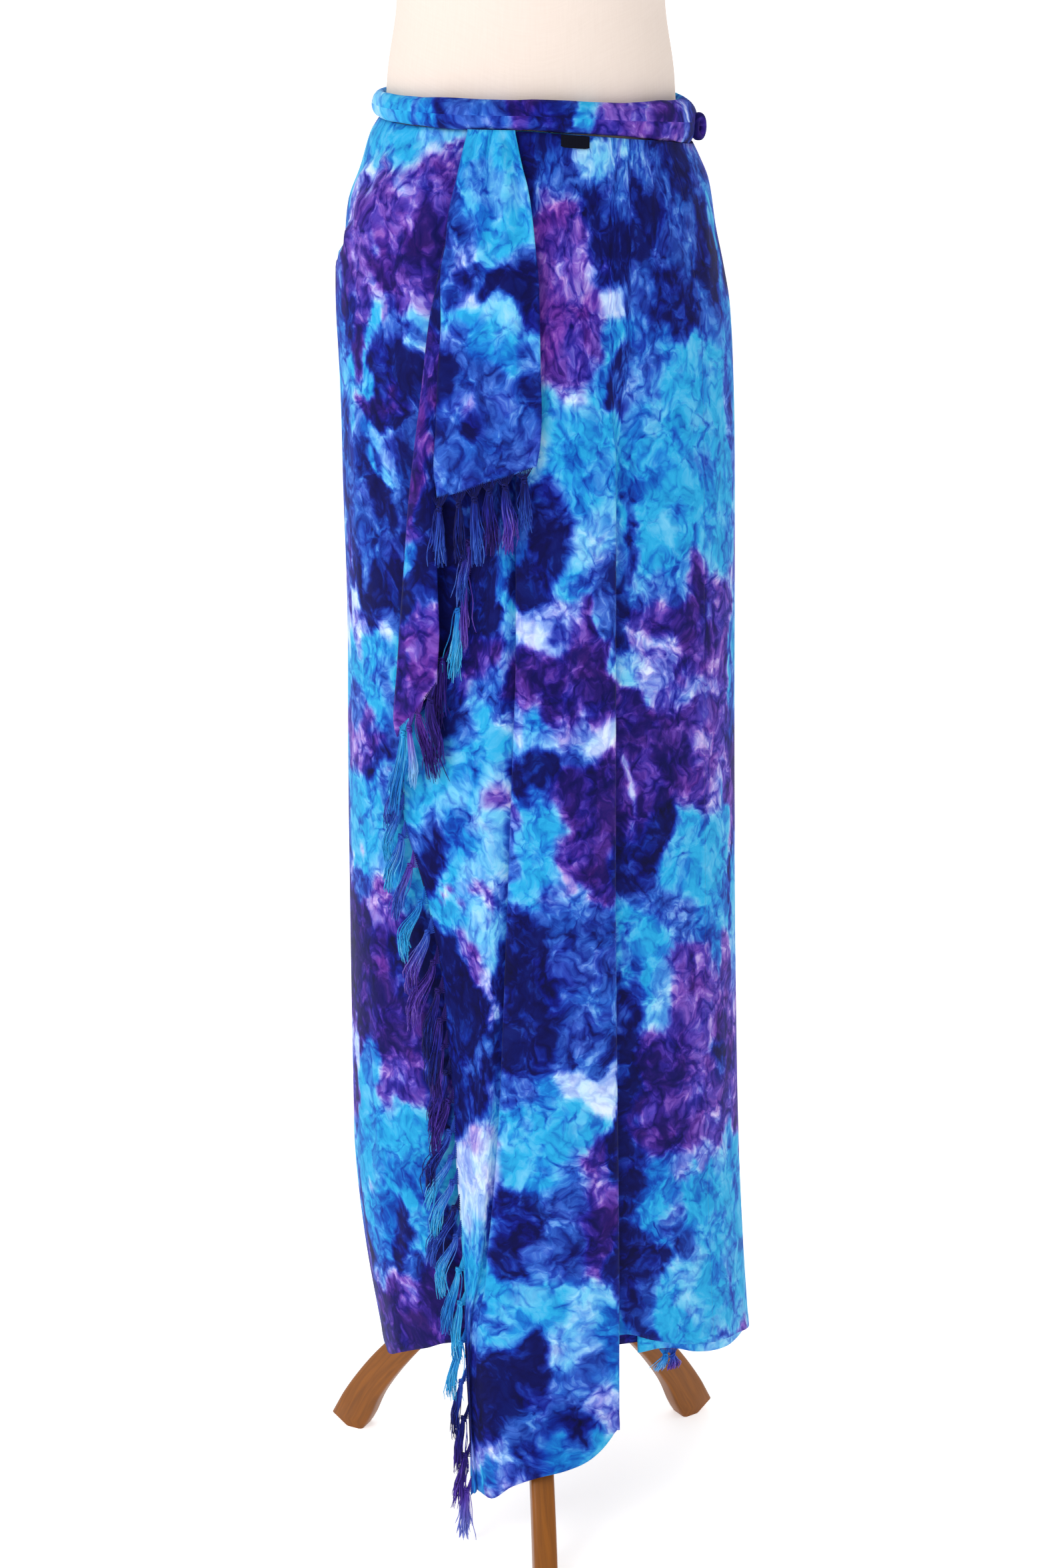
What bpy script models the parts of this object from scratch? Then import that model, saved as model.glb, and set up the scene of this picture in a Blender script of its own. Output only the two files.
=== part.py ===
# A fringed, tie-dyed sarong wound round a limbless dress form that stands on a wooden tripod.
# Metres, +Z up. The front faces -Y. The floor is z = 0 and the feet stand on it.
# The form, the pole and the wrap share one upright axis, STAND_AT. Every shape is worked out
# round that axis first, and moved to STAND_AT when its object is made.
# Angles go round the axis from the front: 0 is the front, +90 the right side (+X), 180 the back.

import math

import bmesh
import bpy
from mathutils import Vector

# Where the upright axis stands, so that the whole part is centred on the origin
STAND_AT = (-0.0053, 0.0307)

# Driving sizes
CLOTH_WALL = 0.0013        # thickness given to the cloth
SEAT_GAP = 0.0004          # what touching pieces keep between them
POLE_RADIUS = 0.0125
HUB_RADIUS = 0.030         # the legs start just outside it
HUB_BOTTOM = 0.148
HUB_TOP = 0.200
LEG_WIDTH = 0.020
LEG_ANGLES = {"leg_front": 4.0, "leg_right": 124.0, "leg_left": -116.0}

# Colours, roughness and metal
FINISHES = {
    "cloth_turquoise": ((0.03, 0.42, 0.72, 1.0), 0.75, 0.0),
    "cloth_blue": ((0.05, 0.08, 0.42, 1.0), 0.75, 0.0),
    "cloth_violet": ((0.16, 0.05, 0.42, 1.0), 0.75, 0.0),
    "cloth_purple": ((0.09, 0.02, 0.26, 1.0), 0.75, 0.0),
    "thread_blue": ((0.10, 0.20, 0.62, 1.0), 0.80, 0.0),
    "label_navy": ((0.01, 0.012, 0.03, 1.0), 0.70, 0.0),
    "linen_cream": ((0.88, 0.80, 0.70, 1.0), 0.85, 0.0),
    "wood_brown": ((0.34, 0.15, 0.05, 1.0), 0.50, 0.0),
}

# The waist roll, by angle: height of its middle, its height, and its radial thickness
ROLL_COLUMNS = ("angle", "middle_z", "tall", "thick")
ROLL = [
    (-180.0, 1.2220, 0.0240, 0.0110),
    (-135.0, 1.2240, 0.0220, 0.0100),
    (-90.0, 1.2254, 0.0202, 0.0086),
    (-45.0, 1.2256, 0.0225, 0.0130),
    (-20.0, 1.2257, 0.0234, 0.0165),
    (0.0, 1.2257, 0.0237, 0.0150),
    (45.0, 1.2185, 0.0280, 0.0125),
    (90.0, 1.2115, 0.0330, 0.0110),
    (135.0, 1.2170, 0.0280, 0.0110),
    (180.0, 1.2220, 0.0240, 0.0110),
]
# The roll's middle line: half widths to the left and right, depths to the front and back
ROLL_LEFT, ROLL_RIGHT, ROLL_FRONT, ROLL_BACK = 0.1192, 0.1250, 0.0995, 0.0990

# Outer face of the single layer on the left side, by height
LEFT_SIDE = [
    (0.134, 0.1325), (0.236, 0.1475), (0.335, 0.1555), (0.463, 0.1555), (0.660, 0.1545),
    (0.821, 0.1525), (0.932, 0.1540), (1.045, 0.1525), (1.100, 0.1495), (1.149, 0.1455),
    (1.176, 0.1355), (1.204, 0.1265), (1.2150, 0.1195),
]
# Outer face of the outermost layer on the right side, by height
RIGHT_SIDE = [
    (0.144, 0.1980), (0.236, 0.1905), (0.335, 0.1845), (0.463, 0.1795), (0.660, 0.1735),
    (0.932, 0.1675), (1.002, 0.1650), (1.067, 0.1605), (1.100, 0.1545), (1.129, 0.1480),
    (1.166, 0.1415), (1.184, 0.1340), (1.1950, 0.1285),
]
# Middle of the innermost layer at the front and the back, by height
FRONT_SIDE = [
    (0.060, 0.1230), (0.400, 0.1200), (0.660, 0.1180), (0.950, 0.1165), (1.050, 0.1150),
    (1.112, 0.1135), (1.162, 0.1080), (1.195, 0.1010), (1.2134, 0.0965),
]
BACK_SIDE = [
    (0.100, 0.1400), (0.400, 0.1370), (0.660, 0.1350), (0.950, 0.1330), (1.050, 0.1300),
    (1.112, 0.1215), (1.162, 0.1100), (1.195, 0.1020), (1.2100, 0.0980),
]
# How far apart the layers lie, by height: 1 is loose
LAYER_EASE = [(0.95, 1.0), (1.10, 0.72), (1.18, 0.52), (1.216, 0.48)]

# Layer offsets from the innermost layer, where they lie loose
LAYER_INNER_TURN = 0.0032
LAYER_INNER_END = 0.0064
LAYER_OUTER_SIDE = 0.0098
LAYER_PANEL_UNDER = 0.0058
LAYER_PANEL_RETURN = 0.0098
LAYER_PANEL = 0.0138
LAYER_CREASE_UNDER = 0.0104
LAYER_STRIP = 0.0070
LAYER_CASCADE, LAYER_CASCADE_TOP = 0.0150, 0.0134
LAYER_FLAP, LAYER_FLAP_TOP = 0.0220, 0.0171

# Lines on the front, each as sideways places by height
PANEL_FOLD_X = [
    (0.110, 0.0772), (0.276, 0.0755), (0.399, 0.0731), (0.577, 0.0697), (0.714, 0.0684),
    (0.868, 0.0670), (1.020, 0.0657), (1.216, 0.0640),
]
PANEL_FOLD_OVERLAP = [
    (0.110, 0.0660), (0.400, 0.0440), (0.700, 0.0240), (0.900, 0.0100), (1.000, 0.0040),
]
PLEATS_PART = (1.062, 1.100)      # between these heights the layers of a pleat come apart
PLEATS_FOLD = (0.960, 1.062)      # between these its folds come out from under each other
PLEATS_LEAN = (0.880, 0.965)      # and between these they begin to lean
FULL_STEP_OVERLAP = 0.0120
CREASE_X = [
    (0.060, -0.0420), (0.150, -0.0475), (0.220, -0.0460), (0.265, -0.0385), (0.338, -0.0310),
    (0.430, -0.0252), (0.577, -0.0195), (0.740, -0.0139), (0.800, -0.0118), (0.908, -0.0117),
    (1.216, -0.0110),
]
CREASE_OVERLAP = 0.0100
FRINGED_EDGE_X = [
    (0.056, -0.0515), (0.116, -0.0529), (0.193, -0.0560), (0.245, -0.0558), (0.307, -0.0591),
    (0.386, -0.0632), (0.433, -0.0649), (0.474, -0.0690), (0.522, -0.0720), (0.577, -0.0806),
    (0.612, -0.0888), (0.665, -0.1035), (0.727, -0.1035), (0.755, -0.0905), (0.774, -0.0782),
    (0.796, -0.0700), (0.870, -0.0490), (0.940, -0.0430), (1.100, -0.0360), (1.216, -0.0330),
]
STRIP_COMES_FORWARD = (0.700, 0.800)   # above this the strip beside the crease falls back into a recess

# Hem heights by angle: the inner layer, and the outer layer as far as the panel's fold
INNER_HEM = [
    (-180.0, 0.126), (-135.0, 0.127), (-90.0, 0.134), (-70.0, 0.141), (-52.0, 0.162),
    (-40.0, 0.175), (-27.0, 0.189), (0.0, 0.190), (40.0, 0.186), (90.0, 0.176),
]
OUTER_HEM = [
    (24.0, 0.199), (32.0, 0.191), (42.0, 0.179), (50.0, 0.170), (58.0, 0.163), (70.0, 0.158),
    (80.0, 0.153), (90.0, 0.147), (110.0, 0.138), (135.0, 0.132), (180.0, 0.126),
]
# Hem heights through the big pleat, by the number of the pleat's point
PLEAT_HEM = [(0, 0.199), (3, 0.168), (6, 0.118), (8, 0.117)]
PANEL_FULLNESS = 0.0030
# Hem heights along the front panel, by sideways place
PANEL_HEM = [
    (-0.0560, 0.0600), (-0.0350, 0.0660), (-0.0020, 0.0830), (0.0380, 0.0930), (0.0600, 0.0990),
    (0.0740, 0.1100), (0.0800, 0.1185),
]
# Low down the panel hangs over the front leg, which pushes it forward
LEG_PUSH, LEG_PUSH_HEIGHTS, LEG_PUSH_X, LEG_PUSH_SPREAD = 0.0260, (0.080, 0.150), 0.0120, 0.0450
INNER_END_HEM = [(40.0, 0.161), (48.0, 0.167), (57.0, 0.176), (66.0, 0.160), (76.0, 0.156), (90.0, 0.160)]

# The fold line of the swag over the left hip, by angle, and how far it stands out
SWAG_LINE = [
    (-100.0, 1.100), (-90.0, 1.109), (-75.0, 1.130), (-62.0, 1.172), (-45.0, 1.190), (-20.0, 1.212),
]
SWAG_OUT = 0.0070

# Soft upright folds that grow towards the hem: angle, half spread, height at the hem
SOFT_FOLDS = [
    (-152.0, 9.0, 0.0060), (-118.0, 8.0, 0.0040), (-80.0, 7.0, -0.0020), (-58.0, 6.0, 0.0030),
    (74.0, 7.0, -0.0025), (112.0, 8.0, 0.0050), (139.0, 7.0, -0.0030), (163.0, 9.0, 0.0065),
    (182.0, 7.0, -0.0030),
]

# The cascade: sideways places of its left fold and right edge by height, and its lower edge
CASCADE_LEFT = [
    (0.727, -0.1056), (0.746, -0.1107), (0.785, -0.1076), (0.825, -0.1045), (0.877, -0.1002),
    (0.928, -0.0960), (0.967, -0.0914), (1.018, -0.0847), (1.069, -0.0786), (1.116, -0.0694),
    (1.140, -0.0630), (1.165, -0.0570), (1.2130, -0.0440),
]
CASCADE_RIGHT = [
    (0.755, -0.0760), (0.796, -0.0743), (0.825, -0.0725), (0.870, -0.0737), (0.971, -0.0745),
    (1.060, -0.0600), (1.116, -0.0500), (1.2130, -0.0340),
]
CASCADE_DOWN = 14
CASCADE_LOWER_EDGE = [(0.0, 0.790), (0.25, 0.778), (0.5, 0.757), (0.75, 0.742), (0.9, 0.732), (1.0, 0.738)]

# The flap: sideways places of its two edges by height, and its fringed lower edge
FLAP_LEFT = [
    (0.936, -0.0726), (0.960, -0.0755), (0.990, -0.0737), (1.032, -0.0719), (1.068, -0.0691),
    (1.112, -0.0688), (1.128, -0.0656), (1.156, -0.0624), (1.179, -0.0567), (1.2005, -0.0515),
    (1.2134, -0.0480),
]
FLAP_RIGHT = [
    (0.958, 0.0030), (0.978, 0.0069), (1.007, 0.0083), (1.042, 0.0073), (1.078, 0.0067), (1.108, 0.0057),
    (1.128, 0.0036), (1.156, 0.0005), (1.174, -0.0025), (1.189, -0.0065), (1.2134, -0.0120),
]
FLAP_LOWER_EDGE = [(0.0, 0.937), (0.25, 0.943), (0.5, 0.951), (0.75, 0.957), (1.0, 0.964)]
FLAP_PLEATS, FLAP_PLEAT_DEEP, FLAP_CROWN = 3, 0.0036, 0.0040
FLAP_ACROSS, FLAP_DOWN = 12, 12

SHOULDER = 1.205           # a height just under the roll, where the layers lie flat on each other

# Drops below the roll at which every layer has a row, and shares of what is left below them
TOP_DROPS = (0.0, 0.008, 0.020, 0.038, 0.060, 0.085, 0.115, 0.150, 0.175, 0.200, 0.230, 0.260)
INNER_DROPS = TOP_DROPS[:8] + (0.200, 0.260, 0.350, 0.450, 0.560, 0.670, 0.780)
OUTER_DROPS = TOP_DROPS + (0.340, 0.410, 0.450, 0.480, 0.520, 0.565, 0.615, 0.665, 0.740, 0.820)
INNER_TAIL = (0.55, 1.0)
OUTER_TAIL = (0.34, 0.62, 0.84, 1.0)

# The form's sections: height, half width, depth to the front, depth to the back
FORM = [
    (0.937, 0.0930, 0.0700, 0.0800),
    (0.948, 0.1300, 0.0950, 0.1050),
    (0.972, 0.1460, 0.1060, 0.1200),
    (1.012, 0.1480, 0.1100, 0.1250),
    (1.062, 0.1450, 0.1100, 0.1230),
    (1.112, 0.1380, 0.1060, 0.1130),
    (1.150, 0.1285, 0.1010, 0.1040),
    (1.184, 0.1195, 0.0955, 0.0970),
    (1.204, 0.1155, 0.0925, 0.0940),
    (1.2254, 0.1140, 0.0908, 0.0925),
    (1.2529, 0.1120, 0.0890, 0.0900),
    (1.3034, 0.1045, 0.0860, 0.0830),
    (1.345, 0.1065, 0.0880, 0.0830),
    (1.402, 0.1190, 0.1000, 0.0900),
    (1.462, 0.1340, 0.1200, 0.0980),
    (1.512, 0.1400, 0.1180, 0.1020),
    (1.572, 0.1480, 0.0980, 0.1000),
    (1.612, 0.1530, 0.0800, 0.0920),
    (1.642, 0.1300, 0.0640, 0.0760),
    (1.662, 0.0900, 0.0540, 0.0620),
    (1.677, 0.0620, 0.0500, 0.0560),
    (1.702, 0.0550, 0.0480, 0.0520),
    (1.732, 0.0540, 0.0470, 0.0500),
]
FORM_SIDES = 28
BUST_HEIGHT, BUST_SPREAD, BUST_OUT = 1.482, 0.040, 0.010
DISC_RADIUS, DISC_THICK = 0.060, 0.012


# Reading the tables
def read(table, at, column=1):
    """Smooth value of a table at a place, held flat past its ends."""
    if at <= table[0][0]:
        return table[0][column]
    if at >= table[-1][0]:
        return table[-1][column]
    i = max(k for k in range(len(table) - 1) if table[k][0] <= at)
    slopes = []
    for k in (i, i + 1):
        low, high = max(k - 1, 0), min(k + 1, len(table) - 1)
        slopes.append((table[high][column] - table[low][column]) / (table[high][0] - table[low][0]))
    span = table[i + 1][0] - table[i][0]
    t = (at - table[i][0]) / span
    start, end = table[i][column], table[i + 1][column]
    if (end - start) * slopes[0] <= 0.0:
        slopes[0] = 0.0
    if (end - start) * slopes[1] <= 0.0:
        slopes[1] = 0.0
    return (
        start * (1 + 2 * t) * (1 - t) ** 2
        + slopes[0] * span * t * (1 - t) ** 2
        + end * t * t * (3 - 2 * t)
        + slopes[1] * span * t * t * (t - 1)
    )


def ramp(low, high, at):
    """0 below low, 1 above high, smooth between them."""
    t = min(max((at - low) / (high - low), 0.0), 1.0)
    return t * t * (3.0 - 2.0 * t)


def mix(a, b, share):
    return a + (b - a) * share


# The shape that the wrap hangs in
def ease(z):
    return read(LAYER_EASE, z)


def soft_fold(angle, z):
    """How far the soft upright folds and the swag push every layer out at one place."""
    grow = min(max((1.19 - z) / 1.05, 0.0), 1.0) ** 1.3
    out = 0.0
    for middle, spread, height in SOFT_FOLDS:
        turn = (angle - middle + 180.0) % 360.0 - 180.0
        out += height * grow * math.exp(-((turn / spread) ** 2))
    if -112.0 < angle < -22.0:
        below = read(SWAG_LINE, angle) - z
        share = ramp(-112.0, -92.0, angle) * (1.0 - ramp(-40.0, -22.0, angle))
        out += SWAG_OUT * share * ramp(-0.002, 0.012, below) * math.exp(-((max(below, 0.0) / 0.085) ** 2))
    return out


def around(angle, z, layer):
    """Point of a layer at an angle and a height, layer being its offset where it lies loose."""
    turn = math.radians(angle)
    side, depth = math.sin(turn), math.cos(turn)
    out = layer * ease(z) + soft_fold(angle, z)
    if side < 0.0:
        half = read(LEFT_SIDE, z) - CLOTH_WALL / 2
    else:
        half = read(RIGHT_SIDE, z) - CLOTH_WALL / 2 - LAYER_OUTER_SIDE * ease(z)
    reach = read(FRONT_SIDE, z) if depth > 0.0 else read(BACK_SIDE, z)
    x = side * (half + out)
    push = 0.0
    if depth > 0.0 and layer > LAYER_STRIP - 0.001:
        beside = (x - LEG_PUSH_X) / LEG_PUSH_SPREAD
        push = LEG_PUSH * (1.0 - ramp(*LEG_PUSH_HEIGHTS, z)) * math.exp(-(beside ** 2))
    return Vector((x, -depth * (reach + out) - push, z))


def angle_of(x, z, layer):
    """Angle at which a layer on the front passes a sideways place."""
    low, high = -80.0, 80.0
    for _ in range(24):
        middle = (low + high) / 2
        if around(middle, z, layer).x < x:
            low = middle
        else:
            high = middle
    return (low + high) / 2


def on_front(x, z, layer):
    return around(angle_of(x, z, layer), z, layer)


def roll_value(angle, name):
    turn = (angle + 180.0) % 360.0 - 180.0
    return read(ROLL, turn, ROLL_COLUMNS.index(name))


def wall_top(angle):
    """Height of the cloth's upper edge, just under the roll."""
    return roll_value(angle, "middle_z") - roll_value(angle, "tall") / 2 - SEAT_GAP


# The outer stretch of the wrap, from the back round the right side to the fringed edge
def outer_stations():
    """Names and places along the outer layer, in the order in which the cloth runs."""
    stations = [("angle", angle) for angle in OUTER_ANGLES]
    stations += [("right", share) for share in (0.25, 0.50, 0.75)]
    stations += [("pleat", k) for k in range(len(PLEAT))]
    stations += [("panel", share) for share in (0.2, 0.4, 0.6, 0.8)]
    stations += [("crease", k) for k in range(len(CREASE))]
    stations += [("strip", share) for share in (0.16, 0.32, 0.48, 0.64, 0.82, 1.0)]
    return stations


# Each pleat point: share of the overlap, sideways step, layer, and its place when the pleat is open
PLEAT = [
    (0.0, 0.0060, LAYER_PANEL_UNDER, 0.0120),
    (0.5, 0.0000, LAYER_PANEL_UNDER, 0.0090),
    (1.0, 0.0022, LAYER_PANEL_UNDER, 0.0060),
    (1.0, 0.0000, (LAYER_PANEL_UNDER + LAYER_PANEL_RETURN) / 2, 0.0030),
    (1.0, 0.0022, LAYER_PANEL_RETURN, 0.0000),
    (0.5, 0.0000, LAYER_PANEL_RETURN, -0.0030),
    (0.0, -0.0022, LAYER_PANEL_RETURN, -0.0060),
    (0.0, 0.0000, (LAYER_PANEL_RETURN + LAYER_PANEL) / 2, -0.0090),
    (0.0, -0.0022, LAYER_PANEL, -0.0120),
]
# Each crease point: sideways place when folded, layer, and its place when the crease is open
CREASE = [
    (0.0022, LAYER_PANEL, 0.0100),
    (0.0000, (LAYER_PANEL + LAYER_CREASE_UNDER) / 2, 0.0070),
    (0.0022, LAYER_CREASE_UNDER, 0.0040),
    (CREASE_OVERLAP - 0.0010, LAYER_CREASE_UNDER, 0.0015),
    (CREASE_OVERLAP + 0.0012, (LAYER_CREASE_UNDER + LAYER_STRIP) / 2, -0.0010),
    (CREASE_OVERLAP - 0.0010, LAYER_STRIP, -0.0040),
    (-0.0020, LAYER_STRIP, -0.0070),
]
LAYER_OPEN = 0.0098        # the layer of the outer cloth where its pleats lie open, near the roll


def pleat_state(z):
    """How far a pleat's layers are parted, it is folded, and its folds lean, at a height."""
    return 1.0 - ramp(*PLEATS_PART, z), 1.0 - ramp(*PLEATS_FOLD, z), ramp(*PLEATS_LEAN, z)


def pleat_point(k, z):
    """Sideways place and layer of a point of the big pleat at a height."""
    share, step, layer, flat = PLEAT[k]
    parted, folded, lean = pleat_state(z)
    fold_x, overlap = read(PANEL_FOLD_X, z), read(PANEL_FOLD_OVERLAP, z)
    place = step * min(1.0, overlap / FULL_STEP_OVERLAP) - share * overlap
    layer = mix(layer, mix(LAYER_PANEL_UNDER, LAYER_PANEL, k / (len(PLEAT) - 1)), lean)
    return fold_x + mix(flat, place, folded), mix(LAYER_OPEN, layer, parted)


def crease_point(k, z):
    """Sideways place and layer of a point of the narrow crease at a height."""
    place, layer, flat = CREASE[k]
    parted, folded, lean = pleat_state(z)
    layer = mix(layer, mix(LAYER_PANEL, LAYER_STRIP, k / (len(CREASE) - 1)), lean)
    return read(CREASE_X, z) + mix(flat, place, folded), mix(LAYER_OPEN, layer, parted)


def strip_layer(share, z):
    """The strip beside the crease: it lies forward low down, and falls back into a recess higher up."""
    low_down = LAYER_STRIP + 0.0035 * math.sin(math.pi * min(share / 0.55, 1.0)) + 0.0010 * share
    near_cascade = math.exp(-(((z - 0.735) / 0.035) ** 2)) * ramp(0.5, 0.9, share)
    low_down -= 0.0035 * near_cascade
    recess = mix(LAYER_STRIP + 0.0035, 0.0036, ramp(0.40, 0.62, share))
    open_top = ramp(*PLEATS_PART, z)
    deep = ramp(*STRIP_COMES_FORWARD, z) * (1.0 - open_top)
    return mix(mix(low_down, recess, deep), mix(LAYER_OPEN, 0.0060, share), open_top)


def outer_place(kind, value, z):
    """Point of the outer layer at a station and a height."""
    if kind == "angle":
        layer = LAYER_OUTER_SIDE * (1.0 - ramp(95.0, 176.0, value))
        return around(value, z, layer)
    if kind == "right":
        end_x, end_layer = pleat_point(0, z)
        angle = mix(OUTER_ANGLES[-1], angle_of(end_x, z, end_layer), value)
        return around(angle, z, mix(LAYER_OUTER_SIDE, end_layer, ramp(0.0, 1.0, value)))
    if kind == "pleat":
        x, layer = pleat_point(value, z)
        return on_front(x, z, layer)
    if kind == "crease":
        x, layer = crease_point(value, z)
        return on_front(x, z, layer)
    if kind == "panel":
        start_x, start_layer = pleat_point(len(PLEAT) - 1, z)
        end_x, end_layer = crease_point(0, z)
        fullness = PANEL_FULLNESS * math.sin(math.pi * value) * (1.0 - ramp(0.9, 1.2, z))
        return on_front(mix(start_x, end_x, value), z, mix(start_layer, end_layer, value) + fullness)
    start_x = crease_point(len(CREASE) - 1, z)[0]
    return on_front(mix(start_x, read(FRINGED_EDGE_X, z), value), z, strip_layer(value, z))


def outer_hem(kind, value):
    """Hem height at a station of the outer layer."""
    if kind == "angle":
        return read(OUTER_HEM, value)
    if kind == "right":
        return read(OUTER_HEM, mix(OUTER_ANGLES[-1], 26.0, value))
    if kind == "pleat":
        return read(PLEAT_HEM, value)
    if kind == "panel":
        return read(PANEL_HEM, mix(PANEL_HEM[-1][0], PANEL_HEM[1][0], value))
    if kind == "crease":
        return PANEL_HEM[1][1]
    return mix(PANEL_HEM[1][1], PANEL_HEM[0][1], value)


def rows_for(top, hem, drops=INNER_DROPS, tail=INNER_TAIL):
    """Heights of a wall's rows from its upper edge to its hem."""
    heights = [top - drop for drop in drops]
    last = heights[-1]
    return heights + [mix(last, hem, share) for share in tail]


def top_angle(kind, value):
    """Angle at which a station meets the roll."""
    if kind == "angle":
        return value
    place = outer_place(kind, value, SHOULDER)
    return math.degrees(math.atan2(place.x / ROLL_RIGHT, -place.y / ROLL_FRONT))


# Making objects
def material(name):
    """A finish from the table above, made once."""
    if name in bpy.data.materials:
        return bpy.data.materials[name]
    colour, rough, metal = FINISHES[name]
    made = bpy.data.materials.new(name)
    made.use_nodes = True
    shader = made.node_tree.nodes["Principled BSDF"]
    shader.inputs["Base Color"].default_value = colour
    shader.inputs["Roughness"].default_value = rough
    shader.inputs["Metallic"].default_value = metal
    made.diffuse_color = colour
    return made


def finish_object(name, bm, finish, smooth_angle=40.0):
    """Turn a bmesh round the axis into an object that stands at STAND_AT."""
    mesh = bpy.data.meshes.new(name)
    bm.to_mesh(mesh)
    bm.free()
    mesh.materials.append(material(finish))
    mesh.shade_smooth()
    mesh.set_sharp_from_angle(angle=math.radians(smooth_angle))
    made = bpy.data.objects.new(name, mesh)
    made.location = (STAND_AT[0], STAND_AT[1], 0.0)
    bpy.context.scene.collection.objects.link(made)
    return made


def make_wall(name, columns, finish, thickness=CLOTH_WALL):
    """A cloth wall from columns of points: a grid bent to them and given its thickness."""
    across, down = len(columns) - 1, len(columns[0]) - 1
    bm = bmesh.new()
    bmesh.ops.create_grid(bm, x_segments=across, y_segments=down, size=0.5)
    for vert in bm.verts:
        column = round((vert.co.x + 0.5) * across)
        row = round((0.5 - vert.co.y) * down)
        vert.co = columns[column][row]
    made = finish_object(name, bm, finish)
    wall = made.modifiers.new("cloth", "SOLIDIFY")
    wall.thickness = thickness
    wall.offset = 0.0
    wall.use_even_offset = False
    wall.use_rim = True
    return made


def make_rings(name, rings, finish, smooth_angle=40.0):
    """A closed solid through rings of points, with its ends filled."""
    bm = bmesh.new()
    loops = []
    for ring in rings:
        verts = [bm.verts.new(point) for point in ring]
        loops.append([bm.edges.new((verts[k], verts[(k + 1) % len(verts)])) for k in range(len(verts))])
    for low, high in zip(loops, loops[1:]):
        bmesh.ops.bridge_loops(bm, edges=low + high)
    for loop in (loops[0], loops[-1]):
        bmesh.ops.contextual_create(bm, geom=loop)
    bmesh.ops.recalc_face_normals(bm, faces=bm.faces)
    return finish_object(name, bm, finish, smooth_angle)


def make_turned(name, profile, finish, sides=24):
    """A turned solid from (radius, height) pairs that start and end on the axis."""
    bm = bmesh.new()
    verts = [bm.verts.new((radius, 0.0, z)) for radius, z in profile]
    edges = [bm.edges.new(pair) for pair in zip(verts, verts[1:])]
    bmesh.ops.spin(
        bm, geom=verts + edges, cent=(0.0, 0.0, 0.0), axis=(0.0, 0.0, 1.0),
        angle=math.tau, steps=sides, use_merge=True,
    )
    bmesh.ops.remove_doubles(bm, verts=bm.verts, dist=0.00001)
    bmesh.ops.recalc_face_normals(bm, faces=bm.faces)
    return finish_object(name, bm, finish)


# The dress form and its stand
def make_form():
    """The limbless form: rings through its sections, closed below and at the neck."""
    rings = []
    for z, half, front, back in FORM:
        ring = []
        for k in range(FORM_SIDES):
            turn = math.tau * k / FORM_SIDES
            side, depth = math.sin(turn), math.cos(turn)
            reach = front if depth > 0.0 else back
            bust = BUST_OUT * math.exp(-(((z - BUST_HEIGHT) / BUST_SPREAD) ** 2))
            bust *= math.exp(-(((abs(side) - 0.50) / 0.25) ** 2)) if depth > 0.0 else 0.0
            ring.append((side * half, -depth * reach - bust, z))
        rings.append(ring)
    make_rings("form_body", rings, "linen_cream")


def make_form_trim():
    """The wooden disc under the form, the turned neck cap, the pole and the hub."""
    disc_top = FORM[0][0] - SEAT_GAP
    disc_low = disc_top - DISC_THICK
    disc = [(0.0, disc_top), (DISC_RADIUS, disc_top), (DISC_RADIUS, disc_low), (0.0, disc_low)]
    make_turned("form_base", disc, "wood_brown")
    neck = FORM[-1][0] + SEAT_GAP
    cap = [(0.0, 0.0), (0.050, 0.0), (0.050, 0.006), (0.044, 0.010), (0.020, 0.0136), (0.0, 0.0146)]
    make_turned("neck_cap", [(radius, neck + rise) for radius, rise in cap], "wood_brown")
    pole_top = disc_low - SEAT_GAP
    pole_low = HUB_TOP + SEAT_GAP
    pole = [(0.0, pole_low), (POLE_RADIUS, pole_low), (POLE_RADIUS, pole_top), (0.0, pole_top)]
    make_turned("pole", pole, "wood_brown", sides=16)
    hub = [
        (0.0, HUB_BOTTOM), (HUB_RADIUS - 0.006, HUB_BOTTOM), (HUB_RADIUS, HUB_BOTTOM + 0.006),
        (HUB_RADIUS, HUB_TOP - 0.010), (HUB_RADIUS - 0.010, HUB_TOP), (0.0, HUB_TOP),
    ]
    make_turned("hub", hub, "wood_brown")


# A leg's sections from the hub to the floor: distance from the axis and height of the upper edge,
# then the same of the lower edge. The last section lies flat on the floor, from toe to heel.
LEG_SECTIONS = [
    (0.0304, 0.1905, 0.0304, 0.1610), (0.0520, 0.1800, 0.0480, 0.1520), (0.0860, 0.1590, 0.0760, 0.1350),
    (0.1140, 0.1300, 0.1000, 0.1080), (0.1380, 0.1040, 0.1200, 0.0840), (0.1580, 0.0810, 0.1370, 0.0610),
    (0.1770, 0.0550, 0.1520, 0.0370), (0.1920, 0.0310, 0.1620, 0.0140), (0.2025, 0.0105, 0.1665, 0.0055),
    (0.1880, 0.0000, 0.1700, 0.0000),
]
LEG_ROUND = 0.0035


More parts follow.
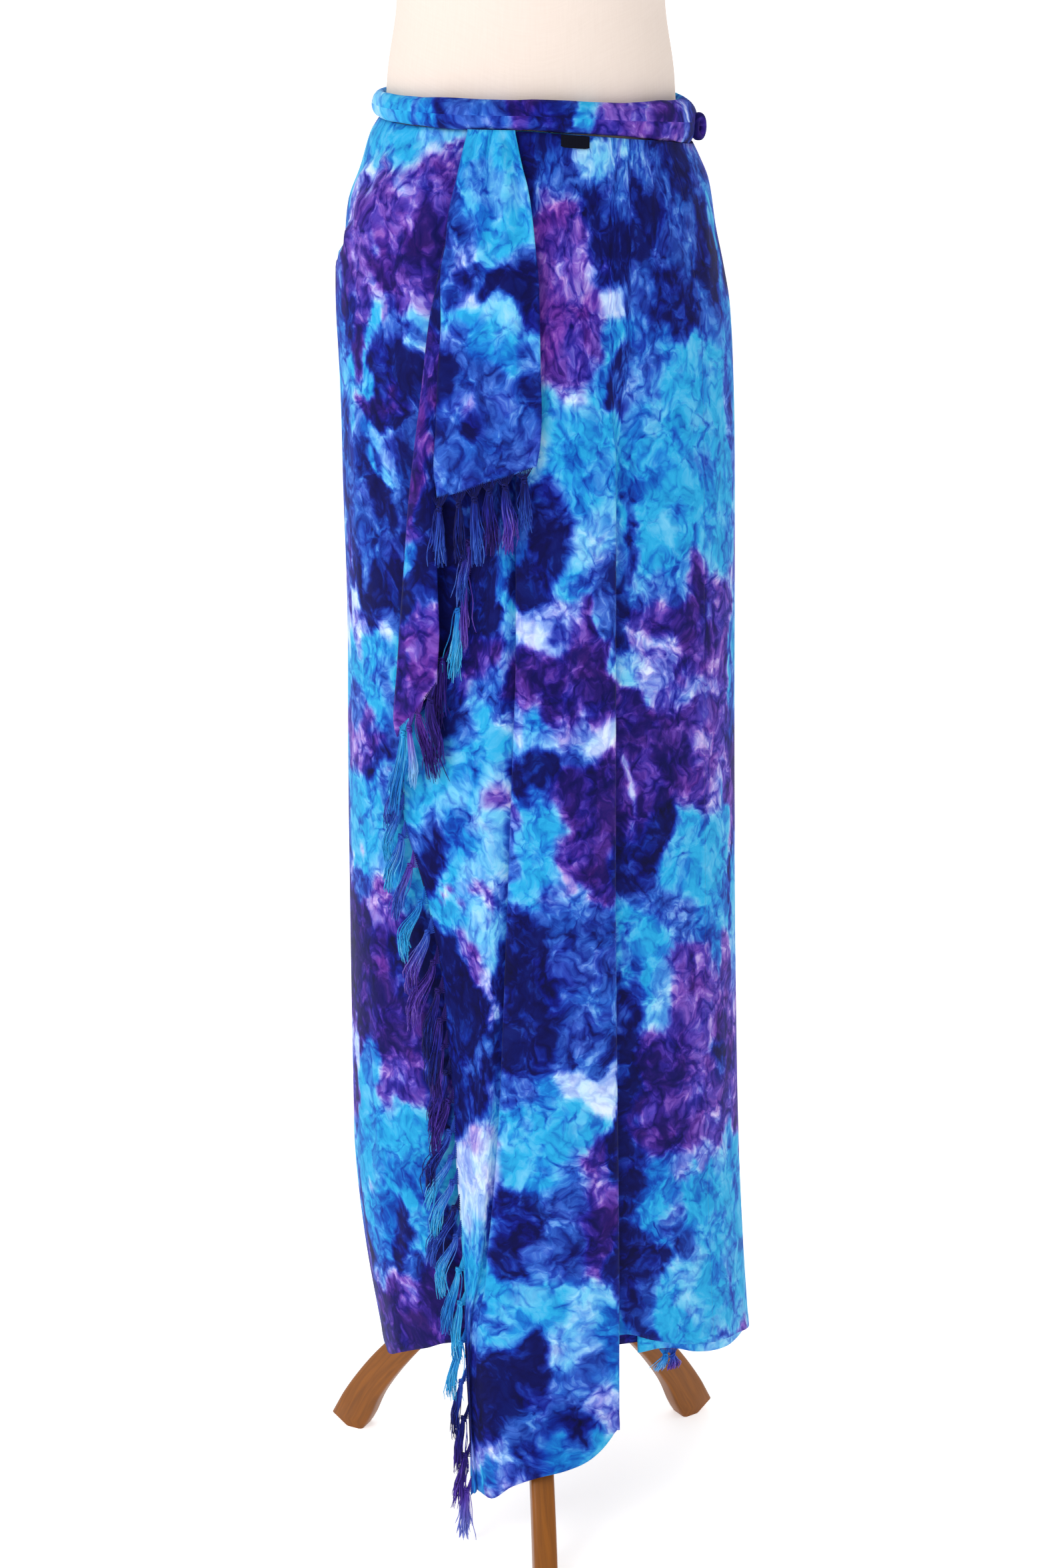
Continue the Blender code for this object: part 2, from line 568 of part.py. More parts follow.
def make_leg(name, angle):
    """A curved board from the hub to the floor, with its long edges rounded and a flat foot."""
    turn = math.radians(angle)
    out = Vector((math.sin(turn), -math.cos(turn), 0.0))
    wide = Vector((math.cos(turn), math.sin(turn), 0.0)) * (LEG_WIDTH / 2)
    narrow = wide * (1.0 - 2.0 * LEG_ROUND / LEG_WIDTH)
    rings = []
    for far, high, near, low in LEG_SECTIONS:
        upper, lower = out * far + Vector((0, 0, high)), out * near + Vector((0, 0, low))
        inset = (lower - upper).normalized() * LEG_ROUND
        rings.append([
            upper - narrow, upper + narrow, upper + inset + wide, lower - inset + wide,
            lower + narrow, lower - narrow, lower - inset - wide, upper + inset - wide,
        ])
    make_rings(name, rings, "wood_brown", 30.0)


# The waist roll
def roll_centre(angle):
    turn = math.radians(angle)
    side, depth = math.sin(turn), math.cos(turn)
    half = ROLL_RIGHT if side > 0.0 else ROLL_LEFT
    reach = ROLL_FRONT if depth > 0.0 else ROLL_BACK
    return Vector((side * half, -depth * reach, roll_value(angle, "middle_z")))


def roll_out(angle):
    """Level direction straight out of the roll's middle line."""
    step = roll_centre(angle + 1.0) - roll_centre(angle - 1.0)
    return Vector((-step.y, step.x, 0.0)).normalized() * -1.0


ROLL_STATIONS, ROLL_SIDES = 44, 10
ROLL_TWISTS, ROLL_RIDGE = 9, 0.05


def close_ring(bm, sections):
    """Join loops of edges into a closed ring, the last to the first."""
    for low, high in zip(sections, sections[1:] + sections[:1]):
        bmesh.ops.bridge_loops(bm, edges=low + high)
    bmesh.ops.recalc_face_normals(bm, faces=bm.faces)


def make_roll():
    """The rolled top of the cloth: a closed ring of oval sections, slightly ridged by its twist."""
    bm = bmesh.new()
    sections = []
    for k in range(ROLL_STATIONS):
        angle = -180.0 + 360.0 * k / ROLL_STATIONS
        centre, out = roll_centre(angle), roll_out(angle)
        thick, tall = roll_value(angle, "thick") / 2, roll_value(angle, "tall") / 2
        verts = []
        for j in range(ROLL_SIDES):
            turn = math.tau * j / ROLL_SIDES
            ridge = 1.0 - ROLL_RIDGE * math.cos(turn + ROLL_TWISTS * math.radians(angle) / 2) ** 2
            point = out * (thick * math.cos(turn)) + Vector((0, 0, tall * math.sin(turn)))
            verts.append(bm.verts.new(centre + point * ridge))
        sections.append([bm.edges.new((verts[j], verts[(j + 1) % ROLL_SIDES])) for j in range(ROLL_SIDES)])
    close_ring(bm, sections)
    finish_object("waist_roll", bm, "cloth_violet")


TUCK_ANGLE, TUCK_BELOW, TUCK_SUNK = 82.0, 0.0035, 0.0003
TUCK_LOOP, TUCK_TALL, TUCK_THICK = 0.0068, 1.35, 0.0036
TUCK_STATIONS, TUCK_SIDES = 14, 8


def make_tuck():
    """The end of the twist on the right, turned back on itself as a small loop with a hole."""
    out = roll_out(TUCK_ANGLE)
    along = Vector((-out.y, out.x, 0.0))
    up = Vector((0.0, 0.0, 1.0))
    reach = roll_value(TUCK_ANGLE, "thick") / 2 + TUCK_THICK - TUCK_SUNK
    middle = roll_centre(TUCK_ANGLE) + out * reach - up * TUCK_BELOW
    bm = bmesh.new()
    sections = []
    for k in range(TUCK_STATIONS):
        turn = math.tau * k / TUCK_STATIONS
        ray = along * math.cos(turn) + up * (TUCK_TALL * math.sin(turn))
        centre = middle + ray * TUCK_LOOP
        verts = []
        for j in range(TUCK_SIDES):
            bend = math.tau * j / TUCK_SIDES
            section = ray.normalized() * math.cos(bend) + out * math.sin(bend)
            verts.append(bm.verts.new(centre + section * TUCK_THICK))
        sections.append([bm.edges.new((verts[j], verts[(j + 1) % TUCK_SIDES])) for j in range(TUCK_SIDES)])
    close_ring(bm, sections)
    finish_object("waist_tuck", bm, "cloth_violet")


# The cloth walls
UNDER_ANGLES = (
    88, 80, 72, 64, 56, 48, 38, 28, 18, 8, -2, -12, -22, -31, -40, -48, -56, -64, -72, -80, -88,
    -96, -105, -114, -123, -132, -141, -150, -160, -170, -179.8,
)
OUTER_ANGLES = (180, 170, 160, 150, 140, 130, 120, 110, 102, 95, 88, 80, 72, 64, 56, 48)


def make_under_wrap():
    """Inner layer: from the right side across the front and the left side to the middle of the back."""
    columns = []
    for angle in UNDER_ANGLES:
        heights = rows_for(wall_top(angle), read(INNER_HEM, angle))
        columns.append([around(angle, z, 0.0) for z in heights])
    make_wall("under_wrap", columns, "cloth_turquoise")


def make_outer_wrap():
    """Outer layer: from the middle of the back round the right side, over the pleat, to the fringed edge.

    Returns its last two columns, the fringed edge and the one beside it."""
    columns = []
    for kind, value in outer_stations():
        top, hem = wall_top(top_angle(kind, value)), outer_hem(kind, value)
        columns.append([outer_place(kind, value, z) for z in rows_for(top, hem, OUTER_DROPS, OUTER_TAIL)])
    make_wall("outer_wrap", columns, "cloth_blue")
    return columns[-1], columns[-2]


def top_under_roll(place):
    """Height at which a layer meets the underside of the roll, place giving its point at a height."""
    point = place(SHOULDER)
    angle = math.degrees(math.atan2(point.x / ROLL_RIGHT, -point.y / ROLL_FRONT))
    beside = (point - roll_centre(angle)).dot(roll_out(angle)) - CLOTH_WALL / 2
    rise = math.sqrt(1.0 - min(max(beside / (roll_value(angle, "thick") / 2), 0.0), 0.5) ** 2)
    return roll_value(angle, "middle_z") - roll_value(angle, "tall") / 2 * rise - 1.5 * SEAT_GAP


# The inner end of the cloth, laid back on itself: its angles as it runs forward, and as it turns back
INNER_END_OUT = (88.5, 80.0, 72.0, 64.0, 56.0, 48.0, 42.2)
INNER_END_FOLD = 41.2
INNER_END_BACK = (42.2, 48.0, 56.0)


def make_inner_end():
    """The inner end, laid back on itself between the inner and the outer layer, and turned under.

    Returns the lower edge of the part that is turned back, and the row above it."""
    run = [(angle, LAYER_INNER_END) for angle in INNER_END_OUT]
    run += [(INNER_END_FOLD, (LAYER_INNER_END + LAYER_INNER_TURN) / 2)]
    run += [(angle, LAYER_INNER_TURN) for angle in INNER_END_BACK]
    columns = []
    for angle, layer in run:
        heights = rows_for(wall_top(angle), read(INNER_END_HEM, angle))
        columns.append([around(angle, z, layer) for z in heights])
    make_wall("inner_end", columns, "cloth_turquoise", CLOTH_WALL * 0.9)
    turned = columns[-3:]
    return [column[-1] for column in turned], [column[-2] for column in turned]


# The cascade's section: share of its cloth, share of its width, and offset from its layer
CASCADE_SECTION = [
    (0.0, 0.06, -0.0060), (0.14, 0.0, 0.0), (0.5, 0.5, 0.0035), (0.86, 0.985, -0.0010), (0.93, 1.0, -0.0030),
    (1.0, 0.94, -0.0052),
]


def cascade_place(share, z):
    """Point of the cascade, share 0 at its turned right edge and 1 where its left fold turns under."""
    across = mix(read(CASCADE_SECTION, share), share, ramp(1.070, 1.125, z))
    depth = read(CASCADE_SECTION, share, 2) * (1.0 - ramp(1.110, 1.165, z))
    layer = mix(LAYER_CASCADE, LAYER_CASCADE_TOP, ramp(1.130, 1.180, z)) + depth
    return on_front(mix(read(CASCADE_RIGHT, z), read(CASCADE_LEFT, z), across), z, layer)


def make_cascade():
    """The strip of cloth that falls from the tuck in a long fold, behind the flap.

    Returns its fringed lower edge and the row above it."""
    columns = []
    for share in (0.0, 0.14, 0.32, 0.5, 0.68, 0.86, 0.93, 1.0):
        top = top_under_roll(lambda z: cascade_place(share, z))
        hem = read(CASCADE_LOWER_EDGE, share)
        heights = [mix(top, hem, (k / CASCADE_DOWN) ** 1.15) for k in range(CASCADE_DOWN + 1)]
        columns.append([cascade_place(share, z) for z in heights])
    make_wall("cascade", columns, "cloth_purple")
    fringed = columns[1:6]
    return [column[-1] for column in fringed], [column[-2] for column in fringed]


def flap_place(share, z):
    """Point of the flap, share 0 at its left edge and 1 at its right edge."""
    deep = mix(0.35, 1.0, ramp(1.000, 1.180, z)) * (1.0 - ramp(1.190, 1.215, z))
    pleat = FLAP_PLEAT_DEEP * (0.5 + 0.5 * math.sin(math.tau * (FLAP_PLEATS * share + 0.15))) * deep
    crown = FLAP_CROWN * math.sin(math.pi * share) * (1.0 - ramp(1.150, 1.215, z))
    layer = mix(LAYER_FLAP, LAYER_FLAP_TOP, ramp(1.150, 1.205, z)) + pleat + crown
    return on_front(mix(read(FLAP_LEFT, z), read(FLAP_RIGHT, z), share), z, layer)


def make_flap():
    """The outer corner of the cloth, tucked under the roll and hanging down as a pleated flap.

    Returns its fringed lower edge and the row above it."""
    columns = []
    for k in range(FLAP_ACROSS + 1):
        share = k / FLAP_ACROSS
        top, hem = top_under_roll(lambda z: flap_place(share, z)), read(FLAP_LOWER_EDGE, share)
        columns.append([flap_place(share, mix(top, hem, row / FLAP_DOWN)) for row in range(FLAP_DOWN + 1)])
    make_wall("flap", columns, "cloth_turquoise")
    return [column[-1] for column in columns], [column[-2] for column in columns]


LABEL_LEFT, LABEL_RIGHT, LABEL_DROP, LABEL_THICK, LABEL_OUT = 0.0226, 0.0442, 0.0094, 0.0008, 0.0030


def make_label():
    """The bare woven tab under the roll."""
    columns = []
    for k in range(4):
        x = mix(LABEL_LEFT, LABEL_RIGHT, k / 3)
        top = wall_top(angle_of(x, SHOULDER, LAYER_OPEN))
        columns.append([on_front(x, z, LAYER_OPEN + LABEL_OUT) for z in (top, top - LABEL_DROP)])
    make_wall("label", columns, "label_navy", LABEL_THICK)


# The fringe
STRIP_HIGH, STRIP_THICK = 0.0024, 0.0013
LOCKS = 3
LOCK_ROOT = 0.0024
SHINGLE = 0.14             # how far a tassel leans forward for each metre it hangs


def edge_lengths(edge):
    lengths = [0.0]
    for low, high in zip(edge, edge[1:]):
        lengths.append(lengths[-1] + (high - low).length)
    return lengths


def edge_frame(edge, inside, at):
    """Point, direction along, and direction away from the cloth, at a distance along a wall's edge."""
    lengths = edge_lengths(edge)
    at = min(max(at, 0.0), lengths[-1] - 0.00001)
    k = max(j for j in range(len(edge) - 1) if lengths[j] <= at)
    share = (at - lengths[k]) / (lengths[k + 1] - lengths[k])
    along = (edge[k + 1] - edge[k]).normalized()
    here, behind = edge[k].lerp(edge[k + 1], share), inside[k].lerp(inside[k + 1], share)
    outward = here - behind
    outward = (outward - along * outward.dot(along)).normalized()
    return here, along, outward


def make_fringe(name, edges, tassels, lean=SHINGLE):
    """A narrow strip just off a cloth edge, with tassels of locks drawn out of it.

    edges holds the points of a wall's edge and of the column or row beside it. tassels holds, for
    each one, its distance along the edge, its length, and how far its tip drifts sideways."""
    bm = bmesh.new()
    places = [
        (at + (k - LOCKS / 2) * LOCK_ROOT, k, (at, length, drift))
        for at, length, drift in tassels for k in range(LOCKS + 1)
    ]
    free = [(low[0], high[0]) for low, high in zip(places, places[1:]) if low[1] == LOCKS]
    corners = [at for at in edge_lengths(edges[0]) if any(low < at < high for low, high in free)]
    places = sorted(places + [(at, LOCKS, None) for at in corners], key=lambda place: place[0])
    sections, roots = [], []
    for place, number, tassel in places:
        here, along, outward = edge_frame(*edges, place)
        normal = along.cross(outward).normalized()
        if normal.y > 0.0:
            normal = -normal
        near = here + outward * SEAT_GAP
        far = near + outward * STRIP_HIGH
        half = normal * (STRIP_THICK / 2)
        corners = (near - half, far - half, far + half, near + half)
        sections.append([bm.verts.new(corner) for corner in corners])
        if number < LOCKS:
            at, length, drift = tassel
            roots.append((len(sections) - 1, number, length, drift, (*edge_frame(*edges, at)[1:], normal)))
    faces = {}
    for k, (first, second) in enumerate(zip(sections, sections[1:])):
        for side in range(4):
            other = (side + 1) % 4
            faces[k, side] = bm.faces.new((first[side], first[other], second[other], second[side]))
    bm.faces.new(sections[0])
    bm.faces.new(sections[-1][::-1])
    for index, number, length, drift, frame in roots:
        draw_lock(bm, faces[index, 1], number, length, drift, lean, frame)
    bmesh.ops.recalc_face_normals(bm, faces=bm.faces)
    if bm.calc_volume(signed=True) < 0.0:
        bmesh.ops.reverse_faces(bm, faces=bm.faces)
    return finish_object(name, bm, "thread_blue")


# Along a lock: how far down, as metres or a share of its length; share of its drift; half size; fan
LOCK_STATIONS = [
    (0.0040, 0.0, 0.10, 0.0008, 1.15), (0.0100, 0.0, 0.22, 0.0010, 1.40),
    (0.0, 0.62, 0.80, 0.0012, 1.85), (0.0, 1.0, 1.0, 0.0006, 1.95),
]
LOCK_BESIDE, LOCK_APART = 0.0032, 0.0036
LOCK_FORWARD = 0.014
LOCK_STEPS_ASIDE = (0.80, 0.96)    # how upright an edge is where its locks have to step off it
FLOOR_CLEAR = 0.0045


def draw_lock(bm, face, number, length, drift, lean, frame):
    """Extrude one lock of a tassel from its root face and let it hang."""
    along, outward, normal = frame
    root = before = face.calc_center_median()
    signs = []
    for loop in face.loops:
        corner = loop.vert.co - root
        signs.append((math.copysign(1.0, corner.dot(normal)), math.copysign(1.0, corner.dot(along))))
    turn = math.copysign(1.0, outward.cross(normal).dot(along))
    upright = ramp(*LOCK_STEPS_ASIDE, abs(along.z))
    nearest = number if along.z > 0.0 else LOCKS - 1 - number
    beside = upright * (LOCK_BESIDE + LOCK_APART * nearest)
    level_out = Vector((outward.x, outward.y, 0.0)).normalized() if upright > 0.0 else Vector()
    level_along = Vector((along.x, along.y, 0.0)).normalized() * (1.0 - upright)
    spread = (number - (LOCKS - 1) / 2) * LOCK_ROOT
    for metres, part, drifted, half, fan in LOCK_STATIONS:
        down = metres + part * length
        forward = lean * (down + LOCK_FORWARD * min(1.0, down / 0.006))
        middle = root + level_out * (beside * min(1.0, down / 0.008))
        middle += level_along * (spread * (fan - 1.0)) + Vector((drift * drifted, 0.0, -down))
        middle += Vector((normal.x, normal.y, 0.0)) * forward
        middle.z = max(middle.z, FLOOR_CLEAR)
        heading = (middle - before).normalized()
        across = heading.cross(normal).normalized() * turn
        fore = across.cross(heading) * math.copysign(1.0, across.cross(heading).dot(normal))
        face = bmesh.ops.extrude_discrete_faces(bm, faces=[face])["faces"][0]
        for loop, (front, side) in zip(face.loops, signs):
            loop.vert.co = middle + fore * (front * half) + across * (side * half)
        before = middle


def at_heights(edge, tassels):
    """Tassels given by the heights of their roots, as distances along an edge that runs downwards."""
    lengths = edge_lengths(edge)
    placed = []
    for z, length, drift in tassels:
        k = max(j for j in range(len(edge) - 1) if edge[j].z >= z)
        share = (edge[k].z - z) / (edge[k].z - edge[k + 1].z)
        placed.append((mix(lengths[k], lengths[k + 1], share), length, drift))
    return placed


# Tassels by the height of their roots, or their distance along the edge: place, length, sideways drift
FLAP_TASSELS = [
    (0.0050, 0.055, -0.001), (0.0190, 0.046, 0.000), (0.0330, 0.050, 0.000),
    (0.0470, 0.046, 0.000), (0.0610, 0.050, 0.001), (0.0745, 0.046, 0.001),
]
CASCADE_TASSELS = [(0.0050, 0.045, 0.0), (0.0230, 0.048, 0.0), (0.0400, 0.055, -0.001)]
RECESS_TASSELS = [(0.905, 0.048, 0.0), (0.880, 0.052, 0.0), (0.850, 0.045, 0.0)]
UPPER_TASSELS = [
    (0.688, 0.050, -0.004), (0.664, 0.045, -0.004), (0.640, 0.050, -0.006), (0.618, 0.050, -0.006),
]
MIDDLE_TASSELS = [
    (0.572, 0.050, -0.008), (0.548, 0.055, -0.010), (0.524, 0.060, -0.006), (0.500, 0.055, -0.004),
    (0.476, 0.055, -0.006), (0.452, 0.055, -0.008),
]
LOWER_TASSELS = [
    (0.400, 0.060, -0.010), (0.376, 0.055, -0.010), (0.352, 0.055, -0.012), (0.328, 0.050, -0.010),
    (0.304, 0.050, -0.008),
]
HEM_TASSELS = [
    (0.252, 0.055, -0.012), (0.216, 0.055, -0.008), (0.180, 0.055, -0.004), (0.142, 0.055, -0.002),
    (0.068, 0.050, -0.002),
]
INNER_TASSELS = [(0.0060, 0.040, -0.002)]


def make_fringes(outer_edge, inner_edge, cascade_edge, flap_edge):
    make_fringe("fringe_flap", flap_edge, FLAP_TASSELS, 0.03)
    make_fringe("fringe_cascade", cascade_edge, CASCADE_TASSELS, 0.05)
    edge_tassels = {
        "fringe_recess": RECESS_TASSELS, "fringe_upper": UPPER_TASSELS, "fringe_middle": MIDDLE_TASSELS,
        "fringe_lower": LOWER_TASSELS, "fringe_hem": HEM_TASSELS,
    }
    for name, tassels in edge_tassels.items():
        make_fringe(name, outer_edge, at_heights(outer_edge[0], tassels))
    make_fringe("fringe_inner", inner_edge, INNER_TASSELS, 0.02)


def main():
    for old in list(bpy.data.objects):
        bpy.data.objects.remove(old, do_unlink=True)
    make_form()
    make_form_trim()
    for name, angle in LEG_ANGLES.items():
        make_leg(name, angle)
    make_roll()
    make_tuck()
    make_under_wrap()
    inner_edge = make_inner_end()
    outer_edge = make_outer_wrap()
    cascade_edge = make_cascade()
    flap_edge = make_flap()
    make_label()
    make_fringes(outer_edge, inner_edge, cascade_edge, flap_edge)


main()
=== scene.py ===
"""A fringed, ice-dyed rayon sarong, wound round a limbless dress form on a wooden tripod.

Metres, +Z up, the front faces -Y. The form, the pole and the wrap share one upright axis, STAND_AT.
The cloth is worked out round that axis with the same tables as its solids, on a finer grid, and is
moved to STAND_AT when a piece is made. Angles go round from the front: +90 is the viewer's right.
"""

import logging
import math
import random
from dataclasses import dataclass, field, replace
from enum import Enum
from typing import Callable, Sequence

import bmesh
import bpy
import numpy as np
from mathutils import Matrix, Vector, noise
from mathutils.bvhtree import BVHTree


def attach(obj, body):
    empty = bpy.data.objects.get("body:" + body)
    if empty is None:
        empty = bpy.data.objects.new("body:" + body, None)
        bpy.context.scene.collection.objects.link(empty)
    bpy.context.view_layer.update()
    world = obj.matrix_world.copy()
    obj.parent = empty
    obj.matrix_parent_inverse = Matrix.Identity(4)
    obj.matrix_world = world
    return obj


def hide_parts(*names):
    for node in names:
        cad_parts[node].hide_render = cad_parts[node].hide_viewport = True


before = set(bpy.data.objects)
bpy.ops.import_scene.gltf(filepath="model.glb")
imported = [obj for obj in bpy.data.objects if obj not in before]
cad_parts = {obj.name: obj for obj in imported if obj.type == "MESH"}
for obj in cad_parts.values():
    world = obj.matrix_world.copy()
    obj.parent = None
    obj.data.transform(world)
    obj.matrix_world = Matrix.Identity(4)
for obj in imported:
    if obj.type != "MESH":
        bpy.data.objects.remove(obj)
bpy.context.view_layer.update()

LOG = logging.getLogger("sarong")
Tree, Socket = bpy.types.NodeTree, bpy.types.NodeSocket
Piece, Material = bpy.types.Object, bpy.types.Material
NOISE_SEED = 40                # of the noise that feathers the dye, the same at each run
GOLDEN_ANGLE = 2.39996         # radians between neighbours in a bunch of threads

# The photograph's frame and the camera that was fitted to it, relative to the upright axis
IMAGE_WIDE, IMAGE_TALL, FOCAL_PX = 1568, 2352, 4483.0
CAMERA_AT, CAMERA_PITCH = (-0.0065, -2.4000, 1.4620), math.radians(18.48)
PX_PER_M = 1770.0
STAND_AT = (-0.0053, 0.0307)
SEAT_GAP, CLOTH_WALL = 0.0004, 0.0013
ANGLE_HALVINGS = 17

# The waist roll's middle line and section, by angle
ROLL_COLUMNS = ("angle", "middle_z", "tall", "thick")
ROLL = [
    (-180.0, 1.2220, 0.0240, 0.0110), (-135.0, 1.2240, 0.0220, 0.0100), (-90.0, 1.2254, 0.0202, 0.0086),
    (-45.0, 1.2256, 0.0225, 0.0130), (-20.0, 1.2257, 0.0234, 0.0165), (0.0, 1.2257, 0.0237, 0.0150),
    (45.0, 1.2185, 0.0280, 0.0125), (90.0, 1.2115, 0.0330, 0.0110), (135.0, 1.2170, 0.0280, 0.0110),
    (180.0, 1.2220, 0.0240, 0.0110),
]
ROLL_LEFT, ROLL_RIGHT, ROLL_FRONT, ROLL_BACK = 0.1192, 0.1250, 0.0995, 0.0990

# How far the wrap reaches from the axis to each side at each height
LEFT_SIDE = [
    (0.134, 0.1325), (0.236, 0.1475), (0.335, 0.1555), (0.463, 0.1555), (0.660, 0.1545),
    (0.821, 0.1525), (0.932, 0.1540), (1.045, 0.1525), (1.100, 0.1495), (1.149, 0.1455),
    (1.176, 0.1355), (1.204, 0.1265), (1.2150, 0.1195),
]
RIGHT_SIDE = [
    (0.144, 0.1980), (0.236, 0.1905), (0.335, 0.1845), (0.463, 0.1795), (0.660, 0.1735),
    (0.932, 0.1675), (1.002, 0.1650), (1.067, 0.1605), (1.100, 0.1545), (1.129, 0.1480),
    (1.166, 0.1415), (1.184, 0.1340), (1.1950, 0.1285),
]
FRONT_SIDE = [
    (0.060, 0.1230), (0.400, 0.1200), (0.660, 0.1180), (0.950, 0.1165), (1.050, 0.1150),
    (1.112, 0.1135), (1.162, 0.1080), (1.195, 0.1010), (1.2134, 0.0965),
]
BACK_SIDE = [
    (0.100, 0.1400), (0.400, 0.1370), (0.660, 0.1350), (0.950, 0.1330), (1.050, 0.1300),
    (1.112, 0.1215), (1.162, 0.1100), (1.195, 0.1020), (1.2100, 0.0980),
]
# How loose the layers lie at each height: 1 is loose
LAYER_EASE = [(0.95, 1.0), (1.10, 0.72), (1.18, 0.52), (1.216, 0.48)]

# How far each layer lies out from the inner one, in metres
LAYER_INNER_END, LAYER_OUTER_SIDE = 0.0064, 0.0098
LAYER_PANEL_UNDER, LAYER_PANEL_RETURN, LAYER_PANEL = 0.0058, 0.0098, 0.0138
LAYER_CREASE_UNDER, LAYER_STRIP, LAYER_OPEN = 0.0104, 0.0070, 0.0098
LAYER_CASCADE, LAYER_CASCADE_TOP = 0.0150, 0.0134
LAYER_FLAP, LAYER_FLAP_TOP = 0.0220, 0.0171
LAYER_RECESS, LAYER_STRIP_TOP, LAYER_ROLL = 0.0036, 0.0060, 0.0160

# The front, by height: the big fold and how far it lies back on itself, the crease and the fringed edge
PANEL_FOLD_X = [
    (0.110, 0.0772), (0.276, 0.0755), (0.399, 0.0731), (0.577, 0.0697), (0.714, 0.0684),
    (0.868, 0.0670), (1.020, 0.0657), (1.216, 0.0640),
]
PANEL_FOLD_OVERLAP = [
    (0.110, 0.0660), (0.400, 0.0440), (0.700, 0.0240), (0.900, 0.0100), (1.000, 0.0040),
]
PLEATS_PART, PLEATS_FOLD, PLEATS_LEAN = (1.062, 1.100), (0.960, 1.062), (0.880, 0.965)
FULL_STEP_OVERLAP, CREASE_OVERLAP = 0.0120, 0.0100
CREASE_ENDS, CREASE_AT_HEM = (0.215, 0.290), 0.6
CREASE_X = [
    (0.060, -0.0420), (0.150, -0.0475), (0.220, -0.0460), (0.265, -0.0385), (0.338, -0.0310),
    (0.430, -0.0252), (0.577, -0.0195), (0.740, -0.0139), (0.800, -0.0118), (0.908, -0.0117),
    (1.216, -0.0110),
]
FRINGED_EDGE_X = [
    (0.056, -0.0515), (0.116, -0.0529), (0.193, -0.0560), (0.245, -0.0558), (0.307, -0.0591),
    (0.386, -0.0632), (0.433, -0.0649), (0.474, -0.0690), (0.522, -0.0720), (0.577, -0.0806),
    (0.612, -0.0888), (0.665, -0.1035), (0.727, -0.1035), (0.755, -0.0905), (0.774, -0.0782),
    (0.796, -0.0700), (0.870, -0.0490), (0.940, -0.0430), (1.100, -0.0360), (1.216, -0.0330),
]
STRIP_COMES_FORWARD, STRIP_SWELL = (0.700, 0.800), 0.0035

# The hems: angle, or sideways place, and height
INNER_HEM = [
    (-180.0, 0.126), (-135.0, 0.127), (-90.0, 0.134), (-70.0, 0.141), (-52.0, 0.162),
    (-40.0, 0.175), (-27.0, 0.189), (0.0, 0.190), (40.0, 0.186), (90.0, 0.176),
]
OUTER_HEM = [
    (24.0, 0.200), (32.0, 0.192), (42.0, 0.181), (50.0, 0.174), (58.0, 0.169), (70.0, 0.162),
    (80.0, 0.154), (90.0, 0.147), (110.0, 0.138), (135.0, 0.132), (180.0, 0.126),
]
PLEAT_HEM = [(0, 0.200), (3, 0.168), (6, 0.116), (8, 0.1145)]
PANEL_HEM = [
    (-0.0560, 0.0478), (-0.0350, 0.0556), (-0.0225, 0.0678), (-0.0080, 0.0790), (0.0000, 0.0853),
    (0.0120, 0.0893), (0.0260, 0.0916), (0.0420, 0.0922), (0.0490, 0.0928), (0.0560, 0.0947),
    (0.0615, 0.0970), (0.0685, 0.1018), (0.0745, 0.1080), (0.0800, 0.1150),
]
PANEL_FULLNESS = 0.0030
LEG_PUSH, LEG_PUSH_HEIGHTS, LEG_PUSH_X, LEG_PUSH_SPREAD = 0.0260, (0.080, 0.150), 0.0120, 0.0450
INNER_END_HEM = [
    (29.0, 0.178), (34.0, 0.180), (41.0, 0.176), (50.0, 0.165), (62.0, 0.157), (75.0, 0.152),
    (90.0, 0.152),
]
# The inner end from the right side to its turned edge and back behind itself: angle and layer
INNER_END_RUN = [
    (88.5, LAYER_INNER_END), (80.0, LAYER_INNER_END), (72.0, LAYER_INNER_END), (64.0, LAYER_INNER_END),
    (56.0, LAYER_INNER_END), (48.0, 0.0057), (42.0, 0.0050), (36.0, 0.0044), (31.2, 0.0040),
    (29.9, 0.0029), (31.2, 0.0018), (36.0, 0.0018), (42.0, 0.0018), (48.0, 0.0018),
]
# The swag under the roll at the left: its line by angle and height, and where it starts and ends
SWAG_LINE = [
    (-100.0, 1.100), (-90.0, 1.109), (-75.0, 1.130), (-62.0, 1.172), (-45.0, 1.190), (-20.0, 1.212),
]
SWAG_OUT, SWAG_ANGLES = 0.0070, (-112.0, -92.0, -40.0, -22.0)
SWAG_LIP, SWAG_FADE = (-0.002, 0.012), 0.085
# Soft upright folds: middle and half width in degrees, and height in metres where they are full
SOFT_FOLDS = [
    (-152.0, 9.0, 0.0060), (-118.0, 8.0, 0.0040), (-80.0, 7.0, -0.0020), (-58.0, 6.0, 0.0030),
    (74.0, 7.0, -0.0025), (112.0, 8.0, 0.0050), (139.0, 7.0, -0.0030), (163.0, 9.0, 0.0065),
    (182.0, 7.0, -0.0030),
]
SOFT_FOLDS_TOP, SOFT_FOLDS_RUN, SOFT_FOLDS_GROWTH = 1.19, 1.05, 1.3
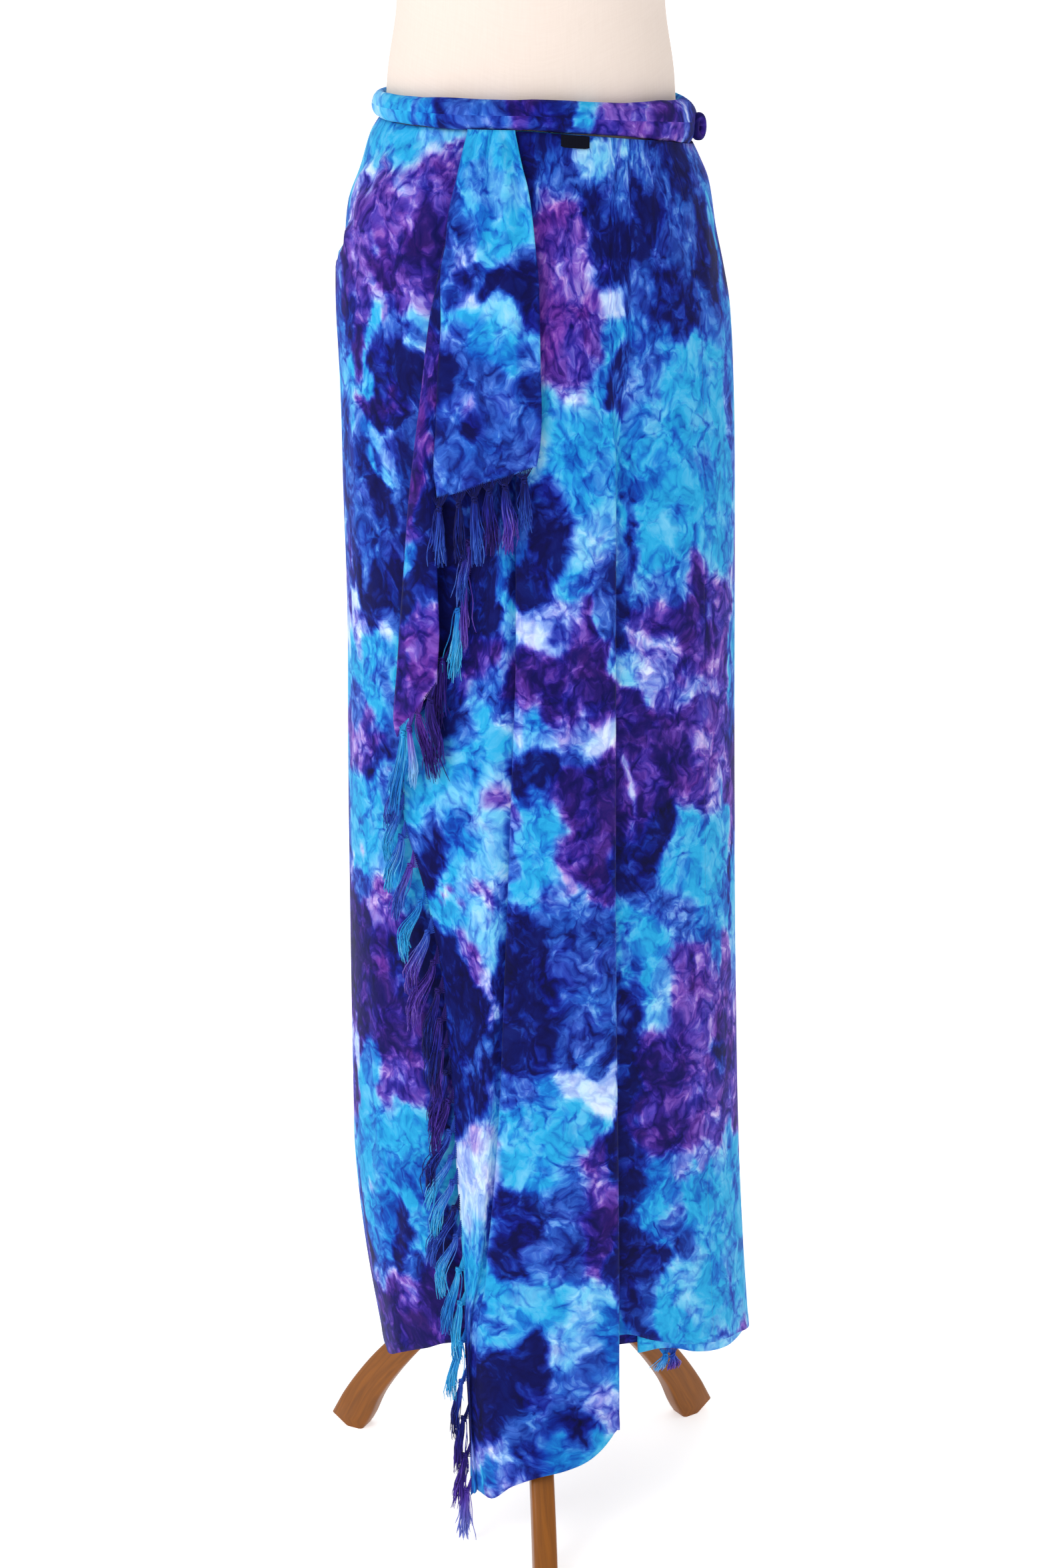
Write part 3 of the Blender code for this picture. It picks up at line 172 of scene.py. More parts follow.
# The cascade's and the flap's edges: height and sideways place, or share across and height
CASCADE_LEFT = [
    (0.727, -0.1056), (0.746, -0.1107), (0.785, -0.1076), (0.825, -0.1045), (0.877, -0.1002),
    (0.928, -0.0960), (0.967, -0.0914), (1.018, -0.0847), (1.069, -0.0786), (1.116, -0.0694),
    (1.140, -0.0630), (1.165, -0.0570), (1.2130, -0.0440),
]
CASCADE_RIGHT = [
    (0.755, -0.0760), (0.796, -0.0743), (0.825, -0.0725), (0.870, -0.0737), (0.971, -0.0745),
    (1.060, -0.0600), (1.116, -0.0500), (1.2130, -0.0340),
]
CASCADE_LOWER_EDGE = [
    (0.0, 0.790), (0.25, 0.778), (0.5, 0.757), (0.75, 0.742), (0.9, 0.732), (1.0, 0.738),
]
# Share across, where it lies across, and how far out
CASCADE_SECTION = [
    (0.0, 0.06, -0.0060), (0.14, 0.0, 0.0), (0.5, 0.5, 0.0035), (0.86, 0.985, -0.0010),
    (0.93, 1.0, -0.0030), (1.0, 0.94, -0.0052),
]
FLAP_LEFT = [
    (0.936, -0.0726), (0.960, -0.0755), (0.990, -0.0737), (1.032, -0.0719), (1.068, -0.0691),
    (1.112, -0.0688), (1.128, -0.0656), (1.156, -0.0624), (1.179, -0.0567), (1.2005, -0.0515),
    (1.2134, -0.0480),
]
FLAP_RIGHT = [
    (0.958, 0.0030), (0.978, 0.0069), (1.007, 0.0083), (1.042, 0.0073), (1.078, 0.0067),
    (1.108, 0.0057), (1.128, 0.0036), (1.156, 0.0005), (1.174, -0.0025), (1.189, -0.0065),
    (1.2134, -0.0120),
]
FLAP_LOWER_EDGE = [(0.0, 0.937), (0.25, 0.943), (0.5, 0.951), (0.75, 0.957), (1.0, 0.964)]
FLAP_PLEATS, FLAP_PLEAT_DEEP, FLAP_CROWN = 3, 0.0036, 0.0040
CASCADE_SHARES = (0.0, 0.07, 0.14, 0.23, 0.32, 0.41, 0.5, 0.59, 0.68, 0.77, 0.86, 0.93, 1.0)
FLAP_SHARES = tuple(k / 18 for k in range(19))
SHOULDER = 1.205               # a height just under the roll

# The big pleat: share of the overlap, step, layer, and place where it lies flat
PLEAT = [
    (0.0, 0.0060, LAYER_PANEL_UNDER, 0.0120), (0.5, 0.0000, LAYER_PANEL_UNDER, 0.0090),
    (1.0, 0.0022, LAYER_PANEL_UNDER, 0.0060),
    (1.0, 0.0000, (LAYER_PANEL_UNDER + LAYER_PANEL_RETURN) / 2, 0.0030),
    (1.0, 0.0022, LAYER_PANEL_RETURN, 0.0000), (0.5, 0.0000, LAYER_PANEL_RETURN, -0.0030),
    (0.0, -0.0022, LAYER_PANEL_RETURN, -0.0060),
    (0.0, 0.0000, (LAYER_PANEL_RETURN + LAYER_PANEL) / 2, -0.0090), (0.0, -0.0022, LAYER_PANEL, -0.0120),
]
# The crease: place, layer, and place where it lies flat
CREASE = [
    (0.0022, LAYER_PANEL, 0.0100), (0.0000, (LAYER_PANEL + LAYER_CREASE_UNDER) / 2, 0.0070),
    (0.0022, LAYER_CREASE_UNDER, 0.0040), (CREASE_OVERLAP - 0.0010, LAYER_CREASE_UNDER, 0.0015),
    (CREASE_OVERLAP + 0.0012, (LAYER_CREASE_UNDER + LAYER_STRIP) / 2, -0.0010),
    (CREASE_OVERLAP - 0.0010, LAYER_STRIP, -0.0040), (-0.0020, LAYER_STRIP, -0.0070),
]
# The form: height, half width, and how far it reaches to the front and to the back
FORM = [
    (0.937, 0.0930, 0.0700, 0.0800), (0.948, 0.1300, 0.0950, 0.1050), (0.972, 0.1460, 0.1060, 0.1200),
    (1.012, 0.1480, 0.1100, 0.1250), (1.062, 0.1450, 0.1100, 0.1230), (1.112, 0.1380, 0.1060, 0.1130),
    (1.150, 0.1285, 0.1010, 0.1040), (1.184, 0.1195, 0.0955, 0.0970), (1.204, 0.1155, 0.0925, 0.0940),
    (1.2254, 0.1140, 0.0908, 0.0925), (1.2529, 0.1120, 0.0890, 0.0900), (1.3034, 0.1045, 0.0860, 0.0830),
    (1.345, 0.1065, 0.0880, 0.0830), (1.402, 0.1190, 0.1000, 0.0900), (1.462, 0.1340, 0.1200, 0.0980),
    (1.512, 0.1400, 0.1180, 0.1020), (1.572, 0.1480, 0.0980, 0.1000), (1.612, 0.1530, 0.0800, 0.0920),
    (1.642, 0.1300, 0.0640, 0.0760), (1.662, 0.0900, 0.0540, 0.0620), (1.677, 0.0620, 0.0500, 0.0560),
    (1.702, 0.0550, 0.0480, 0.0520), (1.732, 0.0540, 0.0470, 0.0500),
]
# A leg: distance out and height of its upper side, then of its lower side
LEG_SECTIONS = [
    (0.0304, 0.1905, 0.0304, 0.1610), (0.0520, 0.1800, 0.0480, 0.1520), (0.0860, 0.1590, 0.0760, 0.1350),
    (0.1140, 0.1300, 0.1000, 0.1080), (0.1380, 0.1040, 0.1200, 0.0840), (0.1580, 0.0810, 0.1370, 0.0610),
    (0.1770, 0.0550, 0.1520, 0.0370), (0.1920, 0.0310, 0.1620, 0.0140), (0.2025, 0.0105, 0.1665, 0.0055),
    (0.1880, 0.0000, 0.1700, 0.0000),
]
LEG_ANGLES = {"leg_front": 4.0, "leg_right": 124.0, "leg_left": -116.0}

# Patches of dye where the photograph doesn't show the cloth: from which height to which, and their grid
SCATTER_HEIGHTS = (0.16, 1.22)
SCATTER_STEP, SCATTER_SHIFT, SCATTER_RISE = 20.0, 9.0, 0.085


class Dye(Enum):
    """What a pour leaves in the cloth: strength of turquoise, blue, purple and magenta dye."""

    WHITE = (0.12, 0.10, 0.10, 0.02)
    LAVENDER = (0.14, 0.28, 0.26, 0.02)
    PINK = (0.04, 0.12, 0.22, 0.34)
    PALE = (0.44, 0.14, 0.02, 0.00)
    TURQUOISE = (0.76, 0.04, 0.00, 0.00)
    AZURE = (0.80, 0.30, 0.00, 0.00)
    ROYAL = (0.36, 0.60, 0.12, 0.00)
    NAVY = (0.42, 0.90, 0.40, 0.00)
    VIOLET = (0.00, 0.20, 0.58, 0.24)
    PURPLE = (0.00, 0.28, 0.88, 0.22)
    MAGENTA = (0.00, 0.08, 0.60, 0.66)


@dataclass(frozen=True)
class Pour:
    """One pour of dye, seen in the photograph or placed by angle and height where it isn't seen.

    Attributes:
        across: photograph pixel, or angle in degrees on a hidden side.
        down: photograph pixel, or height in metres on a hidden side.
        wide: half width in photograph pixels.
        tall: half height in photograph pixels.
        dye: what it leaves.
        tilt: turn of its long axis, in degrees, clockwise as seen from outside.
    """

    across: float
    down: float
    wide: float
    tall: float
    dye: Dye
    tilt: float = 0.0


def pours(table: dict[Dye, Sequence[tuple]]) -> list[Pour]:
    """Pours from a table that lists them under their dyes.

    Args:
        table: for each dye, rows of across, down, wide, tall and, where a pour leans, tilt.

    Returns:
        The pours.
    """
    return [Pour(*row[:4], dye, *row[4:]) for dye, rows in table.items() for row in rows]


@dataclass(frozen=True)
class Fold:
    """A soft ridge or trough laid into a cloth, between two places of the photograph.

    Attributes:
        start: photograph pixel, or (angle, height) where hidden is set.
        end: the same for its other end.
        wide: half width in metres.
        high: height in metres, negative for a trough.
        hidden: whether the places are angles and heights.
    """

    start: tuple[float, float]
    end: tuple[float, float]
    wide: float
    high: float
    hidden: bool = False


def folds(rows: Sequence[tuple], hidden: bool = False) -> list[Fold]:
    """Folds from rows of a start, an end, a half width and a height.

    Args:
        rows: six numbers for each fold.
        hidden: whether the places are angles and heights.

    Returns:
        The folds.
    """
    return [Fold(row[:2], row[2:4], *row[4:], hidden) for row in rows]


def read(table: Sequence[tuple], at: float, column: int = 1) -> float:
    """Smooth value of a table at a place, held flat past its ends.

    Args:
        table: rows that start with their places, in rising order.
        at: the place.
        column: which number of a row is wanted.

    Returns:
        The value, which never passes the rows on either side of it.
    """
    if at <= table[0][0]:
        return table[0][column]
    if at >= table[-1][0]:
        return table[-1][column]
    i = 0
    while table[i + 1][0] < at:
        i += 1
    slopes = []
    for k in (i, i + 1):
        low, high = max(k - 1, 0), min(k + 1, len(table) - 1)
        slopes.append((table[high][column] - table[low][column]) / (table[high][0] - table[low][0]))
    span = table[i + 1][0] - table[i][0]
    t = (at - table[i][0]) / span
    start, end = table[i][column], table[i + 1][column]
    slopes = [0.0 if (end - start) * slope <= 0.0 else slope for slope in slopes]
    return (
        start * (1 + 2 * t) * (1 - t) ** 2
        + slopes[0] * span * t * (1 - t) ** 2
        + end * t * t * (3 - 2 * t)
        + slopes[1] * span * t * t * (t - 1)
    )


def ramp(low: float, high: float, at: float) -> float:
    """0 below low, 1 above high, smooth between them."""
    t = min(max((at - low) / (high - low), 0.0), 1.0)
    return t * t * (3.0 - 2.0 * t)


def mix(a: float, b: float, share: float) -> float:
    """Value at a share of the way from a to b."""
    return a + (b - a) * share


def bell(away: float, wide: float) -> float:
    """1 where away is 0, falling softly to nothing past about twice the width."""
    return math.exp(-((away / wide) ** 2))


def half_turn(angle: float) -> float:
    """The same angle, in degrees between -180 and 180."""
    return (angle + 180.0) % 360.0 - 180.0


def compass(angle: float) -> tuple[float, float]:
    """How far to the right and how far to the front an angle points."""
    return math.sin(math.radians(angle)), math.cos(math.radians(angle))


def linear(code: str) -> tuple[float, float, float, float]:
    """Turn an sRGB hex value into linear light."""
    parts = [int(code[k:k + 2], 16) / 255.0 for k in (1, 3, 5)]
    return (*[c / 12.92 if c <= 0.04045 else ((c + 0.055) / 1.055) ** 2.4 for c in parts], 1.0)


class Drape:
    """The shape that the wrap hangs in, round the upright axis."""

    OUTER_ANGLES = (180, 170, 160, 150, 140, 130, 120, 110, 102, 95, 88, 80, 72, 64, 56, 56)
    UNDER_ANGLES = tuple(range(88, -180, -8)) + (-179.8,)

    @staticmethod
    def soft_fold(angle: float, z: float) -> float:
        """How far the soft upright folds and the swag push every layer out.

        Args:
            angle: round the axis.
            z: height.

        Returns:
            Metres, outwards.
        """
        grow = min(max((SOFT_FOLDS_TOP - z) / SOFT_FOLDS_RUN, 0.0), 1.0) ** SOFT_FOLDS_GROWTH
        out = 0.0
        for middle, spread, height in SOFT_FOLDS:
            out += height * grow * bell(half_turn(angle - middle), spread)
        start, full, fade, end = SWAG_ANGLES
        if start < angle < end:
            below = read(SWAG_LINE, angle) - z
            share = ramp(start, full, angle) * (1.0 - ramp(fade, end, angle))
            out += SWAG_OUT * share * ramp(*SWAG_LIP, below) * bell(max(below, 0.0), SWAG_FADE)
        return out

    @classmethod
    def around(cls, angle: float, z: float, layer: float) -> Vector:
        """Point of a layer at an angle and a height.

        Args:
            angle: round the axis.
            z: height.
            layer: its offset where it lies loose.

        Returns:
            The point.
        """
        side, depth = compass(angle)
        ease = read(LAYER_EASE, z)
        out = layer * ease + cls.soft_fold(angle, z)
        if side < 0.0:
            half = read(LEFT_SIDE, z) - CLOTH_WALL / 2
        else:
            half = read(RIGHT_SIDE, z) - CLOTH_WALL / 2 - LAYER_OUTER_SIDE * ease
        reach = read(FRONT_SIDE, z) if depth > 0.0 else read(BACK_SIDE, z)
        x = side * (half + out)
        push = 0.0
        if depth > 0.0 and layer > LAYER_STRIP - 0.001:
            push = LEG_PUSH * (1.0 - ramp(*LEG_PUSH_HEIGHTS, z)) * bell(x - LEG_PUSH_X, LEG_PUSH_SPREAD)
        return Vector((x, -depth * (reach + out) - push, z))

    @classmethod
    def angle_of(cls, x: float, z: float, layer: float) -> float:
        """Angle at which a layer on the front passes a sideways place.

        Args:
            x: the sideways place.
            z: height.
            layer: the layer's offset.

        Returns:
            Degrees, found by halving.
        """
        low, high = -80.0, 80.0
        for _ in range(ANGLE_HALVINGS):
            middle = (low + high) / 2
            if cls.around(middle, z, layer).x < x:
                low = middle
            else:
                high = middle
        return (low + high) / 2

    @classmethod
    def on_front(cls, x: float, z: float, layer: float) -> Vector:
        """Point of a layer on the front at a sideways place and a height."""
        return cls.around(cls.angle_of(x, z, layer), z, layer)

    @classmethod
    def seen_at(cls, px: float, py: float, layer: float) -> Vector:
        """Point of a layer that the photograph shows at a pixel.

        Args:
            px: pixels from its left.
            py: pixels from its top.
            layer: the layer's offset.

        Returns:
            The point.
        """
        u, v = (px - IMAGE_WIDE / 2) / FOCAL_PX, (py - IMAGE_TALL / 2) / FOCAL_PX
        ray = Vector((
            u,
            math.cos(CAMERA_PITCH) - v * math.sin(CAMERA_PITCH),
            -math.sin(CAMERA_PITCH) - v * math.cos(CAMERA_PITCH),
        ))
        point = Vector((0.0, -0.12, 0.7))
        for _ in range(4):
            far = (point.y - CAMERA_AT[1]) / ray.y
            point = cls.on_front(CAMERA_AT[0] + ray.x * far, CAMERA_AT[2] + ray.z * far, layer)
        return point

    @staticmethod
    def roll_value(angle: float, name: str) -> float:
        """Value of the waist roll's table at an angle."""
        return read(ROLL, half_turn(angle), ROLL_COLUMNS.index(name))

    @classmethod
    def roll_centre(cls, angle: float) -> Vector:
        """Point of the roll's middle line at an angle.

        Args:
            angle: round the axis.

        Returns:
            The point.
        """
        side, depth = compass(angle)
        half = ROLL_RIGHT if side > 0.0 else ROLL_LEFT
        reach = ROLL_FRONT if depth > 0.0 else ROLL_BACK
        return Vector((side * half, -depth * reach, cls.roll_value(angle, "middle_z")))

    @classmethod
    def roll_out(cls, angle: float) -> Vector:
        """Level direction straight out of the roll's middle line."""
        step = cls.roll_centre(angle + 1.0) - cls.roll_centre(angle - 1.0)
        return Vector((-step.y, step.x, 0.0)).normalized() * -1.0

    @classmethod
    def wall_top(cls, angle: float) -> float:
        """Height of the cloth's upper edge, just under the roll."""
        return cls.roll_value(angle, "middle_z") - cls.roll_value(angle, "tall") / 2 - SEAT_GAP

    @staticmethod
    def roll_angle(point: Vector) -> float:
        """Angle of the part of the roll that lies over a point."""
        return math.degrees(math.atan2(point.x / ROLL_RIGHT, -point.y / ROLL_FRONT))

    @classmethod
    def top_under_roll(cls, place: Callable[[float], Vector]) -> float:
        """Height at which a layer meets the underside of the roll.

        Args:
            place: the layer's point at a height.

        Returns:
            The height, a little under the roll's rounded underside.
        """
        point = place(SHOULDER)
        angle = cls.roll_angle(point)
        beside = (point - cls.roll_centre(angle)).dot(cls.roll_out(angle)) - CLOTH_WALL / 2
        rise = math.sqrt(1.0 - min(max(beside / (cls.roll_value(angle, "thick") / 2), 0.0), 0.5) ** 2)
        return cls.roll_value(angle, "middle_z") - cls.roll_value(angle, "tall") / 2 * rise - 1.5 * SEAT_GAP

    @staticmethod
    def pleat_state(z: float) -> tuple[float, float, float]:
        """How far a pleat's layers are parted, it is folded, and its folds lean, at a height."""
        return 1.0 - ramp(*PLEATS_PART, z), 1.0 - ramp(*PLEATS_FOLD, z), ramp(*PLEATS_LEAN, z)

    @classmethod
    def pleat_point(cls, k: int, z: float) -> tuple[float, float]:
        """A point of the big pleat at a height.

        Args:
            k: which point of its section.
            z: height.

        Returns:
            Its sideways place and its layer.
        """
        share, step, layer, flat = PLEAT[k]
        parted, folded, lean = cls.pleat_state(z)
        overlap = read(PANEL_FOLD_OVERLAP, z)
        place = step * min(1.0, overlap / FULL_STEP_OVERLAP) - share * overlap
        layer = mix(layer, mix(LAYER_PANEL_UNDER, LAYER_PANEL, k / (len(PLEAT) - 1)), lean)
        return read(PANEL_FOLD_X, z) + mix(flat, place, folded), mix(LAYER_OPEN, layer, parted)

    @classmethod
    def crease_point(cls, k: int, z: float) -> tuple[float, float]:
        """A point of the narrow crease at a height.

        Args:
            k: which point of its section.
            z: height.

        Returns:
            Its sideways place and its layer.
        """
        place, layer, flat = CREASE[k]
        parted, folded, lean = cls.pleat_state(z)
        ends = ramp(*CREASE_ENDS, z)
        layer = mix(layer, mix(LAYER_PANEL, LAYER_STRIP, k / (len(CREASE) - 1)), max(lean, 1.0 - ends))
        place, flat = mix(CREASE_AT_HEM * flat, place, ends), flat * mix(CREASE_AT_HEM, 1.0, ends)
        return read(CREASE_X, z) + mix(flat, place, folded), mix(LAYER_OPEN, layer, parted)

    @staticmethod
    def strip_layer(share: float, z: float) -> float:
        """Layer of the strip beside the crease: forward low down, falling back into a recess above.

        Args:
            share: 0 at the crease and 1 at the fringed edge.
            z: height.

        Returns:
            The layer's offset.
        """
        low_down = LAYER_STRIP + STRIP_SWELL * math.sin(math.pi * min(share / 0.55, 1.0)) + 0.001 * share
        low_down -= STRIP_SWELL * bell(z - 0.735, 0.035) * ramp(0.5, 0.9, share)
        recess = mix(LAYER_STRIP + STRIP_SWELL, LAYER_RECESS, ramp(0.40, 0.62, share))
        open_top = ramp(*PLEATS_PART, z)
        deep = ramp(*STRIP_COMES_FORWARD, z) * (1.0 - open_top)
        return mix(mix(low_down, recess, deep), mix(LAYER_OPEN, LAYER_STRIP_TOP, share), open_top)

    @classmethod
    def outer_stations(cls) -> list[tuple[str, float]]:
        """Kinds and places along the outer layer, in the order in which the cloth runs.

        Returns:
            Each station's kind and its place.
        """
        return [
            *(("angle", angle) for angle in cls.OUTER_ANGLES),
            *(("right", share) for share in (0.25, 0.50, 0.75)),
            *(("pleat", k) for k in range(len(PLEAT))),
            *(("panel", share) for share in (0.04, 0.10, 0.2, 0.4, 0.6, 0.8)),
            *(("crease", k) for k in range(len(CREASE))),
            *(("strip", share) for share in (0.16, 0.32, 0.48, 0.64, 0.82, 1.0)),
        ]

    @classmethod
    def outer_place(cls, kind: str, value: float, z: float) -> Vector:
        """Point of the outer layer at a station and a height.

        Args:
            kind: the station's kind.
            value: its place.
            z: height.

        Returns:
            The point.
        """
        if kind == "angle":
            return cls.around(value, z, LAYER_OUTER_SIDE * (1.0 - ramp(95.0, 176.0, value)))
        if kind == "right":
            end_x, end_layer = cls.pleat_point(0, z)
            angle = mix(cls.OUTER_ANGLES[-1], cls.angle_of(end_x, z, end_layer), value)
            return cls.around(angle, z, mix(LAYER_OUTER_SIDE, end_layer, ramp(0.0, 1.0, value)))
        if kind in ("pleat", "crease"):
            x, layer = cls.pleat_point(value, z) if kind == "pleat" else cls.crease_point(value, z)
            return cls.on_front(x, z, layer)
        if kind == "panel":
            start_x, start_layer = cls.pleat_point(len(PLEAT) - 1, z)
            end_x, end_layer = cls.crease_point(0, z)
            fullness = PANEL_FULLNESS * math.sin(math.pi * value) * (1.0 - ramp(0.9, 1.2, z))
            layer = mix(start_layer, end_layer, value) + fullness
            return cls.on_front(mix(start_x, end_x, value), z, layer)
        start_x = cls.crease_point(len(CREASE) - 1, z)[0]
        return cls.on_front(mix(start_x, read(FRINGED_EDGE_X, z), value), z, cls.strip_layer(value, z))

    @classmethod
    def outer_hem(cls, kind: str, value: float) -> float:
        """Hem height at a station of the outer layer.

        Args:
            kind: the station's kind.
            value: its place.

        Returns:
            The height.
        """
        if kind == "angle":
            return read(OUTER_HEM, value)
        if kind == "right":
            return read(OUTER_HEM, mix(cls.OUTER_ANGLES[-1], 26.0, value))
        if kind == "pleat":
            return read(PLEAT_HEM, value)
        if kind == "panel":
            return read(PANEL_HEM, mix(PANEL_HEM[-1][0], PANEL_HEM[1][0], value))
        if kind == "crease":
            return PANEL_HEM[1][1]
        return mix(PANEL_HEM[1][1], PANEL_HEM[0][1], value)

    @classmethod
    def outer_top(cls, kind: str, value: float) -> float:
        """Height at which a station of the outer layer meets the roll.

        Args:
            kind: the station's kind.
            value: its place.

        Returns:
            The height.
        """
        if kind == "angle":
            return cls.wall_top(value)
        return cls.wall_top(cls.roll_angle(cls.outer_place(kind, value, SHOULDER)))

    @classmethod
    def cascade_place(cls, share: float, z: float) -> Vector:
        """Point of the cascade.

        Args:
            share: 0 at its turned right edge and 1 where its left fold turns under.
            z: height.

        Returns:
            The point.
        """
        across = mix(read(CASCADE_SECTION, share), share, ramp(1.070, 1.125, z))
        depth = read(CASCADE_SECTION, share, 2) * (1.0 - ramp(1.110, 1.165, z))
        layer = mix(LAYER_CASCADE, LAYER_CASCADE_TOP, ramp(1.130, 1.180, z)) + depth
        return cls.on_front(mix(read(CASCADE_RIGHT, z), read(CASCADE_LEFT, z), across), z, layer)

    @classmethod
    def flap_place(cls, share: float, z: float) -> Vector:
        """Point of the flap.

        Args:
            share: 0 at its left edge and 1 at its right edge.
            z: height.

        Returns:
            The point.
        """
        deep = mix(0.35, 1.0, ramp(1.000, 1.180, z)) * (1.0 - ramp(1.190, 1.215, z))
        pleat = FLAP_PLEAT_DEEP * (0.5 + 0.5 * math.sin(math.tau * (FLAP_PLEATS * share + 0.15))) * deep
        crown = FLAP_CROWN * math.sin(math.pi * share) * (1.0 - ramp(1.150, 1.215, z))
        layer = mix(LAYER_FLAP, LAYER_FLAP_TOP, ramp(1.150, 1.205, z)) + pleat + crown
        return cls.on_front(mix(read(FLAP_LEFT, z), read(FLAP_RIGHT, z), share), z, layer)


Grid = np.ndarray
ROW_CROWDING = (0.72, 0.28)    # rows lie closer together near the roll
WRAP_OVAL = 0.62               # the wrap's depth over its width
FOLD_AT_ENDS = 0.25            # share of its height that a fold keeps at its ends
WANDERS = ((0.048, 0.020), (0.017, 0.011))    # size and reach of the noise that feathers the dye's edges
WANDER_TALL = 1.3
DYE_SHARPNESS = 1.6
DYE_LEAST_DEPTH = 0.03


def settle_columns(
    stations: Sequence, place: Callable[[object, float], Vector], top: Callable[[object], float],
    hem: Callable[[object], float], rows: int,
) -> Grid:
    """Rows of points down each station, closer together near the roll.

    Args:
        stations: places along the cloth.
        place: point at a station and a height.
        top: height of the upper edge at a station.
        hem: height of the hem at a station.
        rows: number of rows.

    Returns:
        Points as rows, stations, 3.
    """
    grid = np.zeros((rows, len(stations), 3))
    for j, station in enumerate(stations):
        high, low = top(station), hem(station)
        for i in range(rows):
            share = i / (rows - 1)
            z = mix(high, low, share * (ROW_CROWDING[0] + ROW_CROWDING[1] * share))
            grid[i, j] = place(station, z)
    return grid


def smooth_across(grid: Grid, spacing: float) -> Grid:
    """More columns, on a smooth line through each row's points.

    Args:
        grid: points as rows, stations, 3.
        spacing: wanted distance between columns, in metres.

    Returns:
        The finer grid.
    """
    steps = np.linalg.norm(np.diff(grid, axis=1), axis=2).max(axis=0)
    first, last = 2 * grid[:, :1] - grid[:, 1:2], 2 * grid[:, -1:] - grid[:, -2:-1]
    padded = np.concatenate([first, grid, last], axis=1)
    columns = [grid[:, 0]]
    for j, step in enumerate(steps):
        before, start, end, after = (padded[:, j + k] for k in range(4))
        first, middle, last = (
            np.linalg.norm(far - near, axis=1)[:, None] + 1e-9
            for near, far in ((before, start), (start, end), (end, after))
        )
        leave = ((start - before) / first * middle + (end - start) / middle * first) / (first + middle)
        arrive = ((end - start) / middle * last + (after - end) / last * middle) / (middle + last)
        count = max(2, math.ceil(step / spacing))
        for k in range(1, count + 1):
            t = k / count
            columns.append(
                start * (1 + 2 * t) * (1 - t) ** 2 + leave * middle * t * (1 - t) ** 2
                + end * t * t * (3 - 2 * t) + arrive * middle * t * t * (t - 1)
            )
    return np.stack(columns, axis=1)


def outward(points: np.ndarray) -> np.ndarray:
    """Level directions away from the upright axis, following the wrap's oval section.

    Args:
        points: any number of points, 3.

    Returns:
        As many directions.
    """
    level = points.copy()
    level[..., 2] = 0.0
    level[..., 0] *= WRAP_OVAL
    return level / (np.linalg.norm(level, axis=-1, keepdims=True) + 1e-9)


def lay_folds(grid: Grid, laid: Sequence[Fold], layer: float) -> Grid:
    """Push a cloth in and out along folds that are listed.

    Args:
        grid: points as rows, columns, 3.
        laid: the folds.
        layer: the cloth's layer.

    Returns:
        The pushed points.
    """
    push = np.zeros(grid.shape[:2])
    for fold in laid:
        find = Drape.around if fold.hidden else Drape.seen_at
        start, end = (np.array(find(*place, layer)) for place in (fold.start, fold.end))
        line = end - start
        share = np.clip(((grid - start) @ line) / (line @ line), 0.0, 1.0)
        away = np.linalg.norm(grid - (start + share[..., None] * line), axis=2)
        rise = np.sin(np.pi * np.clip(share, 0.04, 0.96)) ** 0.7
        taper = FOLD_AT_ENDS + (1.0 - FOLD_AT_ENDS) * rise
        push += fold.high * taper * np.exp(-((away / fold.wide) ** 2))
    return grid + outward(grid) * push[..., None]


def wander(points: np.ndarray) -> np.ndarray:
    """Move points about by noise of two sizes, so that the pours spread with feathered edges.

    Args:
        points: points, 3.

    Returns:
        The moved points.
    """
    moved = points.copy()
    for size, reach in WANDERS:
        for k, point in enumerate(points):
            push = noise.noise_vector(Vector(point) / size)
            moved[k] += (push.x * reach, push.y * reach, push.z * reach * WANDER_TALL)
    return moved


def steep(points: Grid, seen: Sequence[Pour], layer: float, hidden: Sequence[Pour] = ()) -> np.ndarray:
    """Strength of each dye at each point, from the pours nearest to it.

    Args:
        points: rows, columns, 3.
        seen: pours placed by photograph pixel.
        layer: the layer they lie on.
        hidden: pours placed by angle and height.

    Returns:
        Strengths as rows, columns, 4.
    """
    flat = wander(points.reshape(-1, 3))
    places = [(Drape.seen_at(p.across, p.down, layer), p) for p in seen]
    places += [(Drape.around(p.across, p.down, layer), p) for p in hidden]
    scores = np.zeros((len(flat), len(places)))
    for k, (centre, pour) in enumerate(places):
        centre = np.array(centre)
        out = outward(centre)
        along = np.array((-out[1], out[0], 0.0))
        turn = math.radians(pour.tilt)
        offset = flat - centre
        side, up, deep = offset @ along, offset[:, 2], offset @ out
        wide, tall = pour.wide / PX_PER_M, pour.tall / PX_PER_M
        first = (side * math.cos(turn) - up * math.sin(turn)) / wide
        second = (side * math.sin(turn) + up * math.cos(turn)) / tall
        scores[:, k] = -(first ** 2 + second ** 2 + (deep / max(wide, DYE_LEAST_DEPTH)) ** 2)
    scores = np.exp((scores - scores.max(axis=1, keepdims=True)) * DYE_SHARPNESS)
    weights = scores / scores.sum(axis=1, keepdims=True)
    return (weights @ np.array([pour.dye.value for _, pour in places])).reshape(*points.shape[:2], 4)


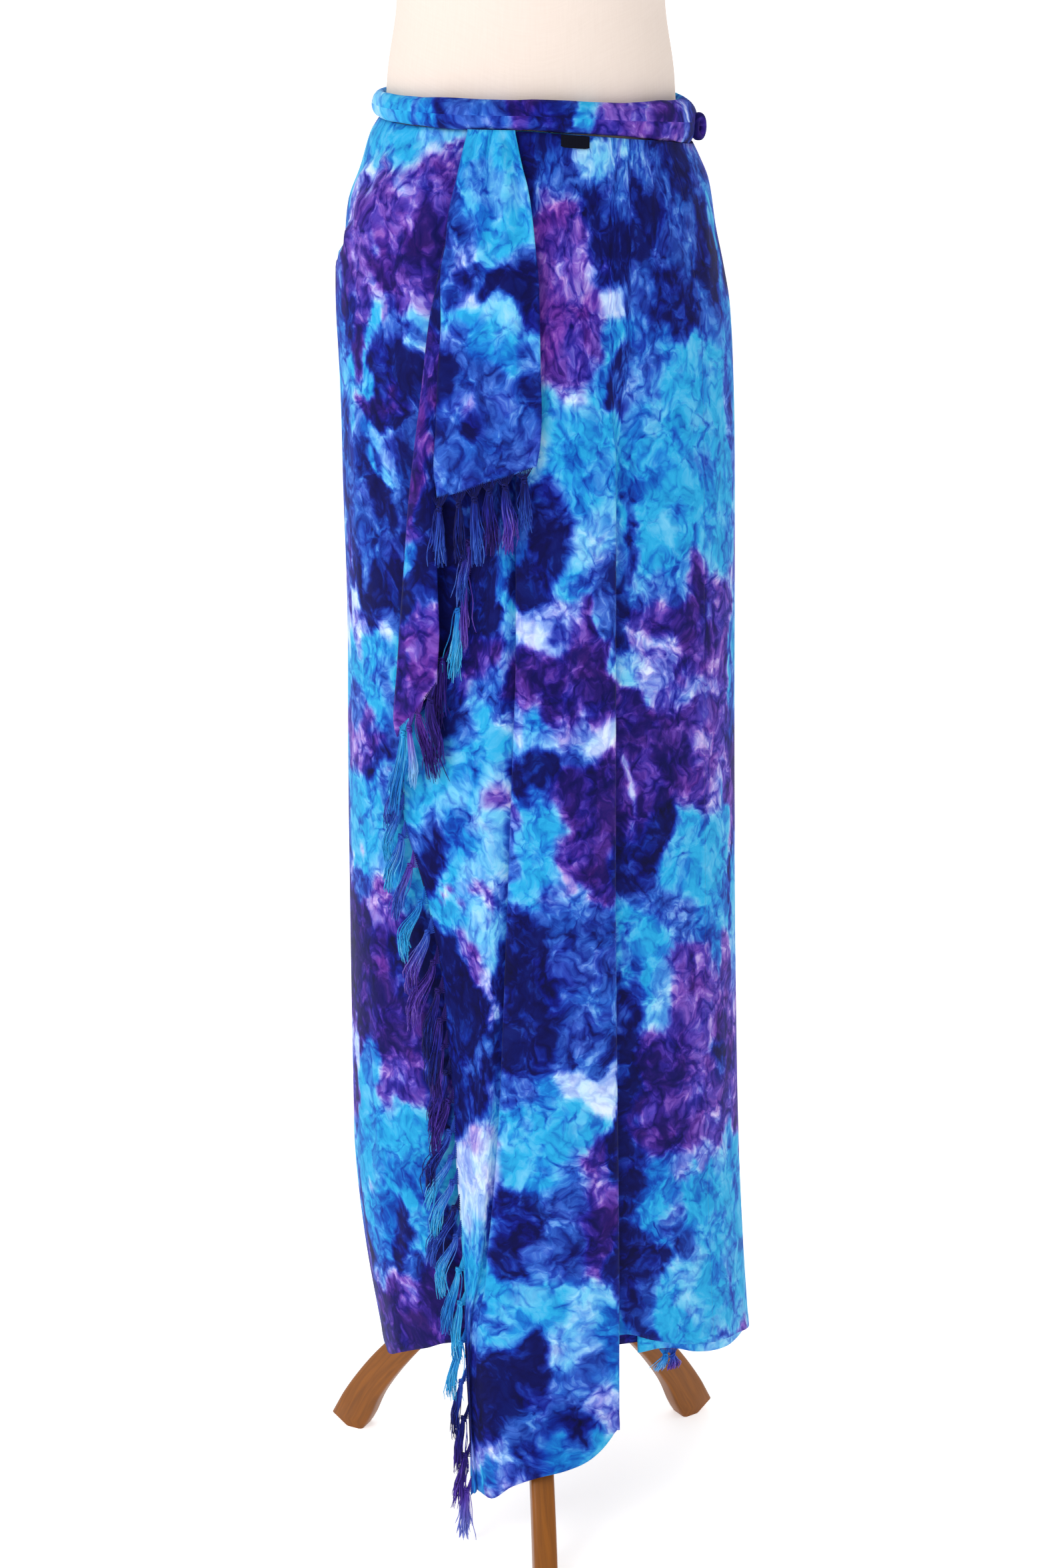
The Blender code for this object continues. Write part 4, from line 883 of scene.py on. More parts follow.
def scatter(seed: int, angles: tuple[float, float]) -> list[Pour]:
    """Pours over a side that the photograph doesn't show, of the sizes that it shows elsewhere.

    Args:
        seed: of their sizes and places.
        angles: where they start and stop.

    Returns:
        The pours, by angle and height.
    """
    draw = random.Random(seed)
    choices = [
        Dye.TURQUOISE, Dye.TURQUOISE, Dye.AZURE, Dye.NAVY, Dye.NAVY, Dye.PURPLE, Dye.ROYAL, Dye.VIOLET,
        Dye.PALE, Dye.WHITE, Dye.MAGENTA, Dye.LAVENDER,
    ]
    found = []
    z, row = SCATTER_HEIGHTS[0], 0
    while z < SCATTER_HEIGHTS[1]:
        angle = angles[0] + SCATTER_SHIFT * (row % 2)
        while angle < angles[1]:
            dye = draw.choice(choices)
            small = dye in (Dye.WHITE, Dye.PALE, Dye.LAVENDER)
            wide = draw.uniform(28, 42) if small else draw.uniform(45, 80)
            place = angle + draw.uniform(-7, 7), z + draw.uniform(-0.03, 0.03)
            found.append(Pour(*place, wide, wide * draw.uniform(0.9, 2.0), dye, draw.uniform(-25, 25)))
            angle += SCATTER_STEP
        z += SCATTER_RISE
        row += 1
    return found


def feed(tree: Tree, node: bpy.types.Node, inputs: dict) -> None:
    """Give a node's inputs, by name or number, their values or the sockets that feed them.

    Args:
        tree: the node tree.
        node: the node.
        inputs: for each input, a value or a socket.
    """
    for key, value in inputs.items():
        if isinstance(value, Socket):
            tree.links.new(value, node.inputs[key])
        else:
            node.inputs[key].default_value = value


def add(tree: Tree, kind: str, inputs: dict | None = None, **settings: object) -> bpy.types.Node:
    """Add one node with its settings and its links.

    Args:
        tree: the node tree.
        kind: the node's type, without the words that every shader node's type starts with.
        inputs: for each input, by name or number, a value or the socket that feeds it.
        settings: the node's own properties.

    Returns:
        The node.
    """
    made = tree.nodes.new("ShaderNode" + kind)
    for name, value in settings.items():
        setattr(made, name, value)
    feed(tree, made, inputs or {})
    return made


def new_material(name: str) -> tuple[Material, Tree, bpy.types.Node]:
    """An empty material, its tree and its surface shader.

    Args:
        name: the material's name.

    Returns:
        The material, its tree and its shader.
    """
    made = bpy.data.materials.new(name)
    made.use_nodes = True
    return made, made.node_tree, made.node_tree.nodes["Principled BSDF"]


def dye_fields(tree: Tree) -> list[Socket]:
    """Strengths of the four dyes, from the mesh's own attribute.

    Args:
        tree: the node tree.

    Returns:
        A socket for each dye.
    """
    dye = add(tree, "Attribute", attribute_name="dye")
    parts = add(tree, "SeparateColor", {0: dye.outputs["Color"]})
    return [*parts.outputs[:3], dye.outputs["Alpha"]]


@dataclass(frozen=True)
class DyeRamp:
    """How one dye colours white cloth as it gets stronger, as strengths and sRGB values."""

    stops: tuple[tuple[float, str], ...]

    def wash(self, tree: Tree, strength: Socket, under: object) -> Socket:
        """Lay this dye over a colour, as dyes take light away from each other.

        Args:
            tree: the node tree.
            strength: the dye's strength.
            under: the colour it is laid over.

        Returns:
            The socket of the new colour.
        """
        shade = add(tree, "ValToRGB", {"Fac": strength})
        shade.color_ramp.elements[0].position = self.stops[0][0]
        shade.color_ramp.elements[1].position = self.stops[-1][0]
        for place, _ in self.stops[1:-1]:
            shade.color_ramp.elements.new(place)
        for stop, (_, code) in zip(shade.color_ramp.elements, self.stops):
            stop.color = linear(code)
        both = add(tree, "Mix", {0: 1.0, 6: under, 7: shade.outputs["Color"]}, data_type="RGBA",
                   blend_type="MULTIPLY")
        return both.outputs[2]


# Turquoise, blue, purple and magenta, in the order of a pour's strengths
RAMPS = (
    DyeRamp(((0.0, "#FFFFFF"), (0.22, "#C8EBF5"), (0.50, "#78D0EA"), (0.78, "#2CB2DC"), (1.0, "#0E8FC6"))),
    DyeRamp(((0.0, "#FFFFFF"), (0.25, "#B4C6F2"), (0.52, "#5A7BD2"), (0.78, "#2B48A4"), (1.0, "#141E6C"))),
    DyeRamp(((0.0, "#FFFFFF"), (0.25, "#D2C0EC"), (0.52, "#8C62C4"), (0.78, "#583096"), (1.0, "#35186C"))),
    DyeRamp(((0.0, "#FFFFFF"), (0.5, "#E2A8DC"), (1.0, "#B663B8"))),
)
BARE_CLOTH = "#EAECFB"


@dataclass(frozen=True)
class DyedRayon:
    """Thin plain-weave rayon, ice-dyed: matt, with feathered patches, petals and veins of dye."""

    name: str = "ice_dyed_plain_weave_rayon"
    roughness: float = 0.78
    sheen: float = 0.04
    sheen_roughness: float = 0.45
    shine: float = 0.12
    bends: tuple = ((0.030, 0.030), (0.0075, 0.008))    # size and reach of the two bends of every pattern
    blot: float = 0.026            # patches break up into blots of this size
    petal: float = 0.017           # spacing of the dark rims round the petals that melted ice leaves
    rims: tuple = (0.13, 0.16)     # width of the rims of large and small petals
    small: float = 0.45            # size of a small petal, as a share of a large one
    streak: float = 0.0032         # width of the streaks where dye ran down
    vein: float = 0.050            # spacing of the branching veins
    grain: float = 0.0011          # spacing of the weave: 0.3 mm on the cloth, drawn coarser so it shows
    crumple: float = 0.022         # size of the soft dents
    bump: float = 0.25
    # For each dye: how much blots, petals, streaks and veins move it, then where it starts and is full
    moves: tuple = (
        ((0.40, 0.09, 0.03, 0.05), -0.06, 0.98), ((0.64, 0.16, 0.04, 0.24), 0.04, 0.92),
        ((0.56, 0.16, 0.04, 0.08), 0.05, 0.94), ((0.50, 0.10, 0.03, 0.00), 0.06, 0.95),
    )

    def bent(self, tree: Tree, place: object, size: float, reach: float) -> Socket:
        """Push places about, so that the shapes drawn there get feathered, wandering edges.

        Args:
            tree: the node tree.
            place: the socket of the places.
            size: of the bends, in metres.
            reach: how far they push, in metres.

        Returns:
            The socket of the pushed places.
        """
        push = add(tree, "TexNoise", {"Vector": place, "Scale": 1 / size, "Detail": 3.0})
        centred = add(tree, "VectorMath", {0: push.outputs["Color"], 1: (0.5, 0.5, 0.5)},
                      operation="SUBTRACT").outputs[0]
        moved = {0: centred, 1: (reach, reach, 0.0), 2: place}
        return add(tree, "VectorMath", moved, operation="MULTIPLY_ADD").outputs[0]

    @staticmethod
    def spread(tree: Tree, value: object, low: float, high: float) -> Socket:
        """Stretch a pattern's values between low and high to -0.5 and 0.5."""
        return add(tree, "MapRange", {0: value, 1: low, 2: high, 3: -0.5, 4: 0.5}).outputs[0]

    @staticmethod
    def ridges(tree: Tree, place: object, size: float, wide: float) -> Socket:
        """Thin wandering lines round rounded shapes: 1 on a line, falling off to 0 inside the shapes.

        Args:
            tree: the node tree.
            place: the socket of the places.
            size: of the shapes, in metres.
            wide: width of the lines, in the noise's own values.

        Returns:
            The socket of the lines.
        """
        shape = add(tree, "TexNoise", {"Vector": place, "Scale": 1 / size, "Detail": 1.0})
        value = add(tree, "Math", {0: shape.outputs["Fac"], 1: 0.5}, operation="SUBTRACT").outputs[0]
        value = add(tree, "Math", {0: value}, operation="ABSOLUTE").outputs[0]
        return add(tree, "MapRange", {0: value, 1: 0.0, 2: wide, 3: 1.0, 4: 0.0}).outputs[0]

    def patterns(self, tree: Tree) -> tuple[list, object, object, object]:
        """The marks that melting ice leaves: a field of blots for each dye, petals, streaks and veins.

        Args:
            tree: the node tree.

        Returns:
            The four blots, the petals, the streaks and the veins.
        """
        place = add(tree, "UVMap", uv_map="cloth").outputs[0]
        tall = add(tree, "VectorMath", {0: place, 1: (1.0, 0.80, 1.0)}, operation="MULTIPLY").outputs[0]
        once = self.bent(tree, tall, *self.bends[0])
        twice = self.bent(tree, once, *self.bends[1])
        blots = []
        for shift in range(4):
            moved = add(tree, "VectorMath", {0: twice, 1: (3.7 * shift, 1.9 * shift, 0.0)}).outputs[0]
            blot = add(tree, "TexNoise", {
                "Vector": moved, "Scale": 1 / self.blot, "Detail": 6.0, "Roughness": 0.64,
                "Distortion": 0.3,
            })
            blots.append(self.spread(tree, blot.outputs["Fac"], 0.31, 0.69))
        wide = self.spread(tree, self.ridges(tree, once, self.petal, self.rims[0]), 0.0, 1.0)
        fine = self.spread(tree, self.ridges(tree, twice, self.petal * self.small, self.rims[1]), 0.0, 1.0)
        petals = add(tree, "Math", {0: fine, 1: 0.6, 2: wide}, operation="MULTIPLY_ADD").outputs[0]
        run = add(tree, "VectorMath", {0: once, 1: (1.0, 0.20, 1.0)}, operation="MULTIPLY").outputs[0]
        streaks = add(tree, "TexNoise", {"Vector": run, "Scale": 1 / self.streak, "Detail": 3.0})
        streaks = self.spread(tree, streaks.outputs["Fac"], 0.28, 0.72)
        veins = self.ridges(tree, once, self.vein, 0.020)
        # Veins show in some places only
        patchy = add(tree, "MapRange", {0: blots[3], 1: -0.05, 2: 0.30}).outputs[0]
        veins = add(tree, "Math", {0: veins, 1: patchy}, operation="MULTIPLY").outputs[0]
        return blots, petals, streaks, veins

    def strengths(self, tree: Tree) -> list[Socket]:
        """Strength of each of the four dyes at a point, broken up as melting ice leaves it.

        Args:
            tree: the node tree.

        Returns:
            A socket for each dye.
        """
        blots, petals, streaks, veins = self.patterns(tree)
        fields = dye_fields(tree)
        # Bare and pale cloth stays smooth: the patterns move a dye less where there is little of it
        total = add(tree, "Math", {0: fields[0], 1: fields[1]}).outputs[0]
        total = add(tree, "Math", {0: total, 1: fields[2]}).outputs[0]
        rich = add(tree, "MapRange", {0: total, 1: 0.30, 2: 0.78, 3: 0.42, 4: 1.06}).outputs[0]
        found = []
        for value, blot, (amounts, start, full) in zip(fields, blots, self.moves):
            shift: object = 0.0
            for source, amount in zip((blot, petals, streaks, veins), amounts):
                if amount:
                    shift = add(tree, "Math", {0: source, 1: amount, 2: shift},
                                operation="MULTIPLY_ADD").outputs[0]
            moved = {0: shift, 1: rich, 2: value}
            value = add(tree, "Math", moved, operation="MULTIPLY_ADD").outputs[0]
            found.append(add(tree, "MapRange", {0: value, 1: start, 2: full}).outputs[0])
        return found

    def build(self) -> Material:
        """The material, with its dyes, its weave and its soft crumple.

        Returns:
            The material.
        """
        made, tree, shader = new_material(self.name)
        colour: object = linear(BARE_CLOTH)
        for washed, strength in zip(RAMPS, self.strengths(tree)):
            colour = washed.wash(tree, strength, colour)
        place = add(tree, "UVMap", uv_map="cloth").outputs[0]
        weave = add(tree, "TexNoise", {"Vector": place, "Scale": 1 / self.grain, "Detail": 1.0})
        dents = add(tree, "TexNoise", {
            "Vector": place, "Scale": 1 / self.crumple, "Detail": 3.0, "Roughness": 0.5,
        })
        soft = add(tree, "Bump", {
            "Strength": self.bump, "Distance": 0.0035, "Height": dents.outputs["Fac"],
        })
        fine = add(tree, "Bump", {
            "Strength": self.bump, "Distance": 0.0002, "Height": weave.outputs["Fac"],
            "Normal": soft.outputs[0],
        })
        feed(tree, shader, {
            "Base Color": colour, "Normal": fine.outputs[0], "Roughness": self.roughness,
            "Sheen Weight": self.sheen, "Sheen Roughness": self.sheen_roughness,
            "Specular IOR Level": self.shine,
        })
        return made


@dataclass(frozen=True)
class RayonThread:
    """Twisted rayon warp threads of the fringe: soft sheen, and painted highlights and shade on single
    strands, made by thinning and thickening their dye.
    """

    name: str = "twisted_rayon_thread"
    roughness: float = 0.60
    sheen: float = 0.04
    shine: float = 0.15
    strand_light_spacing: float = 0.0012         # painted highlights and shade on strands, at this spacing across a tassel
    painted_strand_light: tuple = (1.1, 1.12)     # how strongly the painted strand highlights and shade move the dye, and how much dye the strands have

    def build(self) -> Material:
        """The material, which takes its dye from the threads' own attribute.

        Returns:
            The material.
        """
        made, tree, shader = new_material(self.name)
        # Noise along the strands thins and thickens their dye: painted highlights and shade on single
        # strands.
        spot = add(tree, "TexCoord").outputs["Object"]
        run = add(tree, "VectorMath", {0: spot, 1: (1.0, 1.0, 0.10)}, operation="MULTIPLY").outputs[0]
        strands = add(tree, "TexNoise", {"Vector": run, "Scale": 1 / self.strand_light_spacing, "Detail": 2.0})
        centred = add(tree, "Math", {0: strands.outputs["Fac"], 1: 0.5}, operation="SUBTRACT").outputs[0]
        moved = {0: centred, 1: self.painted_strand_light[0], 2: self.painted_strand_light[1]}
        moved = add(tree, "Math", moved, operation="MULTIPLY_ADD").outputs[0]
        colour: object = linear(BARE_CLOTH)
        for washed, value in zip(RAMPS, dye_fields(tree)):
            value = add(tree, "Math", {0: value, 1: moved}, operation="MULTIPLY").outputs[0]
            colour = washed.wash(tree, value, colour)
        feed(tree, shader, {
            "Base Color": colour, "Roughness": self.roughness, "Sheen Weight": self.sheen,
            "Specular IOR Level": self.shine,
        })
        return made


@dataclass(frozen=True)
class LinenCover:
    """Cream linen stretched over the form: matt, with a fine slubby plain weave."""

    name: str = "stretched_linen"
    colour: str = "#EBDDD3"
    shade: str = "#E2D2C7"
    roughness: float = 0.85
    shine: float = 0.2
    thread: float = 0.0014         # 0.6 mm threads, drawn coarser so that they show

    def build(self) -> Material:
        """The material, with warp and weft drawn on the cover's own map.

        Returns:
            The material.
        """
        made, tree, shader = new_material(self.name)
        place = add(tree, "UVMap", uv_map="cloth").outputs[0]
        heights = []
        for stretch in ((1.0, 0.06, 1.0), (0.06, 1.0, 1.0)):
            run = add(tree, "VectorMath", {0: place, 1: stretch}, operation="MULTIPLY").outputs[0]
            threads = add(tree, "TexNoise", {"Vector": run, "Scale": 1 / self.thread, "Detail": 1.0})
            heights.append(threads.outputs["Fac"])
        weave = add(tree, "Math", {0: heights[0], 1: heights[1]}, operation="ADD").outputs[0]
        half = add(tree, "Math", {0: weave, 1: 0.5}, operation="MULTIPLY").outputs[0]
        tones = {0: half, 6: linear(self.shade), 7: linear(self.colour)}
        tone = add(tree, "Mix", tones, data_type="RGBA").outputs[2]
        bump = add(tree, "Bump", {"Strength": 0.4, "Distance": 0.0003, "Height": weave}).outputs[0]
        feed(tree, shader, {
            "Base Color": tone, "Normal": bump, "Roughness": self.roughness,
            "Specular IOR Level": self.shine,
        })
        return made


@dataclass(frozen=True)
class StainedHardwood:
    """Turned and sawn hardwood, stained warm brown under a satin varnish: grain with soft gloss."""

    name: str = "stained_varnished_hardwood"
    light: str = "#905208"
    dark: str = "#7A4406"
    ring: float = 0.0035           # width of a grain line
    pore: float = 0.0007
    shine: float = 0.3
    coat: float = 0.08
    coat_roughness: float = 0.3

    def build(self) -> Material:
        """The material, with its grain along the piece's own map.

        Returns:
            The material.
        """
        made, tree, shader = new_material(self.name)
        place = add(tree, "UVMap", uv_map="grain").outputs[0]
        run = add(tree, "VectorMath", {0: place, 1: (1.0, 0.06, 1.0)}, operation="MULTIPLY").outputs[0]
        lines = add(tree, "TexNoise", {
            "Vector": run, "Scale": 1 / self.ring, "Detail": 4.0, "Distortion": 0.8,
        }).outputs["Fac"]
        pores = add(tree, "TexNoise", {
            "Vector": run, "Scale": 1 / self.pore, "Detail": 1.0,
        }).outputs["Fac"]
        spread = add(tree, "MapRange", {0: lines, 1: 0.32, 2: 0.68}).outputs[0]
        tones = {0: spread, 6: linear(self.dark), 7: linear(self.light)}
        tone = add(tree, "Mix", tones, data_type="RGBA").outputs[2]
        rough = add(tree, "MapRange", {0: pores, 3: 0.34, 4: 0.52}).outputs[0]
        bump = add(tree, "Bump", {"Strength": 0.3, "Distance": 0.0002, "Height": pores}).outputs[0]
        feed(tree, shader, {
            "Base Color": tone, "Roughness": rough, "Normal": bump, "Coat Weight": self.coat,
            "Specular IOR Level": self.shine, "Coat Roughness": self.coat_roughness,
        })
        return made


@dataclass(frozen=True)
class WovenRibbon:
    """Near-black navy polyester ribbon with fine cross ribs, left bare."""

    name: str = "ribbed_polyester_ribbon"
    dark: str = "#05060F"
    light: str = "#0D0F20"
    rib: float = 0.0010
    roughness: float = 0.75
    shine: float = 0.08

    def build(self) -> Material:
        """The material, ribbed across the ribbon.

        Returns:
            The material.
        """
        made, tree, shader = new_material(self.name)
        place = add(tree, "UVMap", uv_map="cloth").outputs[0]
        ribs = add(tree, "TexWave", {"Vector": place, "Scale": 1 / self.rib / math.tau * 3.0})
        height = ribs.outputs["Fac"]
        tones = {0: height, 6: linear(self.dark), 7: linear(self.light)}
        tone = add(tree, "Mix", tones, data_type="RGBA").outputs[2]
        bump = add(tree, "Bump", {"Strength": 0.5, "Distance": 0.0002, "Height": height}).outputs[0]
        feed(tree, shader, {
            "Base Color": tone, "Normal": bump, "Roughness": self.roughness,
            "Specular IOR Level": self.shine,
        })
        return made


def bend_grid(
    name: str, points: Grid, chart: np.ndarray, finish: Material, dye: np.ndarray | None = None,
    closed: bool = False, hem: np.ndarray | None = None,
) -> Piece:
    """Bend a flat grid to rows of points, and map it.

    Args:
        name: the piece's name.
        points: rows, columns, 3, round the upright axis.
        chart: the same rows and columns on the flat cloth, in metres.
        finish: its material.
        dye: strengths of the four dyes at each point.
        closed: whether its edges meet and are joined.
        hem: which points lie in a rolled hem.

    Returns:
        The piece, with its place in its mesh.
    """
    rows, columns = points.shape[:2]
    bm = bmesh.new()
    bmesh.ops.create_grid(bm, x_segments=columns - 1, y_segments=rows - 1, size=0.5)
    bm.verts.index_update()
    layer = bm.verts.layers.float_color.new("dye") if dye is not None else None
    sides = bm.loops.layers.uv.new("cloth")
    deform = bm.verts.layers.deform.new() if hem is not None else None
    shift = Vector((*STAND_AT, 0.0))
    spots = {}
    for vert in bm.verts:
        i, j = round((0.5 - vert.co.y) * (rows - 1)), round((vert.co.x + 0.5) * (columns - 1))
        spots[vert.index] = (i, j)
        vert.co = Vector(points[i, j]) + shift
        if layer is not None:
            vert[layer] = dye[i, j]
        if deform is not None and hem[i, j] > 0.0:
            vert[deform][0] = float(hem[i, j])
    for face in bm.faces:
        for loop in face.loops:
            loop[sides].uv = chart[spots[loop.vert.index]]
    if closed:
        bmesh.ops.remove_doubles(bm, verts=bm.verts, dist=0.00002)
        bmesh.ops.recalc_face_normals(bm, faces=bm.faces)
    made = to_object(name, bm, finish)
    if hem is not None:
        made.vertex_groups.new(name="hem")
    return made


def to_object(name: str, bm: bmesh.types.BMesh, finish: Material) -> Piece:
    """Turn a finished bmesh into an object of the scene, shaded smooth.

    Args:
        name: the piece's name.
        bm: its faces, which are freed.
        finish: its material.

    Returns:
        The object.
    """
    mesh = bpy.data.meshes.new(name)
    bm.to_mesh(mesh)
    bm.free()
    mesh.shade_smooth()
    mesh.materials.append(finish)
    made = bpy.data.objects.new(name, mesh)
    bpy.context.scene.collection.objects.link(made)
    return made


def lay_flat(points: Grid) -> np.ndarray:
    """Where each point of a hung cloth lies when the cloth is flat, in metres.

    Args:
        points: rows, columns, 3.

    Returns:
        Places as rows, columns, 2.
    """
    middle = points[points.shape[0] // 2]
    across = np.concatenate([[0.0], np.cumsum(np.linalg.norm(np.diff(middle, axis=0), axis=1))])
    chart = np.zeros((*points.shape[:2], 2))
    chart[..., 0] = across[None, :]
    chart[1:, :, 1] = -np.cumsum(np.linalg.norm(np.diff(points, axis=0), axis=2), axis=0)
    return chart


def flat_size(points: Grid) -> tuple[float, float]:
    """Mean width and length of a cloth, measured along it.

    Args:
        points: rows, columns, 3.

    Returns:
        Its width and its length, in metres.
    """
    wide = np.linalg.norm(np.diff(points, axis=1), axis=2).sum(axis=1).mean()
    long = np.linalg.norm(np.diff(points, axis=0), axis=2).sum(axis=0).mean()
    return round(float(wide), 3), round(float(long), 3)


@dataclass
class ClothStretch:
    """One stretch of the dyed cloth that shows: a thin shell on its solid's form.

    Attributes:
        name: the piece's name.
        node: the solid that it stands for.
        points: where it hangs, round the upright axis.
        seen: its dyes, by photograph pixel.
        layer: its layer, for placing the pours.
        hidden: its dyes on sides that the photograph doesn't show.
        laid: the listed folds.
        thick: the cloth's thickness at a hem.
        thin: its thickness elsewhere, as a share of that.
        piece: the finished piece.
    """

    name: str
    node: str
    points: Grid
    seen: Sequence[Pour]
    layer: float
    hidden: Sequence[Pour] = ()
    laid: Sequence[Fold] = ()
    thick: float = 0.0011
    thin: float = 0.4
    piece: Piece = field(init=False)

    def build(self, finish: Material) -> None:
        """Steep the cloth, lay its folds and make its shell.

        Args:
            finish: its material.
        """
        dye = steep(self.points, self.seen, self.layer, self.hidden)
        self.points = lay_folds(self.points, self.laid, self.layer)
        hem = np.zeros(self.points.shape[:2])
        hem[-2:] = 1.0
        self.piece = bend_grid(self.name, self.points, lay_flat(self.points), finish, dye, hem=hem)
        shell = self.piece.modifiers.new("shell", "SOLIDIFY")
        shell.thickness, shell.offset = self.thick, 0.0
        shell.vertex_group, shell.thickness_vertex_group = "hem", self.thin
        shell.use_rim = True

    def declare(self, rests_on: Sequence[str], with_pieces: Sequence[Piece] = ()) -> None:
        """Put it under the root body, hide the solid that it stands for, and log its faces and its cut.

        Args:
            rests_on: the nodes that it lies on; not used.
            with_pieces: the pieces that hang from it; not used.
        """
        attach(self.piece, "root")
        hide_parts(self.node)
        LOG.info("%s: %d faces, cut %s m", self.name, len(self.piece.data.polygons), flat_size(self.points))


# How the dye lies, read off the photograph: across, down, half width and half height in its
# pixels, and where a patch leans, its tilt in degrees
LEFT_POURS = pours({
    Dye.WHITE: [
        (640, 238, 36, 8, 14), (560, 268, 20, 9, 20), (623, 545, 6, 20, 8), (529, 888, 8, 26),
        (579, 945, 8, 17), (537, 1560, 8, 22), (557, 1775, 3, 10),
    ],
    Dye.LAVENDER: [
        (536, 285, 10, 26), (612, 268, 8, 16), (575, 405, 5, 13), (560, 462, 12, 7), (545, 940, 14, 20),
        (524, 1290, 7, 18), (583, 1530, 8, 7),
    ],
    Dye.PINK: [(564, 490, 4, 9), (538, 1252, 6, 9), (568, 1390, 10, 24)],
    Dye.PALE: [
        (672, 205, 26, 16), (612, 482, 28, 15), (604, 536, 8, 18), (640, 500, 8, 30),
        (580, 662, 8, 17, 20), (583, 727, 8, 7), (565, 1300, 18, 20), (641, 1872, 8, 15),
    ],
    Dye.TURQUOISE: [
        (600, 212, 64, 30), (548, 230, 19, 35), (520, 300, 12, 46), (552, 486, 9, 23), (519, 470, 5, 14),
        (530, 574, 15, 37), (553, 574, 14, 23), (528, 640, 5, 19), (565, 712, 5, 9), (540, 985, 26, 28),
        (574, 1000, 21, 39), (545, 1185, 26, 28), (556, 1250, 32, 51), (600, 1700, 51, 46),
        (550, 1715, 28, 53), (626, 1830, 19, 39), (660, 1180, 42, 70),
    ],
    Dye.AZURE: [
        (562, 652, 11, 13), (558, 1062, 16, 27), (600, 1330, 20, 25), (557, 1600, 13, 38),
        (632, 1765, 27, 29), (580, 1770, 16, 27), (567, 1850, 16, 38),
    ],
    Dye.ROYAL: [
        (600, 222, 16, 12), (586, 508, 16, 20), (612, 520, 12, 12), (535, 622, 18, 18),
        (612, 660, 20, 24), (540, 700, 20, 30), (605, 720, 16, 40), (535, 770, 18, 36),
        (560, 810, 28, 30), (590, 925, 10, 16), (535, 1035, 12, 28), (585, 1035, 9, 30),
        (580, 1105, 14, 24), (573, 1196, 9, 12), (545, 1325, 22, 16), (532, 1680, 8, 18),
        (575, 1910, 16, 30), (622, 1905, 18, 22),
    ],
    # The last two navy pours, at 668 and 672 across, lie in the recess: painted shade as well as dark dye
    # on the inner layer.
    Dye.NAVY: [
        (522, 505, 10, 41), (584, 548, 16, 20), (628, 592, 20, 14), (585, 625, 22, 14),
        (558, 730, 14, 23), (590, 760, 13, 13), (585, 850, 23, 31), (530, 845, 9, 18), (560, 900, 20, 16),
        (556, 1152, 16, 11), (620, 1450, 27, 45), (655, 1620, 11, 54), (597, 1850, 9, 45),
        (660, 1850, 13, 45), (668, 900, 36, 108), (672, 1060, 27, 27),
    ],
    Dye.VIOLET: [
        (630, 270, 40, 26), (580, 300, 26, 28), (545, 330, 14, 30), (540, 380, 26, 34),
        (640, 440, 30, 24), (548, 452, 22, 16), (542, 1105, 24, 30), (578, 1350, 18, 24),
        (590, 1395, 14, 16), (582, 1622, 20, 22), (625, 1620, 26, 24), (548, 1880, 10, 40),
        (600, 1945, 40, 22),
    ],
    Dye.PURPLE: [
        (676, 238, 14, 12), (650, 330, 36, 36), (615, 395, 28, 26), (590, 440, 22, 20),
        (516, 420, 10, 50), (540, 530, 12, 20), (560, 605, 40, 12), (530, 1350, 12, 26),
        (560, 1440, 40, 40), (550, 1515, 30, 26), (610, 1540, 34, 26), (532, 1628, 10, 22),
        (600, 1995, 60, 28), (585, 1940, 12, 10), (660, 1960, 24, 50),
    ],
    Dye.MAGENTA: [(585, 350, 16, 26), (582, 1470, 16, 14)],
})
# The recess and the strip beside the crease, from the top down. The navy pours in the recess, down to about
# 1080, are painted shade as well as dye.
STRIP_POURS = pours({
    Dye.WHITE: [(762, 1100, 7, 34), (727, 1466, 9, 10), (714, 1770, 20, 46)],
    Dye.LAVENDER: [(737, 1520, 9, 24)],
    Dye.PINK: [(712, 1720, 16, 18)],
    Dye.PALE: [
        (757, 960, 12, 40), (684, 1205, 11, 34), (742, 1180, 20, 30), (725, 1290, 20, 40),
        (722, 1400, 24, 36),
    ],
    Dye.TURQUOISE: [
        (655, 1160, 30, 51), (672, 1330, 19, 21), (658, 1385, 16, 23), (684, 1395, 9, 30),
        (735, 1120, 23, 58), (712, 1895, 28, 51),
    ],
    Dye.AZURE: [(757, 880, 13, 56), (695, 1140, 16, 38), (698, 1270, 13, 29)],
    Dye.ROYAL: [
        (758, 780, 12, 60), (757, 1020, 12, 40), (700, 1085, 16, 18), (640, 1250, 34, 16),
        (752, 1290, 10, 40), (712, 1590, 14, 30), (703, 1965, 14, 22),
    ],
    # The first eight navy pours lie in the recess: painted shade on top of the dark dye there.
    Dye.NAVY: [
        (690, 760, 36, 60), (730, 790, 14, 60), (722, 860, 20, 50), (665, 860, 20, 80),
        (680, 950, 30, 60), (700, 800, 31, 54), (712, 900, 23, 54), (672, 1075, 25, 20),
        (640, 1300, 27, 23), (660, 1450, 14, 32), (672, 1560, 14, 72), (712, 1520, 20, 31),
        (700, 1660, 23, 36), (735, 1650, 13, 36),
    ],
    Dye.VIOLET: [(676, 1356, 9, 12), (745, 1225, 14, 26), (735, 1345, 9, 12), (710, 1455, 12, 14)],
    Dye.PURPLE: [(700, 1000, 24, 40)],
})
